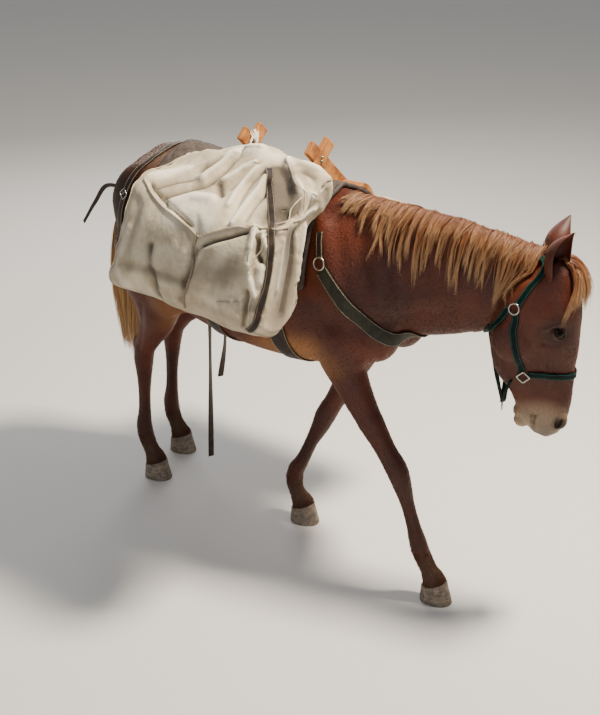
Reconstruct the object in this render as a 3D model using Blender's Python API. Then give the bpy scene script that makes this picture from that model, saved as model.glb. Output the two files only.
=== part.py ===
"""Pack mule in a walking stance, life size, with its load, saddle, harness and halter.

Metres, +Z up. The animal faces +X, its right side is at -Y, and its soles lie at z = 0.
The flesh is modelled whole, from skins through a few stations and muscles laid over them,
and is then parted by thin cuts. The gear is laid on the flesh and trimmed clear of it.
"""
import math
import random

import bmesh
import bpy
import numpy as np
from mathutils import Matrix, Vector
from mathutils.bvhtree import BVHTree

# Clearances and meshing
GAP = 0.0003
CLEARANCE = 0.0006
MERGE = 0.000002
BODY_VOXEL = 0.009
HEAD_VOXEL = 0.004
BODY_ROUNDS = 30
LEG_ROUNDS = 5
TORSO_SHARE = 0.018
LEG_SHARE = 0.036
HEAD_SHARE = 0.0175
FORWARD = Vector((1, 0, 0))
UP = Vector((0, 0, 1))
DOWN = Vector((0, 0, -1))
NEAR = -1
FAR = 1
SIDES = {"near": NEAR, "far": FAR}

# Trunk: x, height of the back, height of the belly, half width
TRUNK = [
    (-0.660, 1.190, 1.070, 0.045),
    (-0.630, 1.275, 0.990, 0.105),
    (-0.565, 1.360, 0.920, 0.165),
    (-0.475, 1.430, 0.880, 0.212),
    (-0.355, 1.468, 0.850, 0.248),
    (-0.220, 1.448, 0.815, 0.265),
    (-0.070, 1.405, 0.785, 0.275),
    (0.100, 1.385, 0.770, 0.283),
    (0.250, 1.400, 0.770, 0.268),
    (0.380, 1.440, 0.780, 0.238),
    (0.500, 1.440, 0.805, 0.208),
    (0.620, 1.380, 0.850, 0.180),
    (0.710, 1.260, 0.900, 0.145),
    (0.755, 1.150, 0.970, 0.085),
]
TRUNK_WIDEST = 0.46

# Neck: x, y, z, reach up, reach down, half width
NECK = [
    (0.420, 0.000, 1.200, 0.235, 0.250, 0.165),
    (0.600, 0.000, 1.215, 0.225, 0.262, 0.132),
    (0.800, 0.012, 1.225, 0.212, 0.240, 0.102),
    (0.980, 0.045, 1.235, 0.182, 0.195, 0.085),
    (1.110, 0.095, 1.250, 0.135, 0.150, 0.076),
    (1.200, 0.145, 1.262, 0.085, 0.125, 0.066),
]

# Head: it hangs straight down and turns to its left
HEAD_TOP = Vector((1.318, 0.155, 1.312))
HEAD_TURN = math.radians(32)
# distance below the poll, reach of the face line, reach of the jaw line, half width
HEAD = [
    (-0.035, -0.090, -0.155, 0.050),
    (0.000, -0.048, -0.190, 0.072),
    (0.065, -0.014, -0.240, 0.092),
    (0.130, 0.000, -0.275, 0.103),
    (0.195, 0.000, -0.296, 0.098),
    (0.265, 0.000, -0.300, 0.084),
    (0.330, -0.002, -0.284, 0.070),
    (0.380, -0.004, -0.250, 0.061),
    (0.430, -0.006, -0.222, 0.055),
    (0.490, -0.010, -0.203, 0.053),
    (0.540, -0.022, -0.196, 0.055),
    (0.578, -0.044, -0.176, 0.048),
    (0.604, -0.075, -0.148, 0.030),
]
HEAD_WIDEST = 0.36
# Below the poll, forward, left, then three radii: upper lip, lower lip and chin
LIP_MASSES = [
    (0.575, -0.080, 0.0, 0.046, 0.044, 0.032),
    (0.556, -0.172, 0.0, 0.030, 0.034, 0.028),
    (0.520, -0.180, 0.0, 0.026, 0.030, 0.028),
]
# The same on both sides: cheek, brow, orbit, face ridge and nostril
FACE_MASSES = [
    (0.235, -0.205, 0.058, 0.088, 0.034, 0.092),
    (0.169, -0.090, 0.0745, 0.042, 0.020, 0.018),
    (0.195, -0.094, 0.0725, 0.034, 0.018, 0.028),
    (0.310, -0.095, 0.056, 0.013, 0.016, 0.100),
    (0.534, -0.046, 0.036, 0.028, 0.018, 0.038),
]
EYE_PLACE = (0.195, -0.094, 0.0775)
EYE_RADIUS = 0.0195
NOSTRIL_PLACE = (0.540, -0.050, 0.052)
NOSTRIL_RADII = (0.010, 0.016, 0.022)
NOSTRIL_TILT = math.radians(20)
MOUTH_PLACE = (0.585, -0.142, 0.042)
MOUTH_RADII = (0.0035, 0.030, 0.058)
EAR_PLACE = (-0.006, -0.110, 0.050)
EAR_LENGTH = 0.192
EAR_WIDTH = 0.115
EAR_LEAN = 0.34
EAR_SPREAD = 0.12
EAR_OPENING = (0.60, 0.80)
EAR_ROWS = 8
EAR_COLUMNS = 6
EAR_THICKNESS = 0.004
EAR_SUNK = 0.030
EAR_TIP_WIDTH = 0.004
EAR_ROOT_SHARE = 0.52
EAR_MIDDLE_SHARE = 1.9
EAR_CUP = 0.55
EAR_WRAP = (math.radians(250), math.radians(120))
EAR_BEND = 0.016
EAR_LEAST_RADIUS = 0.0006

# Legs: x, y, z, reach ahead, reach behind, half width, from the trunk to inside the hoof
NEAR_FORE = [
    (0.500, -0.130, 1.020, 0.120, 0.120, 0.075),
    (0.535, -0.142, 0.900, 0.098, 0.105, 0.070),
    (0.592, -0.142, 0.790, 0.076, 0.078, 0.056),
    (0.668, -0.135, 0.665, 0.055, 0.057, 0.046),
    (0.738, -0.126, 0.560, 0.043, 0.043, 0.037),
    (0.787, -0.118, 0.483, 0.045, 0.042, 0.041),
    (0.806, -0.115, 0.435, 0.039, 0.038, 0.035),
    (0.832, -0.111, 0.365, 0.028, 0.033, 0.025),
    (0.860, -0.107, 0.280, 0.028, 0.034, 0.025),
    (0.885, -0.103, 0.205, 0.033, 0.042, 0.033),
    (0.902, -0.100, 0.163, 0.031, 0.036, 0.030),
    (0.926, -0.098, 0.120, 0.030, 0.031, 0.030),
    (0.948, -0.096, 0.082, 0.040, 0.040, 0.042),
    (0.958, -0.095, 0.045, 0.042, 0.042, 0.044),
]
FAR_FORE = [
    (0.490, 0.130, 1.020, 0.120, 0.120, 0.075),
    (0.475, 0.138, 0.900, 0.095, 0.100, 0.068),
    (0.442, 0.128, 0.790, 0.072, 0.075, 0.055),
    (0.388, 0.108, 0.665, 0.054, 0.055, 0.045),
    (0.336, 0.088, 0.555, 0.043, 0.042, 0.037),
    (0.298, 0.073, 0.478, 0.045, 0.042, 0.041),
    (0.280, 0.066, 0.430, 0.040, 0.037, 0.035),
    (0.252, 0.055, 0.360, 0.028, 0.033, 0.025),
    (0.217, 0.042, 0.270, 0.028, 0.034, 0.025),
    (0.182, 0.032, 0.190, 0.033, 0.042, 0.033),
    (0.180, 0.030, 0.155, 0.033, 0.035, 0.030),
    (0.198, 0.029, 0.115, 0.031, 0.030, 0.030),
    (0.222, 0.028, 0.082, 0.040, 0.040, 0.042),
    (0.234, 0.028, 0.045, 0.042, 0.042, 0.044),
]
NEAR_HIND = [
    (-0.430, -0.110, 1.220, 0.180, 0.140, 0.096),
    (-0.420, -0.130, 1.060, 0.178, 0.168, 0.106),
    (-0.405, -0.140, 0.940, 0.158, 0.160, 0.098),
    (-0.390, -0.138, 0.850, 0.118, 0.138, 0.080),
    (-0.412, -0.130, 0.760, 0.084, 0.092, 0.061),
    (-0.462, -0.121, 0.670, 0.054, 0.064, 0.046),
    (-0.502, -0.115, 0.600, 0.044, 0.054, 0.038),
    (-0.515, -0.112, 0.550, 0.044, 0.050, 0.039),
    (-0.519, -0.110, 0.495, 0.037, 0.042, 0.033),
    (-0.525, -0.107, 0.420, 0.029, 0.034, 0.027),
    (-0.536, -0.102, 0.300, 0.028, 0.034, 0.026),
    (-0.545, -0.098, 0.205, 0.034, 0.043, 0.034),
    (-0.536, -0.096, 0.162, 0.032, 0.037, 0.031),
    (-0.515, -0.095, 0.120, 0.031, 0.031, 0.030),
    (-0.495, -0.094, 0.084, 0.040, 0.040, 0.042),
    (-0.485, -0.094, 0.045, 0.042, 0.042, 0.044),
]
FAR_HIND = [
    (-0.430, 0.110, 1.220, 0.180, 0.140, 0.096),
    (-0.430, 0.130, 1.060, 0.178, 0.168, 0.106),
    (-0.428, 0.143, 0.940, 0.158, 0.160, 0.098),
    (-0.425, 0.145, 0.850, 0.118, 0.138, 0.080),
    (-0.462, 0.142, 0.760, 0.084, 0.092, 0.061),
    (-0.528, 0.140, 0.670, 0.054, 0.064, 0.046),
    (-0.580, 0.140, 0.597, 0.044, 0.054, 0.038),
    (-0.596, 0.141, 0.547, 0.044, 0.050, 0.039),
    (-0.601, 0.142, 0.492, 0.037, 0.042, 0.033),
    (-0.608, 0.143, 0.417, 0.029, 0.034, 0.027),
    (-0.618, 0.145, 0.297, 0.028, 0.034, 0.026),
    (-0.626, 0.147, 0.197, 0.034, 0.043, 0.034),
    (-0.619, 0.147, 0.157, 0.033, 0.037, 0.031),
    (-0.600, 0.147, 0.118, 0.031, 0.031, 0.030),
    (-0.580, 0.147, 0.083, 0.040, 0.040, 0.042),
    (-0.570, 0.147, 0.045, 0.042, 0.042, 0.044),
]
LEGS = {
    "leg_fore_near": NEAR_FORE,
    "leg_fore_far": FAR_FORE,
    "leg_hind_near": NEAR_HIND,
    "leg_hind_far": FAR_HIND,
}
UPPER_LEG_ROWS = 6
LEG_CUT_HEIGHT = 0.740
HOOF_LENGTH = 0.128
CORONET_FRONT = 0.086
CORONET_BACK = 0.046
TOE_ANGLE = math.radians(52)

# Muscles and bones that stand out: x, y, z, three radii, lean about the Y axis in degrees
PAIRED_MASSES = [
    (-0.435, 0.108, 1.210, 0.195, 0.108, 0.205, 0),
    (-0.515, 0.108, 1.010, 0.108, 0.092, 0.190, 8),
    (-0.315, 0.160, 0.930, 0.110, 0.078, 0.120, -30),
    (-0.330, 0.160, 1.330, 0.095, 0.062, 0.055, 0),
    (0.505, 0.118, 1.140, 0.130, 0.095, 0.290, -26),
    (0.560, 0.130, 0.960, 0.130, 0.090, 0.120, 0),
    (0.650, 0.080, 0.990, 0.095, 0.085, 0.120, 0),
]
MIDDLE_MASSES = [
    (0.420, 0.0, 1.360, 0.190, 0.048, 0.100, 4),
    (-0.350, 0.0, 1.415, 0.170, 0.075, 0.060, 0),
    (-0.635, 0.0, 1.175, 0.060, 0.050, 0.060, 0),
]
HOCK_POINTS = [(-0.546, -0.114, 0.620), (-0.626, 0.141, 0.616)]

# Tail: x, y, z of the dock's route, reach ahead, reach behind, half width
DOCK = [
    (-0.640, 0.000, 1.205, 0.030, 0.030, 0.032),
    (-0.697, 0.000, 1.165, 0.030, 0.032, 0.036),
    (-0.726, 0.000, 1.070, 0.030, 0.032, 0.042),
    (-0.738, 0.000, 0.950, 0.026, 0.028, 0.040),
    (-0.740, 0.000, 0.830, 0.012, 0.012, 0.018),
]
TAIL_TIP = (-0.712, 0.0, 0.465)
TAIL_LOCKS = 9

# Mane and forelock
MANE_START = 0.560
MANE_END = 1.085
MANE_LOCKS = 19
FORELOCK_LOCKS = 6
LOCK_SPANS = 4

# Load and saddle
PAD_FRONT = 0.470
PAD_BACK = -0.330
PAD_THICKNESS = 0.016
PAD_LIFT = 0.006
PAD_SWING = math.radians(84)
PAD_MIDDLE = 1.12
PAD_ROWS = 8
PAD_COLUMNS = 10
RAY_REACH = 0.9
CROSS_PLACES = {"saddle_cross_front": 0.320, "saddle_cross_rear": 0.005}
CROSS_TIP = (0.058, 1.592)
CROSS_FOOT = (0.150, 1.395)
BAR_WIDTH = 0.055
BAR_THICKNESS = 0.022
BOARD_PLACE = (0.165, 0.150, 1.372)
BOARD_LENGTH = 0.500
BOARD_WIDTH = 0.120
BOARD_THICKNESS = 0.024
# Outlines of the panniers seen from behind: distance from the middle plane, height
PANNIER_OUTLINES = {
    "near": [
        (0.255, 1.095),
        (0.330, 1.068),
        (0.500, 1.072),
        (0.560, 1.110),
        (0.572, 1.210),
        (0.545, 1.330),
        (0.490, 1.405),
        (0.380, 1.465),
        (0.240, 1.510),
        (0.110, 1.530),
        (0.090, 1.470),
        (0.170, 1.400),
        (0.240, 1.280),
        (0.262, 1.180),
    ],
    "far": [
        (0.285, 0.990),
        (0.345, 0.968),
        (0.500, 0.970),
        (0.556, 1.005),
        (0.568, 1.090),
        (0.556, 1.165),
        (0.515, 1.225),
        (0.430, 1.268),
        (0.330, 1.308),
        (0.262, 1.335),
        (0.240, 1.300),
        (0.255, 1.200),
        (0.280, 1.100),
    ],
}
PANNIER_FRONT = 0.510
PANNIER_BACK = -0.235
# Places along a pannier from back to front, the size of its section there, and how far the top
# of the near one is drawn up
PANNIER_SECTIONS = [(0.0, 0.86, -0.030), (0.02, 0.94, -0.035), (0.07, 0.985, -0.045),
                    (0.2, 1.0, -0.050), (0.35, 1.0, -0.015), (0.5, 1.01, 0.020),
                    (0.65, 1.0, 0.045), (0.8, 1.0, 0.040), (0.93, 0.985, 0.010),
                    (0.98, 0.94, 0.0), (1.0, 0.86, 0.0)]
# Height where the drawing up starts, and the height over which it grows
PANNIER_TOP = (1.380, 0.120)
# The near one's lower front is drawn back: by how much, over what share, and below what height
PANNIER_TUCK = (0.050, 0.25, 1.440, 0.100)
PANNIER_ROPES = {
    "near": [(0.208, -0.530, 1.385), (0.216, -0.570, 1.284), (0.187, -0.590, 1.178),
             (0.165, -0.580, 1.085)],
    "far": [(0.208, 0.530, 1.235), (0.216, 0.580, 1.160), (0.187, 0.590, 1.080),
            (0.165, 0.580, 0.985)],
}
PANNIER_STRAPS = {
    "near": [(0.400, -0.370, 1.490), (0.450, -0.480, 1.430), (0.470, -0.570, 1.300),
             (0.475, -0.600, 1.200), (0.470, -0.580, 1.085)],
    "far": [(0.440, 0.370, 1.310), (0.455, 0.480, 1.265), (0.470, 0.570, 1.190),
            (0.475, 0.590, 1.100), (0.470, 0.580, 0.985)],
}
PANNIER_SHARE = 0.014

# Bands: width and thickness
COLLAR_BAND = (0.052, 0.006)
TUG_BAND = (0.026, 0.004)
CINCH_BAND = (0.070, 0.006)
BREECHING_BAND = (0.050, 0.006)
HIP_BAND = (0.030, 0.004)
END_BAND = (0.018, 0.004)
HALTER_BAND = (0.024, 0.004)
ROPE_BAND = (0.010, 0.008)
PACK_BAND = (0.022, 0.004)
LIFT = 0.0012
BAND_SAMPLES = [(along / 6, across / 2) for along in range(7) for across in range(3)]
RING_SIDES = 4
RING_AROUND = 12
RING_LIFT = 0.012
RING_SIZE = (0.022, 0.0035)
HALTER_LIFT = 0.009
HALTER_RING_SIZE = (0.018, 0.003)
FITTING_SIZE = (0.017, 0.003)
CHIN_RING_SIZE = (0.014, 0.0025)
CHIN_BAND = (0.018, 0.004)
CHIN_STEP = 0.03
CROWN_STEP = 0.028
CHEEK_STEP = 0.035
BOARD_TILT = math.radians(58)

# Hair: ranges of length, lift and width, and the routes of the locks
LOCK_TAPER = 0.6
LOCK_TIP = 0.08
MANE_DROP = (0.15, 0.21)
MANE_FADE = 0.35
MANE_LONGEST = 0.4
MANE_SWEEP = (-0.045, 0.005)
MANE_RISE = Vector((0.004, -0.010, 0.014))
MANE_ROOT = Vector((0.0, 0.012, -0.016))
MANE_STEPS = (0.25, 0.60, 1.0)
MANE_OUT = -0.075
MANE_LIFT = (0.012, 0.022)
MANE_WIDTH = (0.044, 0.054)
MANE_THICKNESS = 0.020
# Below the poll, forward, left for the outermost lock
FORELOCK_ROUTE = [
    (-0.022, -0.105, 0.018),
    (-0.042, -0.070, 0.022),
    (-0.005, -0.020, 0.032),
    (0.060, 0.014, 0.044),
    (0.120, 0.010, 0.056),
]
FORELOCK_UNEVEN = (-0.02, 0.03)
FORELOCK_WIDTH = (0.022, 0.030)
FORELOCK_THICKNESS = 0.010
TAIL_SIDES = 10
TAIL_STEP = 0.06
TAIL_STARTS = (0.15, 0.333, 0.517, 0.70)
TAIL_SPREADS = (0.028, 0.038)
TAIL_ROOT_OUT = 0.012
TAIL_TIP_OUT = 0.030
TAIL_UNEVEN = (0.0, 0.12)
TAIL_FALL = 0.07
# Share of the way to the tip, and what the spread loses there
TAIL_ROUTE = [(0.45, 0.012), (0.75, 0.020)]
TAIL_WIDTH = (0.030, 0.042)
TAIL_THICKNESS = 0.014

# Harness on one side, from the middle plane out, and what hangs from it
COLLAR_ROUTE = [(0.780, 0.0, 0.985), (0.745, 0.090, 0.985), (0.640, 0.200, 1.080),
                (0.500, 0.245, 1.225)]
TUG_ROUTE = [(0.490, 0.25, 1.265), (0.480, 0.24, 1.32), (0.474, 0.22, 1.37)]
BREECHING_ROUTE = [(-0.735, 0.0, 1.090), (-0.680, 0.130, 1.085), (-0.550, 0.240, 1.080),
                   (-0.400, 0.280, 1.095), (-0.335, 0.290, 1.100)]
HIP_ROUTE = [(-0.380, 0.0, 1.500), (-0.420, 0.120, 1.450), (-0.480, 0.220, 1.300),
             (-0.535, 0.250, 1.115)]
CINCH_ROUTE = [(0.0, 0.74), (0.16, 0.80), (0.27, 0.93), (0.30, 1.080)]
CINCH_PLACES = {"cinch_front": 0.330, "cinch_rear": 0.010}
RING_PLACE = (0.492, 0.238, 1.248)
HANGING_BAND = (0.026, 0.006)
HANGING_ROUTES = {
    "hanging_strap_long": [(-0.238, 0.0, 0.840), (-0.243, 0.0, 0.600), (-0.253, 0.004, 0.350),
                           (-0.255, 0.0, 0.135)],
    "hanging_strap_short": [(-0.150, 0.0, 0.815), (-0.160, 0.0, 0.680), (-0.188, 0.0, 0.530)],
}
LOOSE_END = [(-0.600, -0.090, 1.270), (-0.700, -0.095, 1.258), (-0.765, -0.100, 1.180),
             (-0.845, -0.100, 1.075)]

# Halter: distance below the poll, distance forward, distance to the left
HALTER_RING = (0.110, -0.240, 0.100)
HALTER_FITTING = (0.367, -0.183, 0.070)
CROWN = [(-0.065, -0.150, 0.0), (-0.045, -0.165, 0.070), (0.020, -0.200, 0.100),
         (0.082, -0.230, 0.110)]
CHEEK = [(0.140, -0.240, 0.120), (0.240, -0.222, 0.115), (0.338, -0.191, 0.085)]
# The throat strap runs round a place in the throat, through angles from near to far
THROAT_MIDDLE = (0.135, -0.190, 0.0)
THROAT_LOW = (0.235, -0.300, 0.0)
THROAT_ANGLES = (-72, -54, -36, -18, 0, 18, 36, 54, 72)
NOSE_BAND = [(0.369, 0.020, 0.0), (0.367, -0.015, 0.055), (0.359, -0.090, 0.080),
             (0.360, -0.152, 0.080)]
CHIN_STRAP = [(0.492, -0.250, 0.0), (0.483, -0.248, 0.018), (0.430, -0.240, 0.042),
              (0.386, -0.224, 0.056)]
CHIN_RING = (0.512, -0.252, 0.0)


def material(name, colour, roughness=0.8, metallic=0.0):
    """A Principled material in one plain colour."""
    found = bpy.data.materials.get(name)
    if found:
        return found
    made = bpy.data.materials.new(name)
    made.use_nodes = True
    shader = made.node_tree.nodes["Principled BSDF"]
    shader.inputs["Base Color"].default_value = (*colour, 1.0)
    shader.inputs["Roughness"].default_value = roughness
    shader.inputs["Metallic"].default_value = metallic
    made.diffuse_color = (*colour, 1.0)
    return made


def add_object(name, bm):
    """Link a new object made from a bmesh, in triangles that face outwards."""
    bm.normal_update()
    bmesh.ops.recalc_face_normals(bm, faces=bm.faces)
    bmesh.ops.triangulate(bm, faces=bm.faces)
    mesh = bpy.data.meshes.new(name)
    bm.to_mesh(mesh)
    bm.free()
    obj = bpy.data.objects.new(name, mesh)
    bpy.context.scene.collection.objects.link(obj)
    return obj


def remove(obj):
    """Take an object and its mesh out of the file."""
    mesh = obj.data
    bpy.data.objects.remove(obj, do_unlink=True)
    bpy.data.meshes.remove(mesh)


def duplicate(obj, name):
    """A copy of an object with a mesh of its own."""
    copy = obj.copy()
    copy.data = obj.data.copy()
    copy.name = name
    bpy.context.scene.collection.objects.link(copy)
    return copy


def bake(obj):
    """Replace an object's mesh with what its modifiers make of it."""
    depsgraph = bpy.context.evaluated_depsgraph_get()
    mesh = bpy.data.meshes.new_from_object(obj.evaluated_get(depsgraph))
    old = obj.data
    obj.modifiers.clear()
    obj.data = mesh
    bpy.data.meshes.remove(old)


def join(objects, name):
    """Put the meshes of several objects in one, as loose shells."""
    bm = bmesh.new()
    for obj in objects:
        bm.from_mesh(obj.data)
        remove(obj)
    mesh = bpy.data.meshes.new(name)
    bm.to_mesh(mesh)
    bm.free()
    joined = bpy.data.objects.new(name, mesh)
    bpy.context.scene.collection.objects.link(joined)
    return joined


def combine(obj, other, operation, solver="EXACT"):
    """Apply one Boolean and drop the other object."""
    modifier = obj.modifiers.new("Combine", "BOOLEAN")
    modifier.operation = operation
    modifier.solver = solver
    modifier.object = other
    bake(obj)
    remove(other)


def fuse(obj, pieces, solver="EXACT"):
    """Union an object with many pieces at once."""
    group = bpy.data.collections.new("Pieces")
    for piece in pieces:
        group.objects.link(piece)
    modifier = obj.modifiers.new("Fuse", "BOOLEAN")
    modifier.operation = "UNION"
    modifier.solver = solver
    modifier.operand_type = "COLLECTION"
    modifier.collection = group
    bake(obj)
    for piece in pieces:
        remove(piece)
    bpy.data.collections.remove(group)


def keep_largest(obj):
    """Triangulate, and keep the largest closed surface."""
    bm = bmesh.new()
    bm.from_mesh(obj.data)
    bmesh.ops.remove_doubles(bm, verts=bm.verts, dist=MERGE)
    bmesh.ops.triangulate(bm, faces=bm.faces)
    seen = set()
    shells = []
    for start in bm.faces:
        if start in seen:
            continue
        shell = [start]
        seen.add(start)
        for face in shell:
            for edge in face.edges:
                for other in edge.link_faces:
                    if other not in seen:
                        seen.add(other)
                        shell.append(other)
        shells.append(shell)
    shells.sort(key=shell_size, reverse=True)
    for shell in shells[1:]:
        bmesh.ops.delete(bm, geom=shell, context="FACES")
    loose = [vert for vert in bm.verts if not vert.link_faces]
    bmesh.ops.delete(bm, geom=loose, context="VERTS")
    bm.to_mesh(obj.data)
    bm.free()


def shell_size(shell):
    """Diagonal of the box round a list of faces."""
    places = np.array([vert.co for face in shell for vert in face.verts])
    return float(np.linalg.norm(places.max(axis=0) - places.min(axis=0)))


def inflated(obj, amount):
    """A copy of a closed mesh with its surface moved out."""
    copy = duplicate(obj, "Inflated")
    modifier = copy.modifiers.new("Displace", "DISPLACE")
    modifier.strength = amount
    modifier.mid_level = 0.0
    bake(copy)
    return copy


def box_of(obj):
    """Lowest and highest corner of an object's mesh."""
    places = np.array([vert.co for vert in obj.data.vertices])
    return places.min(axis=0), places.max(axis=0)


def boxes_meet(obj, other):
    """Whether the boxes round two objects touch."""
    low, high = box_of(obj)
    other_low, other_high = box_of(other)
    return bool(np.all(low <= other_high) and np.all(other_low <= high))


def trim(obj, cutters):
    """Cut away what lies inside the enlarged copies of earlier pieces."""
    for cutter in cutters.values():
        if boxes_meet(obj, cutter):
            combine(obj, duplicate(cutter, "Cutter"), "DIFFERENCE")


def settle(nodes, cutters, obj):
    """Trim a new piece clear of the earlier ones and add it to them."""
    keep_largest(obj)
    trim(obj, cutters)
    keep_largest(obj)
    cutters[obj.name] = inflated(obj, CLEARANCE)
    nodes[obj.name] = obj


def interpolate(rows, step):
    """Rows read from a smooth curve through the given ones, about one step apart."""
    rows = np.asarray(rows, dtype=float)
    chords = np.linalg.norm(np.diff(rows[:, :3], axis=0), axis=1)
    knots = np.concatenate(([0.0], np.cumsum(chords)))
    slopes = np.gradient(rows, knots, axis=0)
    count = max(2, round(knots[-1] / step)) + 1
    places = np.linspace(0.0, knots[-1], count)
    span = np.clip(np.searchsorted(knots, places, side="right") - 1, 0, len(rows) - 2)
    width = (knots[span + 1] - knots[span])[:, None]
    part = (places - knots[span])[:, None] / width
    square = part * part
    cube = square * part
    return (
        (2 * cube - 3 * square + 1) * rows[span]
        + (cube - 2 * square + part) * width * slopes[span]
        + (3 * square - 2 * cube) * rows[span + 1]
        + (cube - square) * width * slopes[span + 1]
    )


def bridge(bm, rings):
    """Close a row of rings into one skin."""
    for first, second in zip(rings, rings[1:]):
        for index in range(len(first)):
            bm.faces.new((first[index - 1], first[index], second[index], second[index - 1]))
    bm.faces.new(rings[0])
    bm.faces.new(rings[-1][::-1])


def loft(name, stations, lead, sides=20, step=0.03, power=2.0):
    """Skin through stations of x, y, z, reach along lead, reach against it, half width."""
    rows = interpolate(stations, step)
    tangents = np.gradient(rows[:, :3], axis=0)
    bm = bmesh.new()
    rings = []
    for row, tangent in zip(rows, tangents):
        along = Vector(tangent).normalized()
        ahead = (lead - along * lead.dot(along)).normalized()
        across = along.cross(ahead)
        centre = Vector(row[:3])
        ring = []
        for index in range(sides):
            angle = 2 * math.pi * index / sides
            out = math.copysign(abs(math.cos(angle)) ** (2 / power), math.cos(angle))
            spread = math.copysign(abs(math.sin(angle)) ** (2 / power), math.sin(angle))
            reach = row[3] if out > 0 else row[4]
            ring.append(bm.verts.new(centre + ahead * out * reach + across * spread * row[5]))
        rings.append(ring)
    bridge(bm, rings)
    return add_object(name, bm)


def ball(place, radii, turn=Matrix.Identity(3), detail=3):
    """Ellipsoid about a place, turned by a rotation matrix."""
    bm = bmesh.new()
    bmesh.ops.create_icosphere(bm, subdivisions=detail, radius=1.0)
    frame = Matrix.Translation(place) @ turn.to_4x4() @ Matrix.Diagonal((*radii, 1.0))
    bm.transform(frame)
    return add_object("Ball", bm)


def box(place, sizes, turn=Matrix.Identity(3)):
    """Box about its centre, turned by a rotation matrix."""
    bm = bmesh.new()
    bmesh.ops.create_cube(bm, size=1.0)
    frame = Matrix.Translation(place) @ turn.to_4x4() @ Matrix.Diagonal((*sizes, 1.0))
    bm.transform(frame)
    return add_object("Box", bm)


def half_space(place, normal, size=2.0):
    """Large box on the side of a plane that its normal points to."""
    turn = Vector(normal).to_track_quat("Z", "Y").to_matrix()
    centre = Vector(place) + Vector(normal).normalized() * (size / 2)
    return box(centre, (size, size, size), turn)


def lean(degrees):
    """Rotation about the Y axis."""
    return Matrix.Rotation(math.radians(degrees), 3, "Y")


def trunk_stations():
    """Trunk rows as the loft reads them."""
    rows = []
    for x, top, bottom, width in TRUNK:
        level = bottom + TRUNK_WIDEST * (top - bottom)
        rows.append((x, 0.0, level, top - level, level - bottom, width))
    return rows


def head_turn():
    """Rotation whose columns are the head's forward, left and up directions."""
    return Matrix.Rotation(HEAD_TURN, 3, "Z")


def on_head(below, forward, left):
    """World place of a point given in the head's own directions."""
    return HEAD_TOP + head_turn() @ Vector((forward, left, -below))


def head_stations():
    """Head rows as the loft reads them."""
    rows = []
    for below, face, jaw, width in HEAD:
        middle = face - HEAD_WIDEST * (face - jaw)
        rows.append((*on_head(below, middle, 0.0), face - middle, middle - jaw, width))
    return rows


def trunk_masses():
    """Muscles and points of bone laid over the trunk."""
    masses = []
    for x, y, z, long, wide, high, tilt in PAIRED_MASSES:
        for side in (NEAR, FAR):
            masses.append(ball((x, side * y, z), (long, wide, high), lean(tilt)))
    for x, y, z, long, wide, high, tilt in MIDDLE_MASSES:
        masses.append(ball((x, y, z), (long, wide, high), lean(tilt)))
    return masses


def head_masses():
    """Cheeks, orbits, lids, face ridges, nostrils, lips and chin laid over the head."""
    turn = head_turn()
    masses = []
    for below, forward, left, *radii in LIP_MASSES:
        masses.append(ball(on_head(below, forward, left), radii, turn))
    for side in (NEAR, FAR):
        for below, forward, left, *radii in FACE_MASSES:
            masses.append(ball(on_head(below, forward, side * left), radii, turn))
    return masses


def skin(pieces, name, voxel, rounds):
    """Melt overlapping pieces into one smooth skin."""
    obj = join(pieces, name)
    remesh = obj.modifiers.new("Remesh", "REMESH")
    remesh.mode = "VOXEL"
    remesh.voxel_size = voxel
    smooth = obj.modifiers.new("Smooth", "SMOOTH")
    smooth.factor = 0.5
    smooth.iterations = rounds
    bake(obj)
    return obj


def thin_out(obj, share):
    """Collapse a dense mesh to a share of its faces."""
    decimate = obj.modifiers.new("Decimate", "DECIMATE")
    decimate.ratio = share
    decimate.use_collapse_triangulate = True
    bake(obj)


def neck_and_head(sides):
    """Loose skins of the neck and the head."""
    forward = head_turn() @ FORWARD
    return [
        loft("Neck", NECK, UP, sides=sides, power=2.1),
        loft("Head", head_stations(), forward, sides=sides, step=0.02, power=2.3),
    ]


def whole_body():
    """The animal as one dense skin, without ears, eyes, hooves and hair."""
    pieces = [loft("Trunk", trunk_stations(), UP, sides=32, power=2.15)]
    for stations in LEGS.values():
        pieces.append(loft("Upper leg", stations[:UPPER_LEG_ROWS], FORWARD, step=0.02))
    pieces += trunk_masses() + neck_and_head(24)
    trunk = skin(pieces, "Trunk", BODY_VOXEL, BODY_ROUNDS)
    limbs = [trunk]
    for stations in LEGS.values():
        limbs.append(loft("Leg", stations[UPPER_LEG_ROWS - 3:], FORWARD, step=0.02))
    for place in HOCK_POINTS:
        limbs.append(ball(place, (0.024, 0.021, 0.040), lean(12)))
    return skin(limbs, "Body", BODY_VOXEL, LEG_ROUNDS)


def front_body():
    """Neck and head as a finer skin."""
    return skin(neck_and_head(32) + head_masses(), "Front", HEAD_VOXEL, 5)


NECK_PLANE = (Vector((0.585, 0.0, 1.230)), Vector((0.877, 0.0, 0.480)))


def head_plane():
    """Plane behind the ears and the jaw that parts the head from the neck."""
    forward = head_turn() @ FORWARD
    return on_head(-0.050, -0.185, 0.0), forward * 0.887 + DOWN * 0.461


def beyond(plane, gap):
    """Half space that starts a gap beyond a plane."""
    place, normal = plane
    return half_space(place + normal.normalized() * gap, normal)


def before(plane):
    """Half space on the near side of a plane."""
    place, normal = plane
    return half_space(place, -normal)


def leg_plane(stations):
    """Plane across a leg at the height of the leg cut."""
    rows = interpolate(stations, 0.005)
    index = int(np.argmin(np.abs(rows[:, 2] - LEG_CUT_HEIGHT)))
    place = Vector(rows[index, :3])
    normal = Vector(rows[index + 1, :3] - rows[index - 1, :3]).normalized()
    return place, normal


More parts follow.
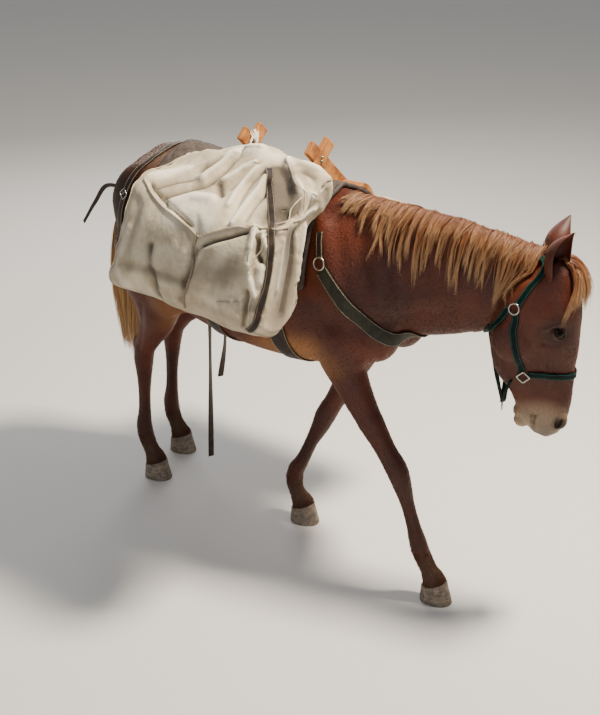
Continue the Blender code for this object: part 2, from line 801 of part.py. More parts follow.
def leg_zone(plane, gap):
    """Box round one leg, from a gap below its cut to under the floor."""
    place, normal = plane
    first = Vector((0, 1, 0)).cross(normal).normalized()
    second = normal.cross(first)
    turn = Matrix((first, second, normal)).transposed()
    depth = 1.0
    return box(place + normal * (depth / 2 + gap), (0.62, 0.235, depth), turn)


def coronet_plane(stations):
    """Slanted plane where a leg ends and its hoof begins."""
    x, y = stations[-2][:2]
    slope = (CORONET_FRONT - CORONET_BACK) / HOOF_LENGTH
    return Vector((x, y, (CORONET_FRONT + CORONET_BACK) / 2)), Vector((slope, 0, -1))


def hoof(name, stations):
    """Hoof with a flat sole on the floor and a slanted top at the coronet."""
    place, normal = coronet_plane(stations)
    toe_run = 0.42 * CORONET_FRONT / math.tan(TOE_ANGLE)
    levels = 4
    sides = 20
    bm = bmesh.new()
    rings = []
    for level in range(levels):
        part = level / (levels - 1)
        ring = []
        for index in range(sides):
            angle = 2 * math.pi * index / sides
            ahead = math.cos(angle)
            front = ahead > 0
            length = 0.050 + (1 - part) * toe_run if front else 0.046 + 0.004 * (1 - part)
            width = (0.046 + 0.008 * (1 - part)) * (1.0 if front else 1.0 - 0.18 * ahead ** 2)
            x = place.x + length * ahead
            top = place.z + normal.x * (x - place.x) - GAP
            ring.append(bm.verts.new((x, place.y + width * math.sin(angle), top * part)))
        rings.append(ring)
    bridge(bm, rings)
    return add_object(name, bm)


def carve_head(head):
    """Sink the eyes, the nostrils and the mouth line into the head."""
    turn = head_turn()
    tilt = Matrix.Rotation(NOSTRIL_TILT, 3, "Y")
    for side in (NEAR, FAR):
        below, forward, left = NOSTRIL_PLACE
        hole = ball(on_head(below, forward, side * left), NOSTRIL_RADII, turn @ tilt, detail=2)
        combine(head, hole, "DIFFERENCE")
        combine(head, eyeball("Socket", side, EYE_RADIUS + 2 * GAP), "DIFFERENCE")
        below, forward, left = MOUTH_PLACE
        groove = ball(on_head(below, forward, side * left), MOUTH_RADII, turn, detail=2)
        combine(head, groove, "DIFFERENCE")


def eyeball(name, side, radius):
    """Ball of an eye in its socket."""
    below, forward, left = EYE_PLACE
    place = on_head(below, forward, side * left)
    return ball(place, (radius, radius, radius), head_turn(), detail=2)


def ear(name, side):
    """Cupped ear: a leaf rolled round its own length, open ahead and outwards."""
    root = on_head(EAR_PLACE[0], EAR_PLACE[1], side * EAR_PLACE[2])
    turn = head_turn()
    up = (turn @ Vector((EAR_LEAN, side * EAR_SPREAD, 1.0))).normalized()
    ahead, aside = EAR_OPENING
    opening = (turn @ Vector((ahead, side * aside, 0.0))).normalized()
    opening = (opening - up * opening.dot(up)).normalized()
    across = up.cross(opening)
    wrap_root, wrap_loss = EAR_WRAP
    bm = bmesh.new()
    outer = []
    inner = []
    for row in range(EAR_ROWS):
        part = row / (EAR_ROWS - 1)
        leaf = EAR_ROOT_SHARE + EAR_MIDDLE_SHARE * part * (1 - part)
        width = EAR_WIDTH * leaf * (1 - part ** 5) + EAR_TIP_WIDTH
        wrap = wrap_root - wrap_loss * part
        radius = EAR_CUP * width / (2 * math.sin(min(wrap, math.pi) / 2))
        centre = root + up * (EAR_LENGTH * part - EAR_SUNK) + opening * (EAR_BEND * part ** 2)
        for column in range(EAR_COLUMNS + 1):
            swing = wrap * (column / EAR_COLUMNS - 0.5)
            out = -opening * math.cos(swing) + across * math.sin(swing)
            outer.append(bm.verts.new(centre + out * (radius + EAR_THICKNESS / 2)))
            inner_radius = max(radius - EAR_THICKNESS / 2, EAR_LEAST_RADIUS)
            inner.append(bm.verts.new(centre + out * inner_radius))
    close_sheet(bm, outer, inner, EAR_ROWS, EAR_COLUMNS + 1)
    return add_object(name, bm)


def close_sheet(bm, outer, inner, rows, columns):
    """Join two grids of vertices, row by row, into one closed sheet."""
    def at(grid, row, column):
        return grid[row * columns + column]

    for row in range(rows - 1):
        for column in range(columns - 1):
            for grid in (outer, inner):
                corners = [at(grid, row, column), at(grid, row, column + 1),
                           at(grid, row + 1, column + 1), at(grid, row + 1, column)]
                bm.faces.new((corners[0], corners[1], corners[2]))
                bm.faces.new((corners[0], corners[2], corners[3]))
    rim = [(0, c) for c in range(columns)]
    rim += [(r, columns - 1) for r in range(1, rows)]
    rim += [(rows - 1, c) for c in range(columns - 2, -1, -1)]
    rim += [(r, 0) for r in range(rows - 2, 0, -1)]
    for index, place in enumerate(rim):
        before_place = rim[index - 1]
        bm.faces.new((at(outer, *before_place), at(outer, *place),
                      at(inner, *place), at(inner, *before_place)))


def lock(root, route, width, thickness, twist=0.0):
    """Flat tapered lock that leaves its root along a bending route."""
    points = [Vector(root)] + [Vector(point) for point in route]
    rows = interpolate([(*point, 0.0) for point in points], lock_step(points))
    tangents = np.gradient(rows[:, :3], axis=0)
    bm = bmesh.new()
    rings = []
    last = len(rows) - 1
    for index, (row, tangent) in enumerate(zip(rows, tangents)):
        along = Vector(tangent).normalized()
        part = index / last
        flat = Matrix.Rotation(twist * part, 3, along) @ Vector((1, 0, 0))
        flat = (flat - along * along.dot(flat)).normalized()
        out = along.cross(flat)
        size = (1 - part) ** LOCK_TAPER * (1 - LOCK_TIP) + LOCK_TIP
        half = flat * (width / 2 * size)
        deep = out * (thickness / 2 * size)
        centre = Vector(row[:3])
        rings.append([bm.verts.new(centre + half), bm.verts.new(centre + deep),
                      bm.verts.new(centre - half), bm.verts.new(centre - deep)])
    bridge(bm, rings)
    return add_object("Lock", bm)


def lock_step(points):
    """Step that gives every lock the same number of spans."""
    length = sum((second - first).length for first, second in zip(points, points[1:]))
    return length / LOCK_SPANS


def tree_of(obj):
    """Search tree over an object's surface."""
    verts = [vert.co.copy() for vert in obj.data.vertices]
    faces = [list(face.vertices) for face in obj.data.polygons]
    return BVHTree.FromPolygons(verts, faces)


def mane_locks(tree, cutters):
    """Mane that falls from the crest on the near side."""
    draw = random.Random(11)
    locks = []
    for index in range(MANE_LOCKS):
        part = index / (MANE_LOCKS - 1)
        x = MANE_START + (MANE_END - MANE_START) * part
        crest = tree.ray_cast(Vector((x, neck_middle(x), 2.0)), DOWN)[0]
        drop = draw.uniform(*MANE_DROP) * (1.0 - MANE_FADE * abs(part - MANE_LONGEST))
        sweep = draw.uniform(*MANE_SWEEP)
        route = [crest + MANE_RISE]
        for step in MANE_STEPS:
            guess = crest + Vector((sweep * step, MANE_OUT * math.sqrt(step), -drop * step))
            touch, normal = tree.find_nearest(guess)[:2]
            route.append(touch + normal * draw.uniform(*MANE_LIFT))
        piece = lock(crest + MANE_ROOT, route, draw.uniform(*MANE_WIDTH), MANE_THICKNESS)
        trim(piece, cutters)
        locks.append(piece)
    return locks


def neck_middle(x):
    """Sideways place of the neck's middle at a distance along the animal."""
    rows = np.array(NECK)
    return float(np.interp(x, rows[:, 0], rows[:, 1]))


def forelock_locks(cutters):
    """Forelock that falls from between the ears over the brow."""
    draw = random.Random(5)
    locks = []
    for index in range(FORELOCK_LOCKS):
        side = 2 * index / (FORELOCK_LOCKS - 1) - 1
        places = []
        for below, forward, left in FORELOCK_ROUTE:
            places.append(on_head(below, forward, left * side))
        places[-1] += DOWN * draw.uniform(*FORELOCK_UNEVEN)
        piece = lock(places[0], places[1:], draw.uniform(*FORELOCK_WIDTH), FORELOCK_THICKNESS)
        trim(piece, cutters)
        locks.append(piece)
    return locks


def tail():
    """Dock with long locks that hang to the tip."""
    draw = random.Random(3)
    core = loft("tail", DOCK, FORWARD, sides=TAIL_SIDES, step=TAIL_STEP)
    dock = interpolate(DOCK, TAIL_STEP / 6)
    locks = []
    for index in range(TAIL_LOCKS):
        angle = 2 * math.pi * index / TAIL_LOCKS
        out = Vector((math.cos(angle), math.sin(angle), 0))
        start = TAIL_STARTS[index % len(TAIL_STARTS)]
        row = dock[int(start * (len(dock) - 1))]
        root = Vector(row[:3]) + out * TAIL_ROOT_OUT
        tip = Vector(TAIL_TIP) + out * TAIL_TIP_OUT + UP * draw.uniform(*TAIL_UNEVEN)
        spread = TAIL_SPREADS[index % len(TAIL_SPREADS)]
        route = [root + out * spread + DOWN * TAIL_FALL]
        for share, loss in TAIL_ROUTE:
            route.append(root.lerp(tip, share) + out * (spread - loss))
        route.append(tip)
        locks.append(lock(root, route, draw.uniform(*TAIL_WIDTH), TAIL_THICKNESS, twist=angle))
    fuse(core, locks)
    return core


def band(name, route, size, tree, others=(), step=0.050):
    """Flat band laid over a surface along a few guide points, lifted clear of it."""
    width, thickness = size
    rows = interpolate([(*point, 0.0) for point in route], step)[:, :3]
    touches = [tree.find_nearest(Vector(row))[:2] for row in rows]
    edges = []
    for index, (touch, normal) in enumerate(touches):
        ahead = touches[min(index + 1, len(touches) - 1)][0]
        behind = touches[max(index - 1, 0)][0]
        across = (ahead - behind).cross(normal).normalized()
        pair = []
        for share in (-0.5, 0.5):
            place, out = tree.find_nearest(touch + across * (width * share))[:2]
            pair.append([place, (out + normal).normalized()])
        edges.append(pair)
    for _ in range(3):
        for other in (tree, *others):
            lift_clear(edges, other)
    bm = bmesh.new()
    rings = []
    for pair in edges:
        low = [bm.verts.new(place) for place, _ in pair]
        high = [bm.verts.new(place + out * thickness) for place, out in pair]
        rings.append(high + low[::-1])
    bridge(bm, rings)
    return add_object(name, bm)


def lift_clear(edges, tree):
    """Raise the edge points of a band where its flat underside meets the surface."""
    needs = [0.0] * len(edges)
    for index, (first, second) in enumerate(zip(edges, edges[1:])):
        for along, across in BAND_SAMPLES:
            start = first[0][0].lerp(first[1][0], across)
            end = second[0][0].lerp(second[1][0], across)
            spot = start.lerp(end, along)
            touch, normal = tree.find_nearest(spot)[:2]
            need = LIFT - (spot - touch).dot(normal)
            needs[index] = max(needs[index], need)
            needs[index + 1] = max(needs[index + 1], need)
    for pair, need in zip(edges, needs):
        for point in pair:
            point[0] = point[0] + point[1] * need


def free_band(name, route, size, facing, step=0.04):
    """Flat band that hangs free, with its face towards a direction."""
    width, thickness = size
    rows = interpolate([(*point, 0.0) for point in route], step)[:, :3]
    tangents = np.gradient(rows, axis=0)
    bm = bmesh.new()
    rings = []
    for row, tangent in zip(rows, tangents):
        along = Vector(tangent).normalized()
        across = along.cross(facing).normalized() * (width / 2)
        out = across.cross(along).normalized() * (thickness / 2)
        centre = Vector(row)
        corners = (across + out, out - across, -across - out, across - out)
        rings.append([bm.verts.new(centre + corner) for corner in corners])
    bridge(bm, rings)
    return add_object(name, bm)


def ring(name, place, normal, radius, wire):
    """Round ring of wire."""
    bm = bmesh.new()
    turn = Vector(normal).to_track_quat("Z", "Y").to_matrix()
    rings = []
    for index in range(RING_AROUND):
        angle = 2 * math.pi * index / RING_AROUND
        out = Vector((math.cos(angle), math.sin(angle), 0))
        circle = []
        for point in range(RING_SIDES):
            swing = 2 * math.pi * point / RING_SIDES
            spot = out * (radius + wire * math.cos(swing)) + UP * (wire * math.sin(swing))
            circle.append(bm.verts.new(Vector(place) + turn @ spot))
        rings.append(circle)
    for index in range(RING_AROUND):
        first = rings[index - 1]
        second = rings[index]
        for point in range(RING_SIDES):
            bm.faces.new((first[point - 1], first[point], second[point], second[point - 1]))
    return add_object(name, bm)


def pannier(name, word):
    """Full canvas pannier: one outline carried along the animal, soft at its ends."""
    outline = np.array(PANNIER_OUTLINES[word])
    outline[:, 0] *= SIDES[word]
    middle = outline.mean(axis=0)
    start, grows = PANNIER_TOP
    tuck, share, below, over = PANNIER_TUCK
    bm = bmesh.new()
    rings = []
    for part, size, lift in PANNIER_SECTIONS:
        places = middle + (outline - middle) * size
        x = np.full(len(places), PANNIER_BACK + part * (PANNIER_FRONT - PANNIER_BACK))
        if word == "near":
            low = np.clip((below - places[:, 1]) / over, 0.0, 1.0)
            x -= tuck * low * max(0.0, 1.0 - (1.0 - part) / share)
            places[:, 1] += lift * np.clip((places[:, 1] - start) / grows, 0.0, 1.0)
        rings.append([bm.verts.new((ahead, y, z)) for ahead, (y, z) in zip(x, places)])
    bridge(bm, rings)
    bag = skin([add_object(name, bm)], name, 0.012, 4)
    thin_out(bag, PANNIER_SHARE)
    return bag


def pad(tree):
    """Saddle pad that lies over the back."""
    bm = bmesh.new()
    outer = []
    inner = []
    for row in range(PAD_ROWS):
        x = PAD_BACK + (PAD_FRONT - PAD_BACK) * row / (PAD_ROWS - 1)
        for column in range(PAD_COLUMNS):
            swing = PAD_SWING * (2 * column / (PAD_COLUMNS - 1) - 1)
            out = Vector((0, math.sin(swing), math.cos(swing)))
            touch = tree.ray_cast(Vector((x, 0, PAD_MIDDLE)) + out * RAY_REACH, -out)[0]
            outer.append(bm.verts.new(touch + out * (PAD_LIFT + PAD_THICKNESS)))
            inner.append(bm.verts.new(touch + out * PAD_LIFT))
    close_sheet(bm, outer, inner, PAD_ROWS, PAD_COLUMNS)
    return add_object("saddle_pad", bm)


def saddle_cross(name, x):
    """Two wooden bars that cross over the back, halved into each other."""
    tip_y, tip_z = CROSS_TIP
    foot_y, foot_z = CROSS_FOOT
    length = math.hypot(tip_y + foot_y, tip_z - foot_z)
    angle = math.atan2(tip_z - foot_z, tip_y + foot_y)
    bars = []
    for side in (NEAR, FAR):
        turn = Matrix.Rotation(side * angle, 3, "X")
        centre = Vector((x, side * (tip_y - foot_y) / 2, (tip_z + foot_z) / 2))
        bars.append(box(centre, (BAR_THICKNESS, length, BAR_WIDTH), turn))
    bars[0].name = name
    combine(bars[0], bars[1], "UNION")
    return bars[0]


def side_board(name, side):
    """Board that carries the saddle's bars on one side of the back."""
    turn = Matrix.Rotation(-side * BOARD_TILT, 3, "X")
    x, y, z = BOARD_PLACE
    board = box((x, side * y, z), (BOARD_LENGTH, BOARD_WIDTH, BOARD_THICKNESS), turn)
    board.name = name
    return board


def clear_scene():
    """Remove every object that the file starts with."""
    for obj in list(bpy.data.objects):
        bpy.data.objects.remove(obj, do_unlink=True)


def make_flesh(nodes, cutters):
    """Trunk, neck, head, legs and hooves as parted solids, and trees over the whole skins."""
    body = whole_body()
    head = front_body()
    head.name = "head"
    plane = head_plane()

    fine = duplicate(body, "Fine body")
    thin_out(fine, LEG_SHARE)
    thin_out(body, TORSO_SHARE)
    thin_out(head, HEAD_SHARE)
    trees = {"body": tree_of(body), "head": tree_of(head)}

    combine(head, beyond(plane, GAP), "INTERSECT")
    carve_head(head)

    neck = duplicate(body, "neck")
    combine(neck, beyond(NECK_PLANE, GAP), "INTERSECT")
    combine(neck, before(plane), "INTERSECT")

    torso = body
    torso.name = "torso"
    combine(torso, before(NECK_PLANE), "INTERSECT")
    for name, stations in LEGS.items():
        cut = leg_plane(stations)
        combine(torso, leg_zone(cut, 0.0), "DIFFERENCE")
        leg = duplicate(fine, name)
        combine(leg, leg_zone(cut, GAP), "INTERSECT")
        combine(leg, beyond(coronet_plane(stations), 0.0), "DIFFERENCE")
        keep_largest(leg)
        nodes[name] = leg
        hoof_name = name.replace("leg", "hoof")
        nodes[hoof_name] = hoof(hoof_name, stations)
    remove(fine)
    for piece in (torso, neck, head):
        keep_largest(piece)
        nodes[piece.name] = piece
        cutters[piece.name] = inflated(piece, CLEARANCE)
    return trees


def make_hair(nodes, cutters, trees):
    """Mane on the neck, forelock on the head, and the tail."""
    gear = {name: cutter for name, cutter in cutters.items() if name not in ("neck", "head")}
    fuse(nodes["neck"], mane_locks(trees["body"], {**gear, "head": cutters["head"]}))
    fuse(nodes["head"], forelock_locks(gear))
    for name in ("neck", "head"):
        keep_largest(nodes[name])
    settle(nodes, cutters, tail())


def make_face(nodes, cutters):
    """Eyes and ears."""
    for word, side in SIDES.items():
        nodes["eye_" + word] = eyeball("eye_" + word, side, EYE_RADIUS)
        settle(nodes, cutters, ear("ear_" + word, side))


def make_load(nodes, cutters, trees):
    """Saddle pad, wooden saddle, panniers and the bands round them."""
    settle(nodes, cutters, pad(trees["body"]))
    for name, x in CROSS_PLACES.items():
        settle(nodes, cutters, saddle_cross(name, x))
    for word, side in SIDES.items():
        settle(nodes, cutters, side_board("saddle_board_" + word, side))
    for word in SIDES:
        bag = pannier("pannier_" + word, word)
        tree = tree_of(bag)
        settle(nodes, cutters, bag)
        settle(nodes, cutters, band("pannier_rope_" + word, PANNIER_ROPES[word], ROPE_BAND, tree))
        settle(nodes, cutters, band("pannier_strap_" + word, PANNIER_STRAPS[word], PACK_BAND, tree))


def sided(route, side):
    """A route given for the far side, moved to either side."""
    return [Vector((x, side * y, z)) for x, y, z in route]


def both_sides(route):
    """A route from the middle plane out, run from the near side to the far side."""
    outwards = sided(route, FAR)
    return sided(route, NEAR)[::-1] + outwards[1 if route[0][1] == 0 else 0:]


def cinch(name, x, tree):
    """Band from under one pannier round the belly to under the other."""
    route = [(x, y, z) for y, z in CINCH_ROUTE]
    return band(name, both_sides(route), CINCH_BAND, tree)


def make_harness(nodes, cutters, trees):
    """Breast collar, cinches, breeching and the straps that hang from them."""
    tree = trees["body"]
    settle(nodes, cutters, band("breast_collar", both_sides(COLLAR_ROUTE), COLLAR_BAND, tree))
    for name, x in CINCH_PLACES.items():
        settle(nodes, cutters, cinch(name, x, tree))
    settle(nodes, cutters, band("breeching", both_sides(BREECHING_ROUTE), BREECHING_BAND, tree))
    settle(nodes, cutters, band("hip_strap", both_sides(HIP_ROUTE), HIP_BAND, tree))
    for word, side in SIDES.items():
        settle(nodes, cutters, band("breast_tug_" + word, sided(TUG_ROUTE, side), TUG_BAND, tree))
        touch, normal = tree.find_nearest(sided([RING_PLACE], side)[0])[:2]
        settle(nodes, cutters, ring("breast_ring_" + word, touch + normal * RING_LIFT, normal,
                                    *RING_SIZE))
    for name, route in HANGING_ROUTES.items():
        settle(nodes, cutters, free_band(name, route, HANGING_BAND, FORWARD))
    settle(nodes, cutters, free_band("breeching_end", LOOSE_END, END_BAND, Vector((0, 1, 0))))


def halter_route(points, side=NEAR):
    """World places of route points given in the head's own directions."""
    return [on_head(below, forward, side * left) for below, forward, left in points]


def across_head(points):
    """A halter route from the head's middle plane, run from near to far."""
    return halter_route(points)[::-1] + halter_route(points, FAR)[1:]


def throat_route(tree):
    """Places on the skin round the throat, from the near side to the far side."""
    middle = on_head(*THROAT_MIDDLE)
    low = (on_head(*THROAT_LOW) - middle).normalized()
    left = head_turn() @ Vector((0, 1, 0))
    places = []
    for angle in THROAT_ANGLES:
        swing = math.radians(angle)
        out = low * math.cos(swing) + left * math.sin(swing)
        places.append(tree.ray_cast(middle + out * 0.5, -out)[0])
    return places


def make_halter(nodes, cutters, trees):
    """Webbing halter with its rings, fittings and chin strap."""
    tree = trees["head"]
    neck = (trees["body"],)
    for name, points in (("crown", CROWN), ("noseband", NOSE_BAND)):
        route = across_head(points)
        settle(nodes, cutters, band("halter_" + name, route, HALTER_BAND, tree, neck, CROWN_STEP))
    route = throat_route(trees["body"])
    settle(nodes, cutters,
           band("halter_throat", route, HALTER_BAND, trees["body"], (tree,), CHEEK_STEP))
    for word, side in SIDES.items():
        route = halter_route(CHEEK, side)
        settle(nodes, cutters,
               band("halter_cheek_" + word, route, HALTER_BAND, tree, neck, CHEEK_STEP))
    for word, side in SIDES.items():
        for base, spot, size in (("halter_ring_", HALTER_RING, HALTER_RING_SIZE),
                                 ("halter_fitting_", HALTER_FITTING, FITTING_SIZE)):
            touch, normal = tree.find_nearest(halter_route([spot], side)[0])[:2]
            settle(nodes, cutters, ring(base + word, touch + normal * HALTER_LIFT, normal, *size))
    route = across_head(CHIN_STRAP)
    settle(nodes, cutters, free_band("halter_chin_strap", route, CHIN_BAND, DOWN, CHIN_STEP))
    settle(nodes, cutters, ring("halter_chin_ring", on_head(*CHIN_RING), head_turn() @ FORWARD,
                                *CHIN_RING_SIZE))


LOOKS = {
    "coat": ((0.28, 0.10, 0.04), 0.75, 0.0),
    "hoof": ((0.20, 0.16, 0.13), 0.55, 0.0),
    "eye": ((0.03, 0.015, 0.01), 0.15, 0.0),
    "hair": ((0.52, 0.34, 0.18), 0.7, 0.0),
    "canvas": ((0.58, 0.53, 0.45), 0.9, 0.0),
    "felt": ((0.16, 0.13, 0.12), 0.95, 0.0),
    "wood": ((0.42, 0.24, 0.11), 0.6, 0.0),
    "leather": ((0.10, 0.06, 0.045), 0.6, 0.0),
    "webbing": ((0.02, 0.16, 0.13), 0.7, 0.0),
    "steel": ((0.62, 0.60, 0.57), 0.35, 1.0),
    "rope": ((0.30, 0.27, 0.22), 0.9, 0.0),
}
LOOK_OF = [
    ("hoof", "hoof"), ("eye", "eye"), ("tail", "hair"), ("pannier_rope", "rope"),
    ("pannier_strap", "leather"), ("pannier", "canvas"), ("saddle_pad", "felt"),
    ("saddle", "wood"), ("halter_ring", "steel"), ("halter_fitting", "steel"),
    ("halter_chin_ring", "steel"),
    ("halter", "webbing"), ("breast_ring", "steel"), ("breast", "leather"),
    ("cinch", "leather"), ("breeching", "leather"), ("hip", "leather"),
    ("hanging", "leather"),
]


def look_of(name):
    """Name of the look that a node wears."""
    for start, look in LOOK_OF:
        if name.startswith(start):
            return look
    return "coat"


def centre_on_floor(objects):
    """Move everything so that the origin is under the middle of the whole."""
    boxes = [box_of(obj) for obj in objects]
    low = np.min([box[0] for box in boxes], axis=0)
    high = np.max([box[1] for box in boxes], axis=0)
    middle = (low + high) / 2
    shift = Matrix.Translation((-middle[0], -middle[1], -low[2]))
    for obj in objects:
        obj.data.transform(shift)


def main():
    """Build every node."""
    clear_scene()
    nodes = {}
    cutters = {}
    trees = make_flesh(nodes, cutters)
    make_face(nodes, cutters)
    make_load(nodes, cutters, trees)
    make_harness(nodes, cutters, trees)
    make_halter(nodes, cutters, trees)
    make_hair(nodes, cutters, trees)
    for cutter in cutters.values():
        remove(cutter)
    centre_on_floor(nodes.values())
    for name, obj in nodes.items():
        obj.name = name
        look = look_of(name)
        obj.data.materials.clear()
        obj.data.materials.append(material(look, *LOOKS[look]))


main()
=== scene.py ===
"""Looks of a life-size pack mule: skin and coat, hair, eyes, hooves, load, saddle and harness.

Metres, +Z up. The animal faces +X and its right, near side lies at -Y. Places are measured from
the same point as in the CAD source, and the workshop moves each finished piece to the frame.
"""
import logging
import math
from dataclasses import dataclass, field
from enum import Enum
from typing import Sequence

import bmesh
import bpy
import numpy as np
from mathutils import Matrix, Vector
from mathutils.bvhtree import BVHTree

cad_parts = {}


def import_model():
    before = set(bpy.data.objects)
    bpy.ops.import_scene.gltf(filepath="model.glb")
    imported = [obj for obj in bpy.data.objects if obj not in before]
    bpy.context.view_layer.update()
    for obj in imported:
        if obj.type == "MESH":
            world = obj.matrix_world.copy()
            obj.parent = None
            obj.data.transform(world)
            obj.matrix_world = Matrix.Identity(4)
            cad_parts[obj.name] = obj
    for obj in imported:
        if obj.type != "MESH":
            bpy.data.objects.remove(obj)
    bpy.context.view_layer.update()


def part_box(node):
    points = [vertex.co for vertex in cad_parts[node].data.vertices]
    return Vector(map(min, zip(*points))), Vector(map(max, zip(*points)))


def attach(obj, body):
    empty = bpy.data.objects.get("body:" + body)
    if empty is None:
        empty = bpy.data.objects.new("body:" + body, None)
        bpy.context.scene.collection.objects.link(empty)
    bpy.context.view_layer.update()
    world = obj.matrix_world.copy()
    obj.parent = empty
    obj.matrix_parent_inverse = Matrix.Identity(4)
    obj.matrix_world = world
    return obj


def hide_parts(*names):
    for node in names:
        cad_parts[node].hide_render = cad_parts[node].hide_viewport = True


log = logging.getLogger("pack_mule")

FORWARD = Vector((1, 0, 0))
UP = Vector((0, 0, 1))
DOWN = Vector((0, 0, -1))
LEFT = Vector((0, 1, 0))
MM = 0.001
CROSS_FRONT = Vector((0.320, 0.0))


class Side(Enum):
    """The two sides of the animal: near is its right, which the camera sees."""

    NEAR = -1
    FAR = 1

    @property
    def word(self) -> str:
        """Name of the side, as the CAD nodes end."""
        return self.name.lower()


def linear(code: str) -> tuple[float, float, float, float]:
    """Turn an sRGB hex colour to linear light.

    Args:
        code: Colour as "#RRGGBB".

    Returns:
        Red, green, blue and an alpha of one.
    """
    parts = [int(code[start:start + 2], 16) / 255 for start in (1, 3, 5)]
    light = [part / 12.92 if part <= 0.04045 else ((part + 0.055) / 1.055) ** 2.4 for part in parts]
    return (*light, 1.0)


def add_node(tree: bpy.types.NodeTree, kind: str, links: dict | None = None, **settings):
    """Add a node with its settings and links.

    Args:
        tree: The tree that takes the node.
        kind: Blender's name for the node's type.
        links: Input name or number, and the socket or the plain value it takes.
        settings: Properties of the node.

    Returns:
        The new node.
    """
    node = tree.nodes.new(kind)
    for name, value in settings.items():
        setattr(node, name, value)
    for key, source in (links or {}).items():
        if isinstance(source, bpy.types.NodeSocket):
            tree.links.new(source, node.inputs[key])
        else:
            node.inputs[key].default_value = source
    return node


def mesh_object(name: str, verts: np.ndarray, faces: Sequence, smooth: bool = True):
    """Make a mesh object from vertices and faces.

    Args:
        name: Name of the object.
        verts: Places, one row each.
        faces: Vertex numbers, one sequence a face.
        smooth: Whether the faces are shaded smooth.

    Returns:
        The linked object.
    """
    mesh = bpy.data.meshes.new(name)
    mesh.from_pydata([tuple(vert) for vert in verts], [], [tuple(face) for face in faces])
    mesh.update()
    mesh.shade_smooth() if smooth else mesh.shade_flat()
    obj = bpy.data.objects.new(name, mesh)
    bpy.context.scene.collection.objects.link(obj)
    return obj


def face_outwards(obj: bpy.types.Object, merge: float = 0.0) -> bpy.types.Object:
    """Turn all the faces of a closed mesh outwards.

    Args:
        obj: The object.
        merge: Distance under which vertices are merged first, or 0.

    Returns:
        The same object.
    """
    bm = bmesh.new()
    bm.from_mesh(obj.data)
    if merge:
        bmesh.ops.remove_doubles(bm, verts=bm.verts, dist=merge)
    bmesh.ops.recalc_face_normals(bm, faces=bm.faces)
    bm.to_mesh(obj.data)
    bm.free()
    return obj


def remove(obj: bpy.types.Object) -> None:
    """Take an object and its mesh out of the file."""
    mesh = obj.data
    bpy.data.objects.remove(obj, do_unlink=True)
    bpy.data.meshes.remove(mesh)


def bake(obj: bpy.types.Object) -> bpy.types.Object:
    """Replace an object's mesh with what its modifiers make of it."""
    depsgraph = bpy.context.evaluated_depsgraph_get()
    mesh = bpy.data.meshes.new_from_object(obj.evaluated_get(depsgraph))
    old = obj.data
    obj.modifiers.clear()
    obj.data = mesh
    bpy.data.meshes.remove(old)
    return obj


def join(objects: Sequence[bpy.types.Object], name: str) -> bpy.types.Object:
    """Put the meshes of several objects in one, as loose shells."""
    bm = bmesh.new()
    for obj in objects:
        bm.from_mesh(obj.data)
        remove(obj)
    mesh = bpy.data.meshes.new(name)
    bm.to_mesh(mesh)
    bm.free()
    joined = bpy.data.objects.new(name, mesh)
    bpy.context.scene.collection.objects.link(joined)
    return joined


def combine(obj: bpy.types.Object, other: bpy.types.Object, operation: str) -> None:
    """Apply one exact Boolean and drop the other object."""
    modifier = obj.modifiers.new("Combine", "BOOLEAN")
    modifier.operation = operation
    modifier.solver = "EXACT"
    modifier.object = other
    bake(obj)
    remove(other)


def vert_places(obj: bpy.types.Object) -> np.ndarray:
    """Places of a mesh's vertices, one row each."""
    places = np.empty(len(obj.data.vertices) * 3)
    obj.data.vertices.foreach_get("co", places)
    return places.reshape(-1, 3)


def vert_normals(obj: bpy.types.Object) -> np.ndarray:
    """Normals of a mesh's vertices, one row each."""
    normals = np.empty(len(obj.data.vertices) * 3)
    obj.data.vertices.foreach_get("normal", normals)
    return normals.reshape(-1, 3)


def move_verts(obj: bpy.types.Object, places: np.ndarray) -> None:
    """Put a mesh's vertices at new places."""
    obj.data.vertices.foreach_set("co", places.ravel())
    obj.data.update()


def store(obj: bpy.types.Object, name: str, values: np.ndarray) -> None:
    """Store one number, or one vector, for each vertex of a mesh."""
    kind, key = ("FLOAT", "value") if values.ndim == 1 else ("FLOAT_VECTOR", "vector")
    attribute = obj.data.attributes.new(name, kind, "POINT")
    attribute.data.foreach_set(key, np.ascontiguousarray(values, dtype=np.float32).ravel())


def store_uv(obj: bpy.types.Object, name: str, values: np.ndarray) -> None:
    """Store a UV map given for each vertex of a mesh."""
    layer = obj.data.uv_layers.new(name=name)
    corners = np.empty(len(obj.data.loops), dtype=np.int64)
    obj.data.loops.foreach_get("vertex_index", corners)
    layer.uv.foreach_set("vector", values[corners].astype(np.float32).ravel())


def tree_of(obj: bpy.types.Object) -> BVHTree:
    """Search tree over an object's surface."""
    faces = [tuple(face.vertices) for face in obj.data.polygons]
    return BVHTree.FromPolygons([tuple(place) for place in vert_places(obj)], faces)


def unit(vectors: np.ndarray) -> np.ndarray:
    """Vectors brought to length one, row by row."""
    return vectors / np.maximum(np.linalg.norm(vectors, axis=-1, keepdims=True), 1e-9)


def path_distance(places: np.ndarray, path: np.ndarray) -> np.ndarray:
    """Distance of places from a path of straight lines, in as many axes as both have."""
    best = np.full(len(places), 1e9)
    for start, end in zip(path, path[1:]):
        line = end - start
        part = np.clip((places - start) @ line / max(line @ line, 1e-12), 0, 1)
        away = np.linalg.norm(places - (start + part[:, None] * line), axis=1)
        best = np.minimum(best, away)
    return best


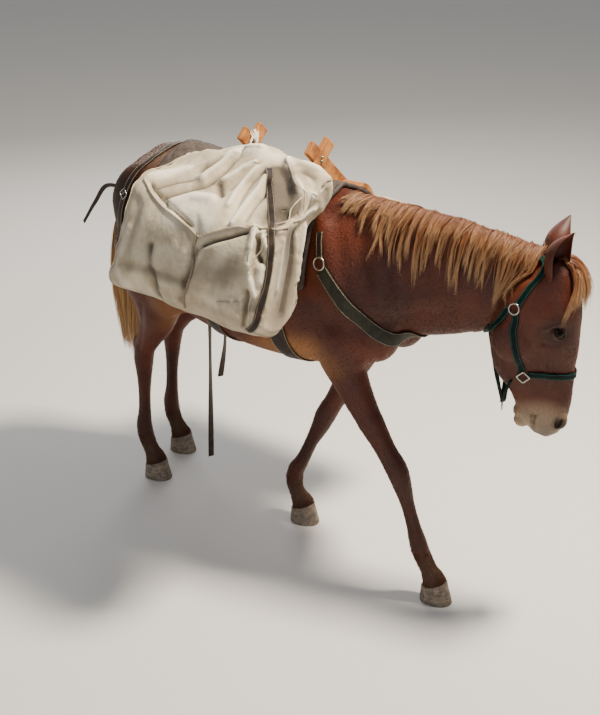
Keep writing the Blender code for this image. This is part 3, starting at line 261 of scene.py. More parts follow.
def interpolate(rows: Sequence, step: float) -> np.ndarray:
    """Read rows from a smooth curve through the given ones.

    Args:
        rows: Numbers that start with x, y and z.
        step: Rough distance between the rows returned.

    Returns:
        Rows about one step apart.
    """
    rows = np.asarray(rows, dtype=float)
    chords = np.linalg.norm(np.diff(rows[:, :3], axis=0), axis=1)
    knots = np.concatenate(([0.0], np.cumsum(chords)))
    slopes = np.gradient(rows, knots, axis=0)
    count = max(2, round(knots[-1] / step)) + 1
    places = np.linspace(0.0, knots[-1], count)
    span = np.clip(np.searchsorted(knots, places, side="right") - 1, 0, len(rows) - 2)
    width = (knots[span + 1] - knots[span])[:, None]
    part = (places - knots[span])[:, None] / width
    square = part * part
    cube = square * part
    return (
        (2 * cube - 3 * square + 1) * rows[span]
        + (cube - 2 * square + part) * width * slopes[span]
        + (3 * square - 2 * cube) * rows[span + 1]
        + (cube - square) * width * slopes[span + 1]
    )


def tube_faces(rings: int, around: int, closed: bool = True) -> list[tuple]:
    """Faces of a skin through rings of vertices that are numbered ring by ring.

    Args:
        rings: Number of rings.
        around: Vertices in each.
        closed: Whether the two ends get caps.

    Returns:
        Vertex numbers of each face.
    """
    faces = []
    for ring in range(rings - 1):
        for index in range(around):
            after = (index + 1) % around
            faces.append((ring * around + index, ring * around + after,
                          (ring + 1) * around + after, (ring + 1) * around + index))
    if closed:
        faces.append(tuple(range(around))[::-1])
        faces.append(tuple((rings - 1) * around + index for index in range(around)))
    return faces


def loft(name: str, stations: Sequence, lead: Vector, sides: int = 20, step: float = 0.03,
         power: float = 2.0) -> bpy.types.Object:
    """Skin through stations along a limb.

    Args:
        name: Name of the object.
        stations: x, y, z, reach along lead, reach against it, half width.
        lead: Direction that the first reach follows.
        sides: Vertices round the limb.
        step: Distance between rings.
        power: Two gives an ellipse, and more a squarer section.

    Returns:
        The closed skin.
    """
    rows = interpolate(stations, step)
    tangents = np.gradient(rows[:, :3], axis=0)
    angles = 2 * math.pi * np.arange(sides) / sides
    out = np.sign(np.cos(angles)) * np.abs(np.cos(angles)) ** (2 / power)
    spread = np.sign(np.sin(angles)) * np.abs(np.sin(angles)) ** (2 / power)
    verts = []
    for row, tangent in zip(rows, tangents):
        along = Vector(tangent).normalized()
        ahead = (lead - along * lead.dot(along)).normalized()
        across = along.cross(ahead)
        reach = np.where(out > 0, row[3], row[4]) * out
        verts.append(row[:3] + reach[:, None] * np.array(ahead)
                     + (spread * row[5])[:, None] * np.array(across))
    obj = mesh_object(name, np.concatenate(verts), tube_faces(len(rows), sides))
    return face_outwards(obj)


def ball(place: Vector, radii: Sequence[float], turn: Matrix = Matrix.Identity(3),
         detail: int = 3) -> bpy.types.Object:
    """Ellipsoid about a place, turned by a rotation matrix."""
    bm = bmesh.new()
    bmesh.ops.create_icosphere(bm, subdivisions=detail, radius=1.0)
    bm.transform(Matrix.Translation(place) @ turn.to_4x4() @ Matrix.Diagonal((*radii, 1.0)))
    mesh = bpy.data.meshes.new("Ball")
    bm.to_mesh(mesh)
    bm.free()
    obj = bpy.data.objects.new("Ball", mesh)
    bpy.context.scene.collection.objects.link(obj)
    return obj


def melt(pieces: Sequence[bpy.types.Object], name: str, voxel: float, rounds: int):
    """Melt overlapping pieces into one smooth skin."""
    obj = join(pieces, name)
    remesh = obj.modifiers.new("Remesh", "REMESH")
    remesh.mode = "VOXEL"
    remesh.voxel_size = voxel
    smooth = obj.modifiers.new("Smooth", "SMOOTH")
    smooth.factor = 0.5
    smooth.iterations = rounds
    return bake(obj)


@dataclass
class Workshop:
    shift: Vector
    count: int = 0
    triangles: int = 0

    @classmethod
    def from_frame(cls) -> "Workshop":
        """Find the shift from the CAD source's places by the front cross of the saddle."""
        low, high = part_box("saddle_cross_front")
        middle = (Vector(low) + Vector(high)) / 2
        return cls(Vector((middle.x - CROSS_FRONT.x, middle.y - CROSS_FRONT.y, 0.0)))

    def hand_in(self, obj: bpy.types.Object, finish: "Finish", slot: str,
                *nodes: str) -> bpy.types.Object:
        """Dress a piece, move it to the frame and ride it on the one body.

        Args:
            obj: The finished piece, at the origin.
            finish: What it is covered with.
            slot: Material slot of the record. Not used.
            nodes: CAD nodes that it stands for.

        Returns:
            The same object.
        """
        obj.data.materials.clear()
        obj.data.materials.append(finish.material(self.shift))
        obj.data.transform(Matrix.Translation(self.shift))
        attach(obj, "root")
        if nodes:
            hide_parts(*nodes)
        triangles = sum(len(face.vertices) - 2 for face in obj.data.polygons)
        self.count += 1
        self.triangles += triangles
        log.info("%s: %d triangles, %s", obj.name, triangles, finish.name)
        return obj


# Finishes


@dataclass(frozen=True)
class Finish:
    """A surface finish that paints its own material once."""

    name: str

    def material(self, shift: Vector) -> bpy.types.Material:
        """The finish's material, painted on the first call.

        Args:
            shift: From the places of this file to the frame.

        Returns:
            The material.
        """
        made = bpy.data.materials.get(self.name)
        if made is None:
            made = bpy.data.materials.new(self.name)
            made.use_nodes = True
            shader = made.node_tree.nodes["Principled BSDF"]
            self.paint(made.node_tree, shader, shift)
        return made

    def paint(self, tree: bpy.types.NodeTree, shader: bpy.types.Node, shift: Vector) -> None:
        """Build the material's nodes."""
        raise NotImplementedError


def mottle(tree: bpy.types.NodeTree, coords, size: float, low: str, high: str, detail: float = 4.0,
           span: tuple[float, float] = (0.35, 0.65), stretch: Sequence[float] = (1, 1, 1)):
    """Patches of two colours of a given real size.

    Args:
        tree: The material's tree.
        coords: Socket of the coordinates, in metres.
        size: Size of a patch in metres.
        low: Hex colour where the noise is low.
        high: Hex colour where it is high.
        detail: Octaves of the noise.
        span: Noise values at which the two colours are full.
        stretch: Factors on the size along each axis.

    Returns:
        Sockets of the colour and of the mixing factor.
    """
    scaled = add_node(tree, "ShaderNodeMapping", {"Vector": coords,
                      "Scale": [1 / (size * factor) for factor in stretch]})
    noise = add_node(tree, "ShaderNodeTexNoise", {"Vector": scaled.outputs["Vector"],
                     "Scale": 1.0, "Detail": detail, "Roughness": 0.55})
    factor = add_node(tree, "ShaderNodeMapRange", {"Value": noise.outputs["Fac"],
                      "From Min": span[0], "From Max": span[1]}, interpolation_type="SMOOTHSTEP")
    mixed = add_node(tree, "ShaderNodeMix", {0: factor.outputs["Result"], 6: linear(low),
                     7: linear(high)}, data_type="RGBA")
    return mixed.outputs[2], factor.outputs["Result"]


def overlay(tree: bpy.types.NodeTree, below, above, factor, blend: str = "MIX"):
    """Lay one colour over another.

    Args:
        tree: The material's tree.
        below: Socket of the colour underneath.
        above: Socket or hex code of the colour on top.
        factor: Socket or number, how much of it shows.
        blend: Blender's blend type.

    Returns:
        Socket of the mixed colour.
    """
    top = linear(above) if isinstance(above, str) else above
    mixed = add_node(tree, "ShaderNodeMix", {0: factor, 6: below, 7: top}, data_type="RGBA",
                     blend_type=blend)
    return mixed.outputs[2]


def zone(tree: bpy.types.NodeTree, coords, place: Vector, radii: Sequence[float],
         soft: float = 0.5):
    """Factor that is one inside an ellipsoid and falls to nothing outside it.

    Args:
        tree: The material's tree.
        coords: Socket of the coordinates, in metres.
        place: Middle of the ellipsoid in the frame.
        radii: Its three radii.
        soft: Share of the radii over which it fades, either way.

    Returns:
        Socket of the factor.
    """
    away = add_node(tree, "ShaderNodeVectorMath", {0: coords, 1: tuple(place)},
                    operation="SUBTRACT")
    scaled = add_node(tree, "ShaderNodeVectorMath", {0: away.outputs[0], 1: tuple(radii)},
                      operation="DIVIDE")
    length = add_node(tree, "ShaderNodeVectorMath", {0: scaled.outputs[0]}, operation="LENGTH")
    inside = add_node(tree, "ShaderNodeMapRange", {"Value": length.outputs["Value"],
                      "From Min": 1 + soft, "From Max": 1 - soft},
                      interpolation_type="SMOOTHSTEP")
    return inside.outputs["Result"]


def bumps(tree: bpy.types.NodeTree, layers: Sequence[tuple], shader: bpy.types.Node) -> None:
    """Chain bump layers into a shader.

    Args:
        tree: The material's tree.
        layers: Height socket, strength and distance in metres of each layer.
        shader: The shader that takes the last normal.
    """
    normal = None
    for height, strength, distance in layers:
        links = {"Height": height, "Strength": strength, "Distance": distance}
        if normal is not None:
            links["Normal"] = normal
        normal = add_node(tree, "ShaderNodeBump", links).outputs["Normal"]
    tree.links.new(normal, shader.inputs["Normal"])


@dataclass(frozen=True)
class CoatFinish(Finish):
    """Short summer coat of a chestnut animal: fine hair lying flat, with a soft silky sheen."""

    chestnut: str = "#5E260E"
    ruddy: str = "#421608"
    liver: str = "#200C06"
    golden: str = "#B07C48"
    mealy: str = "#A58F74"
    grey: str = "#5C5149"
    dust: str = "#8C7460"

    def paint(self, tree: bpy.types.NodeTree, shader: bpy.types.Node, shift: Vector) -> None:
        """Build the material's nodes."""
        coords = add_node(tree, "ShaderNodeTexCoord").outputs["Object"]
        base, _ = mottle(tree, coords, 0.22, self.ruddy, self.chestnut, 3.0)
        colour = self.markings(tree, coords, base, shift)
        hair = self.streaks(tree, coords)
        colour = overlay(tree, colour, self.liver, self.scaled(tree, hair, 0.22))
        tone = add_node(tree, "ShaderNodeAttribute", attribute_name="tone").outputs["Fac"]
        colour = overlay(tree, colour, self.golden, self.scaled(tree, tone, 0.12))
        tree.links.new(colour, shader.inputs["Base Color"])
        shader.inputs["Roughness"].default_value = 0.52
        shader.inputs["Specular IOR Level"].default_value = 0.35
        shader.inputs["Sheen Weight"].default_value = 0.08
        shader.inputs["Sheen Roughness"].default_value = 0.45
        shader.inputs["Sheen Tint"].default_value = linear("#C98C5E")
        wave, _ = mottle(tree, coords, 0.018, "#000000", "#FFFFFF", 2.0)
        bumps(tree, [(wave, 0.06, 1.5 * MM), (hair, 0.25, 0.6 * MM)], shader)

    @staticmethod
    def scaled(tree: bpy.types.NodeTree, factor, share: float):
        """Socket of a factor times a share."""
        return add_node(tree, "ShaderNodeMath", {0: factor, 1: share},
                        operation="MULTIPLY").outputs[0]

    @staticmethod
    def streaks(tree: bpy.types.NodeTree, coords):
        """Hair streaks of about 1.5 mm, drawn coarser than hairs so that they show.

        They run level on the trunk and upright on the head and legs, as the attribute says.
        """
        kinds = []
        for stretch in ((14, 1, 3), (1, 1, 14)):
            kinds.append(mottle(tree, coords, 1.6 * MM, "#000000", "#FFFFFF", 2.0,
                                (0.3, 0.7), stretch)[0])
        upright = add_node(tree, "ShaderNodeAttribute", attribute_name="upright").outputs["Fac"]
        return overlay(tree, kinds[0], kinds[1], upright)

    def markings(self, tree: bpy.types.NodeTree, coords, base, shift: Vector):
        """Lay the coat's markings, with the painted shade among them, over its ground colour.

        Args:
            tree: The material's tree.
            coords: Socket of the coordinates.
            base: Socket of the ground colour.
            shift: From the places of this file to the frame.

        Returns:
            Socket of the colour.
        """
        colour = base
        for mark in COAT_MARKS:
            factor = zone(tree, coords, Vector(mark.place) + shift, mark.radii, mark.soft)
            hex_code = getattr(self, mark.colour)
            colour = overlay(tree, colour, hex_code, self.scaled(tree, factor, mark.share))
        return colour


@dataclass(frozen=True)
class Mark:
    """One soft marking of the coat, or a soft painted shade: place, radii, colour name, share and
    softness.
    """

    place: tuple[float, float, float]
    radii: tuple[float, float, float]
    colour: str
    share: float
    soft: float = 0.5


@dataclass(frozen=True)
class HairFinish(Finish):
    """Long coarse horse hair: darker at the root, faded by the sun towards the tips."""

    root: str
    middle: str
    tip: str

    def paint(self, tree: bpy.types.NodeTree, shader: bpy.types.Node, shift: Vector) -> None:
        """Build the material's nodes."""
        along = add_node(tree, "ShaderNodeAttribute", attribute_name="along").outputs["Fac"]
        tone = add_node(tree, "ShaderNodeAttribute", attribute_name="tone").outputs["Fac"]
        spread = add_node(tree, "ShaderNodeMath", {0: tone, 1: 0.35, 2: -0.17},
                          operation="MULTIPLY_ADD").outputs[0]
        place = add_node(tree, "ShaderNodeMath", {0: along, 1: spread}, operation="ADD")
        ramp = add_node(tree, "ShaderNodeValToRGB", {0: place.outputs[0]})
        ramp.color_ramp.interpolation = "B_SPLINE"
        ramp.color_ramp.elements[0].color = linear(self.root)
        ramp.color_ramp.elements[1].color = linear(self.tip)
        ramp.color_ramp.elements.new(0.42).color = linear(self.middle)
        tree.links.new(ramp.outputs["Color"], shader.inputs["Base Color"])
        shader.inputs["Roughness"].default_value = 0.42
        shader.inputs["Specular IOR Level"].default_value = 0.5
        coords = add_node(tree, "ShaderNodeTexCoord").outputs["Object"]
        fine, _ = mottle(tree, coords, 1.2 * MM, "#000000", "#FFFFFF", 2.0)
        bumps(tree, [(fine, 0.3, 0.4 * MM)], shader)


@dataclass(frozen=True)
class HornFinish(Finish):
    """Hoof horn: keratin with fine upright grain and growth rings, dusty and worn at the toe."""

    dark: str = "#3B332C"
    pale: str = "#8B7D6B"

    def paint(self, tree: bpy.types.NodeTree, shader: bpy.types.Node, shift: Vector) -> None:
        """Build the material's nodes."""
        coords = add_node(tree, "ShaderNodeTexCoord").outputs["Object"]
        grain, heights = mottle(tree, coords, 2.2 * MM, self.dark, self.pale, 3.0,
                                (0.3, 0.75), (1, 1, 16))
        rings, level = mottle(tree, coords, 6 * MM, self.dark, self.pale, 1.0,
                              (0.3, 0.7), (30, 30, 1))
        colour = overlay(tree, grain, rings, 0.4)
        dust, spots = mottle(tree, coords, 18 * MM, "#6A5B4A", "#A39078", 4.0)
        colour = overlay(tree, colour, dust, CoatFinish.scaled(tree, spots, 0.45))
        tree.links.new(colour, shader.inputs["Base Color"])
        shader.inputs["Roughness"].default_value = 0.62
        bumps(tree, [(level, 0.3, 0.8 * MM), (heights, 0.3, 0.4 * MM)], shader)


@dataclass(frozen=True)
class EyeFinish(Finish):
    """Wet eye: clear cornea over a dark brown iris with a level oval pupil."""

    iris: str = "#2B150A"
    rim: str = "#0E0603"

    def paint(self, tree: bpy.types.NodeTree, shader: bpy.types.Node, shift: Vector) -> None:
        """Build the material's nodes from the ball's own UV map."""
        uv = add_node(tree, "ShaderNodeUVMap", uv_map="EyeUV").outputs["UV"]
        fibres = add_node(tree, "ShaderNodeTexNoise", {"Vector": uv, "Scale": 18.0,
                          "Detail": 4.0}).outputs["Fac"]
        iris = add_node(tree, "ShaderNodeMix", {0: fibres, 6: linear(self.rim),
                        7: linear(self.iris)}, data_type="RGBA").outputs[2]
        pupil = zone(tree, uv, Vector((0, 0, 0)), (0.60, 0.36, 1.0), 0.20)
        colour = overlay(tree, iris, "#020202", pupil)
        border = zone(tree, uv, Vector((0, 0, 0)), (0.78, 0.74, 1.0), 0.10)
        rim = add_node(tree, "ShaderNodeMix", {0: border, 6: linear(self.rim), 7: colour},
                       data_type="RGBA")
        colour = rim.outputs[2]
        tree.links.new(colour, shader.inputs["Base Color"])
        shader.inputs["Roughness"].default_value = 0.12
        shader.inputs["IOR"].default_value = 1.376
        shader.inputs["Specular IOR Level"].default_value = 0.16


@dataclass(frozen=True)
class CanvasFinish(Finish):
    """Undyed cotton duck: plain weave with a painted highlight on its ridges and top and a painted shade
    in its grooves and hollows, dusty and stained lower down.
    """

    clean: str = "#D3C5A8"
    worn: str = "#A99A7F"
    stain: str = "#7C6C55"
    # Painted highlight for ridges and bright patches, painted shade for grooves and shaded patches
    painted_highlight: str = "#F3EAD6"
    soiled: str = "#4A4034"

    def paint(self, tree: bpy.types.NodeTree, shader: bpy.types.Node, shift: Vector) -> None:
        """Build the material's nodes."""
        coords = add_node(tree, "ShaderNodeTexCoord").outputs["Object"]
        colour, _ = mottle(tree, coords, 0.11, self.worn, self.clean, 5.0, (0.36, 0.66))
        _, spots = mottle(tree, coords, 0.05, self.worn, self.stain, 6.0, (0.56, 0.80))
        colour = overlay(tree, colour, self.stain, CoatFinish.scaled(tree, spots, 0.42))
        low = zone(tree, coords, Vector((0.10, 0.0, 1.02)) + shift, (0.75, 0.90, 0.13), 0.6)
        colour = overlay(tree, colour, self.stain, CoatFinish.scaled(tree, low, 0.45))
        # Painted light from the fold attribute: a painted highlight up the ridges, a painted shade down
        # the grooves and over shaded patches
        fold = add_node(tree, "ShaderNodeAttribute", attribute_name="fold").outputs["Fac"]
        for reach, hex_code, share in ((1.0, self.painted_highlight, 0.85), (-1.0, self.soiled, 0.92)):
            part = add_node(tree, "ShaderNodeMapRange", {"Value": fold, "From Min": 0.10 * reach,
                            "From Max": 0.9 * reach}).outputs["Result"]
            colour = overlay(tree, colour, hex_code, CoatFinish.scaled(tree, part, share))
        # Threads are 0.8 mm apart on the real cloth and are drawn at 2.4 mm so that they show
        weave = None
        for axis in ("X", "Y", "Z"):
            wave = add_node(tree, "ShaderNodeTexWave", {"Vector": coords, "Scale": 66.0,
                            "Distortion": 0.6, "Detail": 1.0, "Detail Scale": 2.0},
                            bands_direction=axis).outputs["Fac"]
            weave = wave if weave is None else add_node(
                tree, "ShaderNodeMath", {0: weave, 1: wave}, operation="MULTIPLY").outputs[0]
        colour = overlay(tree, colour, self.stain, CoatFinish.scaled(tree, weave, 0.10))
        tree.links.new(colour, shader.inputs["Base Color"])
        shader.inputs["Roughness"].default_value = 0.90
        shader.inputs["Sheen Weight"].default_value = 0.10
        _, creases = mottle(tree, coords, 0.030, self.worn, self.clean, 3.0, (0.3, 0.7))
        bumps(tree, [(creases, 0.35, 3.0 * MM), (weave, 0.35, 0.5 * MM)], shader)


@dataclass(frozen=True)
class StrapFinish(Finish):
    """Strap seen along its own map in metres: leather with worn edges, or woven webbing."""

    dark: str
    light: str
    edge: str
    thread: float
    roughness: float
    gloss: float = 0.30

    def paint(self, tree: bpy.types.NodeTree, shader: bpy.types.Node, shift: Vector) -> None:
        """Build the material's nodes. A thread of 0 stands for leather grain of about 1 mm."""
        uv = add_node(tree, "ShaderNodeUVMap", uv_map="StrapUV").outputs["UV"]
        coords = add_node(tree, "ShaderNodeTexCoord").outputs["Object"]
        colour, spots = mottle(tree, coords, 0.025, self.dark, self.light, 5.0, (0.35, 0.70))
        across = add_node(tree, "ShaderNodeSeparateXYZ", {0: uv}).outputs["Y"]
        away = add_node(tree, "ShaderNodeMath", {0: across}, operation="ABSOLUTE").outputs[0]
        rim = add_node(tree, "ShaderNodeMapRange", {"Value": away, "From Max": 1.0,
                       "From Min": 0.86}).outputs["Result"]
        colour = overlay(tree, colour, self.edge, CoatFinish.scaled(tree, rim, 0.3))
        if self.thread:
            rows = [add_node(tree, "ShaderNodeTexWave", {"Vector": uv, "Scale": scale},
                             bands_direction=axis).outputs["Fac"]
                    for axis, scale in (("X", 0.314 / self.thread), ("Y", 2.2))]
            grain = add_node(tree, "ShaderNodeMath", {0: rows[0], 1: rows[1]},
                             operation="MULTIPLY").outputs[0]
            colour = overlay(tree, colour, self.edge, CoatFinish.scaled(tree, grain, 0.30))
        else:
            grain = add_node(tree, "ShaderNodeTexVoronoi", {"Vector": coords,
                             "Scale": 1 / (1.4 * MM)}).outputs["Distance"]
        tree.links.new(colour, shader.inputs["Base Color"])
        shader.inputs["Roughness"].default_value = self.roughness
        shader.inputs["Specular IOR Level"].default_value = self.gloss
        bumps(tree, [(spots, 0.15, 1.0 * MM), (grain, 0.4, 0.4 * MM)], shader)


@dataclass(frozen=True)
class GrainFinish(Finish):
    """Worked wood, cloth or metal seen by two colours in long or round patches."""

    dark: str
    light: str
    size: float
    stretch: tuple = (1, 1, 1)
    roughness: float = 0.6
    metallic: float = 0.0
    relief: float = 0.4 * MM

    def paint(self, tree: bpy.types.NodeTree, shader: bpy.types.Node, shift: Vector) -> None:
        """Build the material's nodes."""
        coords = add_node(tree, "ShaderNodeTexCoord").outputs["Object"]
        colour, grain = mottle(tree, coords, self.size, self.dark, self.light, 5.0, (0.32, 0.68),
                               self.stretch)
        _, wear = mottle(tree, coords, self.size * 9, self.dark, self.light, 3.0, (0.45, 0.75))
        colour = overlay(tree, colour, self.dark, CoatFinish.scaled(tree, wear, 0.35))
        tree.links.new(colour, shader.inputs["Base Color"])
        rough = add_node(tree, "ShaderNodeMapRange", {"Value": wear,
                         "To Min": self.roughness - 0.08, "To Max": self.roughness + 0.10})
        tree.links.new(rough.outputs["Result"], shader.inputs["Roughness"])
        shader.inputs["Metallic"].default_value = self.metallic
        bumps(tree, [(wear, 0.15, self.relief * 2), (grain, 0.4, self.relief)], shader)


COAT = CoatFinish("Chestnut summer coat")
EYE = EyeFinish("Wet brown eye")
HORN = HornFinish("Hoof horn")
# Hair under the top locks: less faded by the sun, and darker still as a painted shade under them
MANE_UNDER = HairFinish("Ruddy under mane", "#2E1006", "#4A200C", "#6E3C1A")
MANE_HAIR = HairFinish("Sunbleached mane", "#54220F", "#8F5226", "#D8B182")
TAIL_HAIR = HairFinish("Flaxen tail", "#6B3C1C", "#A9713A", "#DDB47C")

CANVAS = CanvasFinish("Cotton duck canvas")
# Bridle leather, oiled and dusty, its cut edges rubbed paler
LEATHER = StrapFinish("Oiled harness leather", "#1F1510", "#35251C", "#5A4433", 0.0, 0.50)
COLLAR_LEATHER = StrapFinish("Weathered collar webbing", "#1D1D15", "#302F22", "#4A4735", 2.4 * MM,
                             0.72)
# Flat nylon webbing, doubled and sewn, with a soft shine on its ribs
WEBBING = StrapFinish("Teal nylon webbing", "#010F0D", "#031E1A", "#0B3029", 2.2 * MM, 0.60, 0.12)
STEEL = GrainFinish("Nickelled steel fittings", "#8D8A84", "#C9C6BF", 2 * MM, (1, 1, 1), 0.30, 1.0,
                    0.1 * MM)
# Planed pine with long upright grain, weathered orange-brown
PINE = GrainFinish("Weathered pine", "#8A4F22", "#C68644", 3 * MM, (1.0, 14, 14), 0.62)
FELT = GrainFinish("Wool felt pad", "#3A322D", "#5B5048", 5 * MM, (1, 1, 1), 0.95, 0.0, 1.2 * MM)
BINDING = GrainFinish("Pad binding", "#2B2320", "#483B34", 3 * MM, (1, 1, 1), 0.75)
GREY_ROPE = GrainFinish("Grey-brown hemp rope", "#6B5E4B", "#A08F74", 1.5 * MM, (1, 1, 3), 0.92)
WHITE_ROPE = GrainFinish("White cotton rope", "#CFC8B8", "#F0EBDF", 1.5 * MM, (1, 1, 3), 0.9)
WEBBING_THREAD = GrainFinish("Nylon thread", "#1C6259", "#2F8579", 1 * MM, (1, 1, 1), 0.6)
THREAD = GrainFinish("Waxed thread", "#A39A80", "#CFC7AE", 1 * MM, (1, 1, 1), 0.7)


# The animal's form


@dataclass(frozen=True)
class HeadFrame:
    """The head's own directions: it hangs straight down and turns to its left."""

    top: Vector = field(default_factory=lambda: Vector((1.318, 0.155, 1.312)))
    angle: float = math.radians(32)

    @property
    def turn(self) -> Matrix:
        """Rotation whose columns are the head's forward, left and up directions."""
        return Matrix.Rotation(self.angle, 3, "Z")

    @property
    def forward(self) -> Vector:
        """Direction that the face looks in."""
        return self.turn @ FORWARD

    def at(self, below: float, forward: float, left: float) -> Vector:
        """World place of a point given by its distances from the poll."""
        return self.top + self.turn @ Vector((forward, left, -below))

    def route(self, points: Sequence, side: Side = Side.FAR) -> list[Vector]:
        """World places of points given on one side of the head."""
        return [self.at(below, forward, side.value * left) for below, forward, left in points]

    def across(self, points: Sequence) -> list[Vector]:
        """A route given from the middle plane out, run from the near side to the far side."""
        return self.route(points, Side.NEAR)[::-1] + self.route(points)[1:]


@dataclass(frozen=True)
class Stroke:
    """A ridge, or a groove where rise is negative, along a few places."""

    places: tuple
    width: float
    rise: float


@dataclass
class Flesh:
    """The animal's own form, whole, from stations along each part and muscles laid over them."""

    head_frame: HeadFrame = field(default_factory=HeadFrame)
    coat_depth: float = 2.0 * MM
    body_voxel: float = 0.009
    head_voxel: float = 0.004
    # x, height of the back, height of the belly, half width
    trunk: tuple = (
        (-0.660, 1.190, 1.070, 0.045), (-0.630, 1.275, 0.990, 0.105),
        (-0.565, 1.360, 0.920, 0.165), (-0.475, 1.430, 0.880, 0.212),
        (-0.355, 1.468, 0.850, 0.248), (-0.220, 1.448, 0.815, 0.265),
        (-0.070, 1.405, 0.785, 0.275), (0.100, 1.385, 0.770, 0.283),
        (0.250, 1.400, 0.770, 0.268), (0.380, 1.440, 0.780, 0.238),
        (0.500, 1.440, 0.805, 0.208), (0.620, 1.380, 0.850, 0.180),
        (0.710, 1.260, 0.900, 0.145), (0.755, 1.150, 0.970, 0.085),
    )
    trunk_widest: float = 0.46
    # x, y, z, reach up, reach down, half width
    neck: tuple = (
        (0.420, 0.000, 1.200, 0.235, 0.250, 0.165), (0.600, 0.000, 1.215, 0.225, 0.262, 0.132),
        (0.800, 0.012, 1.225, 0.212, 0.240, 0.102), (0.980, 0.045, 1.235, 0.182, 0.195, 0.085),
        (1.110, 0.095, 1.250, 0.135, 0.150, 0.076), (1.200, 0.145, 1.262, 0.085, 0.125, 0.066),
    )
    # distance below the poll, reach of the face line, reach of the jaw line, half width
    head: tuple = (
        (-0.035, -0.090, -0.155, 0.050), (0.000, -0.048, -0.190, 0.072),
        (0.065, -0.014, -0.240, 0.092), (0.130, 0.000, -0.275, 0.103),
        (0.195, 0.000, -0.296, 0.098), (0.265, 0.000, -0.300, 0.084),
        (0.330, -0.002, -0.284, 0.070), (0.380, -0.004, -0.250, 0.061),
        (0.430, -0.006, -0.222, 0.055), (0.490, -0.010, -0.203, 0.053),
        (0.540, -0.022, -0.196, 0.055), (0.578, -0.044, -0.176, 0.048),
        (0.604, -0.075, -0.148, 0.030),
    )
    head_widest: float = 0.36
    # x, y, z, reach ahead, reach behind, half width, from the trunk to inside the hoof
    legs: dict = field(default_factory=lambda: {
        "fore_near": (
            (0.500, -0.130, 1.020, 0.120, 0.120, 0.075), (0.535, -0.142, 0.900, 0.098, 0.105, 0.070),
            (0.592, -0.142, 0.790, 0.076, 0.078, 0.056), (0.668, -0.135, 0.665, 0.055, 0.057, 0.046),
            (0.738, -0.126, 0.560, 0.043, 0.043, 0.037), (0.787, -0.118, 0.483, 0.045, 0.042, 0.041),
            (0.806, -0.115, 0.435, 0.039, 0.038, 0.035), (0.832, -0.111, 0.365, 0.028, 0.033, 0.025),
            (0.860, -0.107, 0.280, 0.028, 0.034, 0.025), (0.885, -0.103, 0.205, 0.033, 0.042, 0.033),
            (0.902, -0.100, 0.163, 0.031, 0.036, 0.030), (0.926, -0.098, 0.120, 0.030, 0.031, 0.030),
            (0.948, -0.096, 0.082, 0.040, 0.040, 0.042), (0.958, -0.095, 0.045, 0.042, 0.042, 0.044),
        ),
        "fore_far": (
            (0.490, 0.130, 1.020, 0.120, 0.120, 0.075), (0.475, 0.138, 0.900, 0.095, 0.100, 0.068),
            (0.442, 0.128, 0.790, 0.072, 0.075, 0.055), (0.388, 0.108, 0.665, 0.054, 0.055, 0.045),
            (0.336, 0.088, 0.555, 0.043, 0.042, 0.037), (0.298, 0.073, 0.478, 0.045, 0.042, 0.041),
            (0.280, 0.066, 0.430, 0.040, 0.037, 0.035), (0.252, 0.055, 0.360, 0.028, 0.033, 0.025),
            (0.217, 0.042, 0.270, 0.028, 0.034, 0.025), (0.182, 0.032, 0.190, 0.033, 0.042, 0.033),
            (0.180, 0.030, 0.155, 0.033, 0.035, 0.030), (0.198, 0.029, 0.115, 0.031, 0.030, 0.030),
            (0.222, 0.028, 0.082, 0.040, 0.040, 0.042), (0.234, 0.028, 0.045, 0.042, 0.042, 0.044),
        ),
        "hind_near": (
            (-0.430, -0.110, 1.220, 0.180, 0.140, 0.096), (-0.420, -0.130, 1.060, 0.178, 0.168, 0.106),
            (-0.405, -0.140, 0.940, 0.158, 0.160, 0.098), (-0.390, -0.138, 0.850, 0.118, 0.138, 0.080),
            (-0.412, -0.130, 0.760, 0.084, 0.092, 0.061), (-0.462, -0.121, 0.670, 0.054, 0.064, 0.046),
            (-0.502, -0.115, 0.600, 0.044, 0.054, 0.038), (-0.515, -0.112, 0.550, 0.044, 0.050, 0.039),
            (-0.519, -0.110, 0.495, 0.037, 0.042, 0.033), (-0.525, -0.107, 0.420, 0.029, 0.034, 0.027),
            (-0.536, -0.102, 0.300, 0.028, 0.034, 0.026), (-0.545, -0.098, 0.205, 0.034, 0.043, 0.034),
            (-0.536, -0.096, 0.162, 0.032, 0.037, 0.031), (-0.515, -0.095, 0.120, 0.031, 0.031, 0.030),
            (-0.495, -0.094, 0.084, 0.040, 0.040, 0.042), (-0.485, -0.094, 0.045, 0.042, 0.042, 0.044),
        ),
        "hind_far": (
            (-0.430, 0.110, 1.220, 0.180, 0.140, 0.096), (-0.430, 0.130, 1.060, 0.178, 0.168, 0.106),
            (-0.428, 0.143, 0.940, 0.158, 0.160, 0.098), (-0.425, 0.145, 0.850, 0.118, 0.138, 0.080),
            (-0.462, 0.142, 0.760, 0.084, 0.092, 0.061), (-0.528, 0.140, 0.670, 0.054, 0.064, 0.046),
            (-0.580, 0.140, 0.597, 0.044, 0.054, 0.038), (-0.596, 0.141, 0.547, 0.044, 0.050, 0.039),
            (-0.601, 0.142, 0.492, 0.037, 0.042, 0.033), (-0.608, 0.143, 0.417, 0.029, 0.034, 0.027),
            (-0.618, 0.145, 0.297, 0.028, 0.034, 0.026), (-0.626, 0.147, 0.197, 0.034, 0.043, 0.034),
            (-0.619, 0.147, 0.157, 0.033, 0.037, 0.031), (-0.600, 0.147, 0.118, 0.031, 0.031, 0.030),
            (-0.580, 0.147, 0.083, 0.040, 0.040, 0.042), (-0.570, 0.147, 0.045, 0.042, 0.042, 0.044),
        ),
    })
    upper_rows: int = 6
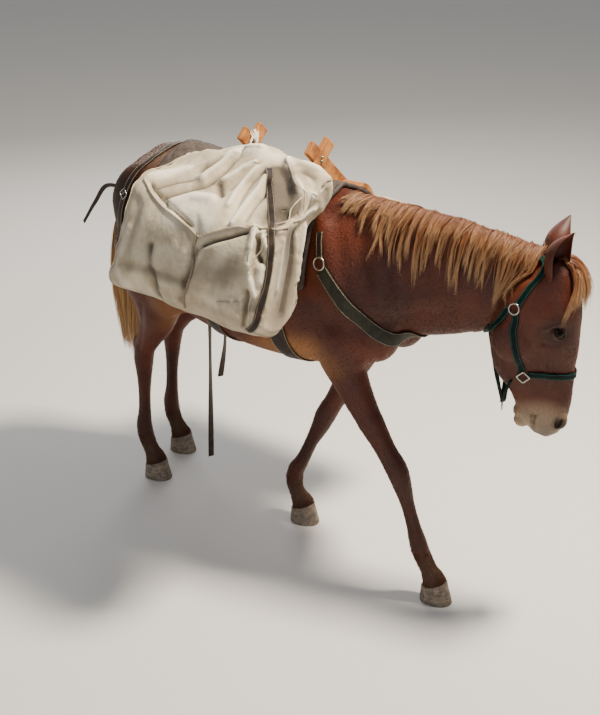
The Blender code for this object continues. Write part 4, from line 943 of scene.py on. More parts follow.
    # x, y, z of the tail's root, reach ahead, reach behind, half width
    dock: tuple = (
        (-0.600, 0.000, 1.230, 0.030, 0.030, 0.032), (-0.660, 0.000, 1.190, 0.028, 0.030, 0.032),
        (-0.700, 0.000, 1.130, 0.024, 0.026, 0.028), (-0.722, 0.000, 1.040, 0.018, 0.020, 0.022),
    )
    # x, y, z, three radii, lean about the Y axis in degrees, on both sides
    paired: tuple = (
        (-0.435, 0.108, 1.210, 0.195, 0.108, 0.205, 0), (-0.515, 0.108, 1.010, 0.108, 0.092, 0.190, 8),
        (-0.315, 0.160, 0.930, 0.110, 0.078, 0.120, -30), (-0.330, 0.160, 1.330, 0.095, 0.062, 0.055, 0),
        (0.505, 0.118, 1.140, 0.130, 0.095, 0.290, -26), (0.560, 0.130, 0.960, 0.130, 0.090, 0.120, 0),
        (0.650, 0.080, 0.990, 0.095, 0.085, 0.120, 0),
    )
    middle: tuple = (
        (0.420, 0.0, 1.360, 0.190, 0.048, 0.100, 4), (-0.350, 0.0, 1.415, 0.170, 0.075, 0.060, 0),
        (-0.635, 0.0, 1.175, 0.060, 0.050, 0.060, 0),
    )
    hocks: tuple = ((-0.546, -0.114, 0.620), (-0.626, 0.141, 0.616))
    eye: tuple = (0.190, -0.084, 0.0700)
    eye_radius: float = 0.0290
    nostril: tuple = (0.540, -0.046, 0.046)

    def neck_middle(self, x: float) -> float:
        """Sideways place of the neck's middle at a distance along the animal."""
        rows = np.array(self.neck)
        return float(np.interp(x, rows[:, 0], rows[:, 1]))

    def trunk_rows(self) -> list[tuple]:
        """Trunk stations as the loft reads them."""
        rows = []
        for x, top, bottom, width in self.trunk:
            level = bottom + self.trunk_widest * (top - bottom)
            rows.append((x, 0.0, level, top - level, level - bottom, width))
        return rows

    def head_rows(self) -> list[tuple]:
        """Head stations as the loft reads them."""
        rows = []
        for below, face, jaw, width in self.head:
            middle = face - self.head_widest * (face - jaw)
            place = self.head_frame.at(below, middle, 0.0)
            rows.append((*place, face - middle, middle - jaw, width))
        return rows

    def masses(self) -> list[bpy.types.Object]:
        """Muscles and points of bone over the trunk."""
        made = []
        for x, y, z, long, wide, high, tilt in self.paired:
            turn = Matrix.Rotation(math.radians(tilt), 3, "Y")
            for side in Side:
                made.append(ball(Vector((x, side.value * y, z)), (long, wide, high), turn))
        for x, y, z, long, wide, high, tilt in self.middle:
            turn = Matrix.Rotation(math.radians(tilt), 3, "Y")
            made.append(ball(Vector((x, y, z)), (long, wide, high), turn))
        return made

    def head_masses(self) -> list[bpy.types.Object]:
        """Cheeks, orbits, face ridges, nostrils, lips and chin over the head."""
        at = self.head_frame.at
        turn = self.head_frame.turn
        below, forward, left = self.eye
        nose_below, nose_forward, nose_left = self.nostril
        made = [
            ball(at(0.575, -0.080, 0.0), (0.046, 0.044, 0.032), turn),
            ball(at(0.556, -0.172, 0.0), (0.030, 0.034, 0.028), turn),
            ball(at(0.520, -0.180, 0.0), (0.026, 0.030, 0.028), turn),
        ]
        for side in Side:
            sign = side.value
            made += [
                ball(at(0.235, -0.205, sign * 0.058), (0.088, 0.034, 0.092), turn),
                ball(at(below - 0.026, forward + 0.004, sign * (left - 0.003)),
                     (0.042, 0.020, 0.018), turn),
                ball(at(below, forward, sign * (left - 0.005)), (0.034, 0.018, 0.028), turn),
                ball(at(0.310, -0.095, sign * 0.056), (0.013, 0.016, 0.100), turn),
                ball(at(nose_below - 0.006, nose_forward, sign * (nose_left - 0.010)),
                     (0.028, 0.018, 0.038), turn),
            ]
        return made

    def neck_and_head(self, sides: int) -> list[bpy.types.Object]:
        """Loose skins of the neck and the head."""
        return [
            loft("Neck", self.neck, UP, sides=sides, power=2.1),
            loft("Head", self.head_rows(), self.head_frame.forward, sides=sides, step=0.02,
                 power=2.3),
        ]

    def body(self) -> bpy.types.Object:
        """Trunk, neck, plain head, legs and dock as one skin."""
        pieces = [loft("Trunk", self.trunk_rows(), UP, sides=32, power=2.15)]
        for rows in self.legs.values():
            pieces.append(loft("Upper leg", rows[:self.upper_rows], FORWARD, step=0.02))
        pieces += self.masses() + self.neck_and_head(24)
        limbs = [melt(pieces, "Trunk", self.body_voxel, 30)]
        for rows in self.legs.values():
            limbs.append(loft("Leg", rows[self.upper_rows - 3:], FORWARD, step=0.02))
        for place in self.hocks:
            turn = Matrix.Rotation(math.radians(12), 3, "Y")
            limbs.append(ball(Vector(place), (0.024, 0.021, 0.040), turn))
        limbs.append(loft("Dock", self.dock, FORWARD, sides=16, step=0.02))
        return melt(limbs, "Body", self.body_voxel, 5)

    def front(self) -> bpy.types.Object:
        """Neck and head as a finer skin, with ears, eye sockets and nostrils."""
        frame = self.head_frame
        skin = melt(self.neck_and_head(32) + self.head_masses(), "Front", self.head_voxel, 5)
        below, forward, left = self.eye
        nose_below, nose_forward, nose_left = self.nostril
        for side in Side:
            middle = frame.at(below, forward, side.value * (left + 0.012))
            away = np.linalg.norm(vert_places(skin) - np.array(middle), axis=1)
            press = -8.5 * MM * np.exp(-(away / 0.040) ** 2)
            move_verts(skin, vert_places(skin) + vert_normals(skin) * press[:, None])
        for side in Side:
            combine(skin, Ear(side, frame).shell(), "UNION")
            socket = ball(frame.at(below, forward, side.value * left),
                          [self.eye_radius + 0.4 * MM] * 3, frame.turn, detail=4)
            combine(skin, socket, "DIFFERENCE")
            tilt = Matrix.Rotation(math.radians(20), 3, "Y")
            hole = ball(frame.at(nose_below, nose_forward - 0.004, side.value * (nose_left + 0.006)),
                        (0.010, 0.018, 0.022), frame.turn @ tilt, detail=3)
            combine(skin, hole, "DIFFERENCE")
        return skin

    def cut(self) -> tuple[Vector, Vector]:
        """Place and normal of the plane behind the ears and the jaw."""
        normal = self.head_frame.forward * 0.887 + DOWN * 0.461
        return self.head_frame.at(-0.050, -0.185, 0.0), normal.normalized()


@dataclass
class Ear:
    """Cupped ear: a leaf rolled round its own length, open ahead and outwards."""

    side: Side
    frame: HeadFrame
    root: tuple = (-0.006, -0.104, 0.050)
    length: float = 0.192
    width: float = 0.102
    lean: float = 0.14
    rows: int = 40
    columns: int = 24
    thickness: float = 4.4 * MM

    def axes(self) -> tuple[Vector, Vector, Vector, Vector]:
        """Root place, and the ear's up, opening and across directions."""
        sign = self.side.value
        turn = self.frame.turn
        root = self.frame.at(self.root[0], self.root[1], sign * self.root[2])
        spread = 0.30 if self.side is Side.FAR else 0.10
        up = (turn @ Vector((self.lean, sign * spread, 1.0))).normalized()
        opening = turn @ Vector((0.72, sign * 0.69, 0.0))
        opening = (opening - up * opening.dot(up)).normalized()
        return root, up, opening, up.cross(opening)

    def sheets(self) -> tuple[np.ndarray, np.ndarray]:
        """Outer and inner grids of places, from the root to the tip."""
        root, up, opening, across = self.axes()
        outer = []
        inner = []
        widest = self.radius(0.47)
        for row in range(self.rows):
            part = row / (self.rows - 1)
            wrap = math.radians(250 - 80 * part)
            radius = self.radius(part)
            ahead = 0.85 * (widest - radius) if part > 0.47 else 0.0
            centre = root + up * (self.length * part - 0.030) + opening * ahead
            thick = self.thickness * (1 - 0.45 * part)
            for column in range(self.columns + 1):
                swing = wrap * (column / self.columns - 0.5)
                rim = 1 - 0.55 * abs(2 * column / self.columns - 1) ** 6
                out = -opening * math.cos(swing) + across * math.sin(swing)
                outer.append(centre + out * (radius + thick / 2 * rim))
                inner.append(centre + out * max(radius - thick / 2 * rim, 0.0006))
        return np.array(outer), np.array(inner)

    def radius(self, part: float) -> float:
        """Half the ear's width at a share of its length. Its front edge runs straight up."""
        return self.width * (0.224 + 0.82 * part * (1 - part)) * (1 - part ** 5) + 0.0017

    def shell(self) -> bpy.types.Object:
        """The ear as one closed sheet."""
        outer, inner = self.sheets()
        verts, faces = closed_sheet(outer, inner, self.rows, self.columns + 1)
        return face_outwards(mesh_object("Ear", verts, faces))


def closed_sheet(outer: np.ndarray, inner: np.ndarray, rows: int,
                 columns: int) -> tuple[np.ndarray, list[tuple]]:
    """Join two grids of places, row by row, into one closed sheet.

    Args:
        outer: Places of the outer face.
        inner: Places of the inner face, in the same order.
        rows: Rows of each grid.
        columns: Columns of each grid.

    Returns:
        Vertices and faces.
    """
    faces = []
    offset = rows * columns
    for row in range(rows - 1):
        for column in range(columns - 1):
            first = row * columns + column
            quad = (first, first + 1, first + columns + 1, first + columns)
            faces.append(quad)
            faces.append(tuple(index + offset for index in quad[::-1]))
    rim = [column for column in range(columns)]
    rim += [row * columns + columns - 1 for row in range(1, rows)]
    rim += [(rows - 1) * columns + column for column in range(columns - 2, -1, -1)]
    rim += [row * columns for row in range(rows - 2, 0, -1)]
    for index, place in enumerate(rim):
        before = rim[index - 1]
        faces.append((before, place, place + offset, before + offset))
    return np.concatenate([outer, inner]), faces


@dataclass
class Skin:
    """One skin over the whole animal, sculpted and marked for the coat that grows on it."""

    flesh: Flesh
    fine_below: float = 0.470
    seam_reach: float = 0.035
    most_triangles: int = 190000
    plain: BVHTree | None = None

    def build(self) -> bpy.types.Object:
        """Stitch the body and the head together, sculpt them and store the coat's lie."""
        whole = self.flesh.body()
        self.plain = tree_of(whole)
        body = self.cut_off(whole, keep_front=False)
        front = self.cut_off(self.flesh.front(), keep_front=True)
        skin = join([body, front], "mule_skin")
        self.stitch(skin)
        self.refine(skin)
        self.sculpt(skin)
        places = vert_places(skin) - vert_normals(skin) * self.flesh.coat_depth
        move_verts(skin, places)
        self.thin(skin)
        self.mark(skin)
        skin.data.shade_smooth()
        return skin

    def cut_off(self, obj: bpy.types.Object, keep_front: bool) -> bpy.types.Object:
        """Keep what lies before or behind the plane at the head."""
        place, normal = self.flesh.cut()
        bm = bmesh.new()
        bm.from_mesh(obj.data)
        faces = [face for face in bm.faces
                 if keep_front or (face.calc_center_median().x > 0.9
                                   and face.calc_center_median().z > 0.6)]
        geometry = set(faces)
        for face in faces:
            geometry.update(face.edges, face.verts)
        bmesh.ops.bisect_plane(bm, geom=list(geometry), plane_co=place,
                               plane_no=-normal if keep_front else normal, clear_outer=True)
        bm.to_mesh(obj.data)
        bm.free()
        return obj

    def stitch(self, obj: bpy.types.Object) -> None:
        """Bridge the two open rims and smooth the join."""
        place, normal = self.flesh.cut()
        bm = bmesh.new()
        bm.from_mesh(obj.data)
        rim = [edge for edge in bm.edges if edge.is_boundary]
        bmesh.ops.bridge_loops(bm, edges=rim)
        bmesh.ops.triangulate(bm, faces=[face for face in bm.faces if len(face.verts) > 4])
        near = [vert for vert in bm.verts
                if abs((vert.co - place).dot(normal)) < self.seam_reach and vert.co.x > 0.95
                and vert.co.z < 1.36]
        for _ in range(14):
            bmesh.ops.smooth_vert(bm, verts=near, factor=0.5, use_axis_x=True, use_axis_y=True,
                                  use_axis_z=True)
        bmesh.ops.recalc_face_normals(bm, faces=bm.faces)
        bm.to_mesh(obj.data)
        bm.free()

    def refine(self, obj: bpy.types.Object) -> None:
        """Split the faces of the muzzle and round the eyes, for finer sculpting."""
        down = Vector(HEAD.top)
        eyes = [HEAD.at(*self.flesh.eye[:2], side.value * self.flesh.eye[2]) for side in Side]
        bm = bmesh.new()
        bm.from_mesh(obj.data)
        edges = []
        for edge in bm.edges:
            place = edge.verts[0].co
            muzzle = down.z - place.z > self.fine_below and place.x > 1.0
            if muzzle or min((place - eye).length for eye in eyes) < 0.045:
                edges.append(edge)
        bmesh.ops.subdivide_edges(bm, edges=edges, cuts=1, use_grid_fill=True)
        bmesh.ops.triangulate(bm, faces=[face for face in bm.faces if len(face.verts) > 4])
        bm.to_mesh(obj.data)
        bm.free()

    def thin(self, obj: bpy.types.Object) -> None:
        """Merge faces where the skin is flattest, down to the most triangles it may have."""
        count = sum(len(face.vertices) - 2 for face in obj.data.polygons)
        modifier = obj.modifiers.new("Thin", "DECIMATE")
        modifier.ratio = min(1.0, self.most_triangles / count)
        bake(obj)

    def sculpt(self, obj: bpy.types.Object) -> None:
        """Press the ridges and grooves into the skin."""
        places = vert_places(obj)
        for stroke, flat in self.strokes():
            normals = vert_normals(obj)
            path = np.array(stroke.places)
            if flat is None:
                away = path_distance(places, path)
                share = np.exp(-(away / stroke.width) ** 2)
            else:
                away = path_distance(places[:, [0, 2]], path)
                share = np.exp(-(away / stroke.width) ** 2)
                share *= np.clip((flat.value * places[:, 1] - 0.02) / 0.05, 0, 1)
            places = places + normals * (stroke.rise * share)[:, None]
            move_verts(obj, places)

    def strokes(self) -> list[tuple[Stroke, Side | None]]:
        """All the strokes, with the side for those that are given in x and z alone."""
        made = []
        frame = self.flesh.head_frame
        for side in Side:
            for stroke in HEAD_STROKES:
                path = tuple(tuple(place) for place in frame.route(stroke.places, side))
                made.append((Stroke(path, stroke.width, stroke.rise), None))
            for stroke in BODY_STROKES:
                made.append((stroke, side))
        for rows in self.flesh.legs.values():
            made += [(stroke, None) for stroke in self.tendons(rows)]
        return made

    @staticmethod
    def tendons(rows: Sequence) -> list[Stroke]:
        """Grooves between the cannon bone and the tendons behind it, on both sides."""
        made = []
        low = [row for row in rows if 0.24 < row[2] < 0.45]
        for sign in (-1, 1):
            path = tuple((x - 0.008, y + sign * width, z) for x, y, z, _, _, width in low)
            made.append(Stroke(path, 7 * MM, -3.2 * MM))
        return made

    def mark(self, obj: bpy.types.Object) -> None:
        """Store the hair's direction and whether it runs upright."""
        places = vert_places(obj)
        normals = unit(vert_normals(obj))
        lie, upright = self.lie(places)
        lie = lie - normals * (lie * normals).sum(axis=1, keepdims=True)
        store(obj, "lie", unit(lie))
        store(obj, "upright", upright)

    def lie(self, places: np.ndarray) -> tuple[np.ndarray, np.ndarray]:
        """Direction of the coat at places on the skin.

        Args:
            places: One row each.

        Returns:
            Directions, and a factor from 0 on the trunk to 1 on the head and legs.
        """
        place, normal = self.flesh.cut()
        ahead = (places - np.array(place)) @ np.array(normal)
        on_head = np.clip(ahead / 0.06 + 0.3, 0, 1) * (places[:, 0] > 0.93)
        on_leg = np.clip((0.80 - places[:, 2]) / 0.16, 0, 1) * (places[:, 0] < 1.02)
        upright = np.maximum(on_head, on_leg)
        back = np.tile((-0.88, 0.0, -0.42), (len(places), 1))
        down = np.tile((-0.05, 0.0, -1.0), (len(places), 1))
        return back * (1 - upright)[:, None] + down * upright[:, None], upright


HEAD = HeadFrame()

# Distance below the poll, distance forward, distance to one side
HEAD_STROKES = (
    Stroke(((0.245, -0.130, 0.088), (0.300, -0.118, 0.074), (0.350, -0.105, 0.064)), 0.010, 0.0035),
    Stroke(((0.270, -0.150, 0.084), (0.350, -0.135, 0.064)), 0.012, -0.0022),
    Stroke(((0.320, -0.250, 0.060), (0.290, -0.165, 0.080)), 0.014, -0.0025),
    Stroke(((0.095, -0.110, 0.090), (0.120, -0.095, 0.092)), 0.020, -0.0050),
    Stroke(((0.250, -0.035, 0.055), (0.420, -0.030, 0.036)), 0.012, -0.0018),
    Stroke(((0.500, -0.050, 0.052), (0.528, -0.066, 0.056)), 0.008, -0.0025),
    Stroke(((0.518, -0.138, 0.052), (0.550, -0.142, 0.053), (0.580, -0.144, 0.045),
            (0.598, -0.145, 0.022), (0.600, -0.146, 0.0)), 0.0060, -0.0095),
    Stroke(((0.520, -0.124, 0.052), (0.560, -0.126, 0.050), (0.590, -0.128, 0.030)), 0.009, 0.0024),
    Stroke(((0.530, -0.158, 0.050), (0.570, -0.160, 0.044), (0.590, -0.160, 0.020)), 0.008, 0.0020),
    Stroke(((0.506, -0.134, 0.052), (0.498, -0.150, 0.048)), 0.0035, -0.0022),
    Stroke(((0.512, -0.128, 0.053), (0.500, -0.118, 0.052)), 0.0035, -0.0018),
    Stroke(((0.495, -0.208, 0.020), (0.492, -0.200, 0.040)), 0.012, -0.0030),
    Stroke(((0.060, -0.270, 0.090), (0.130, -0.300, 0.072), (0.200, -0.315, 0.045)), 0.018, -0.0050),
    Stroke(((0.150, -0.285, 0.062), (0.270, -0.290, 0.045), (0.350, -0.262, 0.034)), 0.012, 0.0030),
    Stroke(((0.300, -0.140, 0.078), (0.330, -0.100, 0.070), (0.365, -0.070, 0.058)), 0.0032, 0.0016),
    Stroke(((0.330, -0.100, 0.070), (0.350, -0.060, 0.055)), 0.0030, 0.0012),
    Stroke(((0.155, -0.060, 0.096), (0.162, -0.095, 0.100), (0.178, -0.128, 0.097)), 0.007, 0.0028),
    Stroke(((0.228, -0.070, 0.090), (0.236, -0.100, 0.092), (0.228, -0.125, 0.090)), 0.006, -0.0016),
)
# Along and up, on both sides
BODY_STROKES = (
    Stroke(((0.470, 1.360), (0.560, 1.170), (0.600, 1.050)), 0.030, 0.0050),
    Stroke(((0.400, 1.250), (0.430, 1.050), (0.490, 0.920)), 0.026, -0.0075),
    Stroke(((0.500, 1.120), (0.530, 0.980)), 0.045, 0.0060),
    Stroke(((0.600, 1.340), (0.670, 1.170), (0.700, 1.050)), 0.030, -0.0065),
    Stroke(((0.720, 1.060), (0.900, 1.110), (1.060, 1.160)), 0.020, -0.0060),
    Stroke(((0.730, 1.120), (0.900, 1.180), (1.080, 1.220)), 0.035, 0.0035),
    Stroke(((0.330, 1.120), (0.290, 0.880)), 0.016, 0.0016),
    Stroke(((0.250, 1.120), (0.205, 0.860)), 0.016, 0.0018),
    Stroke(((0.170, 1.120), (0.120, 0.850)), 0.016, 0.0018),
    Stroke(((0.090, 1.120), (0.035, 0.850)), 0.016, 0.0016),
    Stroke(((-0.230, 1.020), (-0.270, 0.850)), 0.020, -0.0070),
    Stroke(((-0.600, 1.200), (-0.560, 1.000), (-0.490, 0.850)), 0.018, -0.0070),
    Stroke(((-0.640, 1.150), (-0.590, 0.980)), 0.020, 0.0030),
    Stroke(((-0.330, 1.330), (-0.400, 1.150), (-0.360, 0.980)), 0.040, -0.0040),
    Stroke(((0.585, 0.850), (0.660, 0.690), (0.720, 0.600)), 0.010, -0.0030),
    Stroke(((0.460, 0.850), (0.400, 0.700), (0.350, 0.600)), 0.010, -0.0030),
    Stroke(((-0.400, 0.860), (-0.460, 0.700), (-0.500, 0.610)), 0.010, -0.0035),
)


def both(place: tuple, radii: tuple, colour: str, share: float, soft: float = 0.5) -> list[Mark]:
    """The same marking on both sides."""
    x, y, z = place
    return [Mark((x, side.value * y, z), radii, colour, share, soft) for side in Side]


def on_face(below: float, forward: float, left: float, radius: float, colour: str, share: float,
            soft: float = 0.5) -> list[Mark]:
    """A round marking on both sides of the head."""
    return [Mark(tuple(HEAD.at(below, forward, side.value * left)), (radius,) * 3, colour, share,
                 soft) for side in Side]


COAT_MARKS = [
    Mark((0.100, 0.0, 0.100), (1.70, 1.00, 0.480), "liver", 0.42, 0.35),
    # Painted shade: darker over the back of the rump
    Mark((-0.540, 0.0, 1.260), (0.240, 0.40, 0.260), "liver", 0.80, 0.40),
    *both((0.640, 0.120, 1.120), (0.240, 0.10, 0.160), "liver", 0.40),
    *both((0.360, 0.180, 0.860), (0.180, 0.12, 0.080), "golden", 0.62, 0.65),
    Mark((0.050, 0.0, 0.770), (0.480, 0.20, 0.060), "golden", 0.50, 0.60),
    *both((-0.260, 0.170, 0.910), (0.090, 0.10, 0.120), "golden", 0.40, 0.60),
    *both((-0.420, 0.100, 1.450), (0.110, 0.08, 0.060), "dust", 0.50, 0.60),
    Mark((0.920, -0.098, 0.110), (0.060, 0.06, 0.060), "dust", 0.45),
    Mark((0.195, 0.030, 0.110), (0.060, 0.06, 0.060), "dust", 0.45),
    Mark((-0.520, -0.095, 0.110), (0.060, 0.06, 0.060), "dust", 0.45),
    Mark((-0.605, 0.147, 0.110), (0.060, 0.06, 0.060), "dust", 0.45),
    # Darker bare skin round each eye, and painted shade in the hollow of the orbit
    *on_face(0.190, -0.092, 0.080, 0.055, "liver", 0.75),
    *on_face(0.330, -0.180, 0.060, 0.120, "ruddy", 0.50),
    *on_face(0.575, -0.110, 0.000, 0.105, "mealy", 0.62, 0.40),
    *on_face(0.605, -0.080, 0.000, 0.075, "grey", 0.62, 0.50),
    # Dark skin in each nostril, and painted shade in its opening
    *on_face(0.545, -0.046, 0.052, 0.024, "liver", 0.85, 0.50),
    # Painted shade along the crease of the mouth
    *on_face(0.590, -0.145, 0.034, 0.015, "liver", 0.80, 0.60),
    *on_face(0.568, -0.143, 0.050, 0.014, "liver", 0.85, 0.60),
    *on_face(0.545, -0.141, 0.054, 0.013, "liver", 0.85, 0.60),
    *on_face(0.522, -0.138, 0.053, 0.012, "liver", 0.80, 0.60),
    *on_face(0.560, -0.176, 0.030, 0.034, "mealy", 0.60, 0.60),
]


@dataclass
class Unwrap:
    """Places on the skin laid out flat: one tile each for trunk, head and legs.

    Round a part runs across its tile, and along the part runs up it.
    """

    flesh: Flesh
    columns: int = 3
    margin: float = 0.02

    def spots(self, places: np.ndarray) -> np.ndarray:
        """Places on the flat layout for places on the skin, one row each."""
        spots = self.tile(0, places[:, 1], places[:, 2] - 1.12, (places[:, 0] + 0.80) / 2.1)
        local = (places - np.array(HEAD.top)) @ np.array(HEAD.turn)
        cut_place, cut_normal = self.flesh.cut()
        ahead = ((places - np.array(cut_place)) @ np.array(cut_normal) > 0) & (places[:, 0] > 0.93)
        head = self.tile(1, local[:, 1], local[:, 0] + 0.12, (0.25 - local[:, 2]) / 0.95)
        spots[ahead] = head[ahead]
        low = (places[:, 2] < 0.76) & ~ahead
        nearest = np.full(len(places), 1e9)
        for number, rows in enumerate(self.flesh.legs.values()):
            rows = np.array(rows)[::-1]
            x = np.interp(places[:, 2], rows[:, 2], rows[:, 0])
            y = np.interp(places[:, 2], rows[:, 2], rows[:, 1])
            away = np.hypot(places[:, 0] - x, places[:, 1] - y)
            leg = self.tile(2 + number, places[:, 0] - x, places[:, 1] - y, places[:, 2] / 0.8)
            closer = low & (away < nearest)
            spots[closer] = leg[closer]
            nearest = np.where(closer, away, nearest)
        return spots

    def tile(self, number: int, across: np.ndarray, deep: np.ndarray,
             along: np.ndarray) -> np.ndarray:
        """Places in one tile from the two distances off a part's axis and the share along it."""
        round_part = np.arctan2(across, deep) / (2 * math.pi) + 0.5
        size = 1 / self.columns
        inner = size - 2 * self.margin
        u = (number % self.columns) * size + self.margin + inner * round_part
        v = (number // self.columns) * size + self.margin + inner * np.clip(along, 0, 1)
        return np.stack([u, v], axis=1)


PATCH = 0.003


@dataclass
class HairCurtain:
    """Many fine tapered strands spread between a row of guide locks and drawn to their tips."""

    name: str
    strands: int
    width: float
    seed: int
    clump: float = 0.75
    depth: float = 0.012
    wave: float = 0.003
    points: int = 9
    stray: float = 0.06
    gather: float = 0.8

    def build(self, guides: np.ndarray, facing: np.ndarray, unwrap: Unwrap) -> bpy.types.Object:
        """Grow the strands.

        Args:
            guides: Places along each guide lock, as (guide, point, axis).
            facing: Outward directions at the same places.
            unwrap: The skin's flat layout, for the OFBake map.

        Returns:
            One mesh of closed three-sided strands.
        """
        draw = np.random.default_rng(self.seed)
        count = self.strands
        part = np.linspace(0, 1, self.points)[None, :]
        root = draw.uniform(0, len(guides) - 1, count)
        centre = np.round(root)
        hold = self.clump * draw.uniform(0.55, 1.0, count)
        loose = draw.random(count) < self.stray
        hold[loose] = -0.4
        tip = centre + (root - centre) * (1 - hold)
        across = root[:, None] + (tip - root)[:, None] * part ** self.gather
        length = draw.uniform(0.62, 1.0, count) ** 0.7
        along = part * length[:, None]
        line = self.sample(guides, across, along)
        out = unit(self.sample(facing, across, along))
        layer = draw.random(count)[:, None] * self.depth * np.minimum(1, 3 * part)
        layer = layer + loose[:, None] * 0.014 * part
        phase = draw.random((count, 2)) * 2 * math.pi
        swell = self.wave * part * np.sin(part * draw.uniform(4, 9, count)[:, None] + phase[:, :1])
        tangent = unit(np.gradient(line, axis=1))
        side = unit(np.cross(tangent, out))
        line = line + out * layer[..., None] + side * swell[..., None]
        line = line + side * (draw.normal(0, 0.0015, count)[:, None] * np.ones_like(part))[..., None]
        shade = (np.sin(centre * 12.9898) * 43758.5453) % 1.0
        tone = 0.5 * shade + 0.5 * draw.random(count)
        return self.skin(line, out, along, tone, draw, unwrap)

    @staticmethod
    def sample(grid: np.ndarray, across: np.ndarray, along: np.ndarray) -> np.ndarray:
        """Read a (guide, point, axis) grid between its guides and points."""
        rows, columns = grid.shape[:2]
        across = np.clip(across, 0, rows - 1.0001)
        spot = np.clip(along, 0, 0.9999) * (columns - 1)
        low = across.astype(int)
        left = spot.astype(int)
        a = (across - low)[..., None]
        b = (spot - left)[..., None]
        return ((grid[low, left] * (1 - b) + grid[low, left + 1] * b) * (1 - a)
                + (grid[low + 1, left] * (1 - b) + grid[low + 1, left + 1] * b) * a)

    def skin(self, line: np.ndarray, out: np.ndarray, along: np.ndarray, tone: np.ndarray,
             draw: np.random.Generator, unwrap: Unwrap) -> bpy.types.Object:
        """Give every strand its three sides, its colours and its patch on the OFBake map."""
        count, points = line.shape[:2]
        tangent = unit(np.gradient(line, axis=1))
        side = unit(np.cross(tangent, out))
        out = np.cross(side, tangent)
        part = np.linspace(0, 1, points)
        taper = (0.25 + 0.75 * np.minimum(1, 6 * part)) * (1 - part ** 3) + 0.06
        wide = (self.width * draw.uniform(0.6, 1.3, count))[:, None] * taper[None, :] / 2
        wide = wide[..., None]
        corners = np.stack([line + side * wide, line - side * wide, line + out * wide * 0.9], axis=2)
        verts = corners.reshape(-1, 3)
        pattern = np.array(tube_faces(points, 3, closed=False))
        starts = (np.arange(count) * points * 3)[:, None, None]
        faces = (pattern[None] + starts).reshape(-1, 4).tolist()
        last = (points - 1) * 3
        for start in range(0, count * points * 3, points * 3):
            faces.append([start + 2, start + 1, start])
            faces.append([start + last, start + last + 1, start + last + 2])
        obj = mesh_object(self.name, verts, faces)
        face_outwards(obj)
        each = np.repeat(along, 3, axis=1).ravel()
        store(obj, "along", each)
        store(obj, "tone", np.repeat(tone, points * 3))
        spots = np.repeat(unwrap.spots(line[:, 0]), points * 3, axis=0)
        patch = np.stack([np.tile(np.repeat(part, 3), count),
                          np.tile(np.tile([0.0, 1.0, 0.5], points), count)], axis=1)
        store_uv(obj, "OFBake", spots + (patch - 0.5) * PATCH)
        return obj


@dataclass
class Mane:
    """Mane that falls from the crest on the near side, with pale wisps by the withers."""

    flesh: Flesh
    start: float = 0.500
    end: float = 1.180
    seed: int = 11

    def grow(self, tree: BVHTree, unwrap: Unwrap) -> list[bpy.types.Object]:
        """The mane's locks in layers.

        Args:
            tree: Search tree over the skin.
            unwrap: The skin's flat layout.

        Returns:
            One mesh a layer.
        """
        made = []
        for curtain, count, share in (
                (HairCurtain("mane_under", 2600, 2.4 * MM, 21, clump=0.60, depth=0.008), 40, 0.62),
                (HairCurtain("mane_top", 1500, 1.7 * MM, 22, clump=0.99, depth=0.016, stray=0.05,
                             gather=0.3), 52, 1.0),
                (HairCurtain("mane_crest", 2000, 1.8 * MM, 23, clump=0.90, depth=0.016, stray=0.12,
                             gather=0.5), 46, 0.36)):
            guides, facing = self.lay(tree, share, count)
            made.append(curtain.build(guides, facing, unwrap))
        return made

    def lay(self, tree: BVHTree, share: float, count: int) -> tuple[np.ndarray, np.ndarray]:
        """Guide locks laid on the neck, each a share of its full length."""
        draw = np.random.default_rng(self.seed)
        lines = []
        facing = []
        for index in range(count):
            part = index / (count - 1)
            x = self.start + (self.end - self.start) * part
            middle = self.flesh.neck_middle(x)
            crest = tree.ray_cast(Vector((x, middle, 2.0)), DOWN)[0]
            fade = min(1.0, 0.35 + 2.4 * part)
            drop = draw.uniform(0.120, 0.250) * fade * share * (1.0 - 0.25 * abs(part - 0.45))
            sweep = draw.uniform(-0.045, 0.020) - 0.035 * (1 - fade)
            root = crest + Vector((0.0, 0.008, -0.004))
            places = [root, crest + Vector((0.003, -0.006, 0.010))]
            outs = [UP.copy(), UP.copy()]
            for step in (0.12, 0.28, 0.46, 0.64, 0.82, 1.0):
                guess = crest + Vector((sweep * step, -0.075 * math.sqrt(step), -drop * step))
                touch, normal = tree.find_nearest(guess)[:2]
                places.append(touch + normal * (0.006 + 0.004 * draw.random()))
                outs.append(normal)
            rows = interpolate([(*place, 0.0) for place in places], 0.01)[:, :3]
            spots = np.linspace(0, len(rows) - 1, 12)
            lines.append([rows[int(round(spot))] for spot in spots])
            steps = np.linspace(0, len(outs) - 1, 12)
            facing.append([outs[int(round(step))] for step in steps])
        return np.array(lines, dtype=float), np.array(facing, dtype=float)


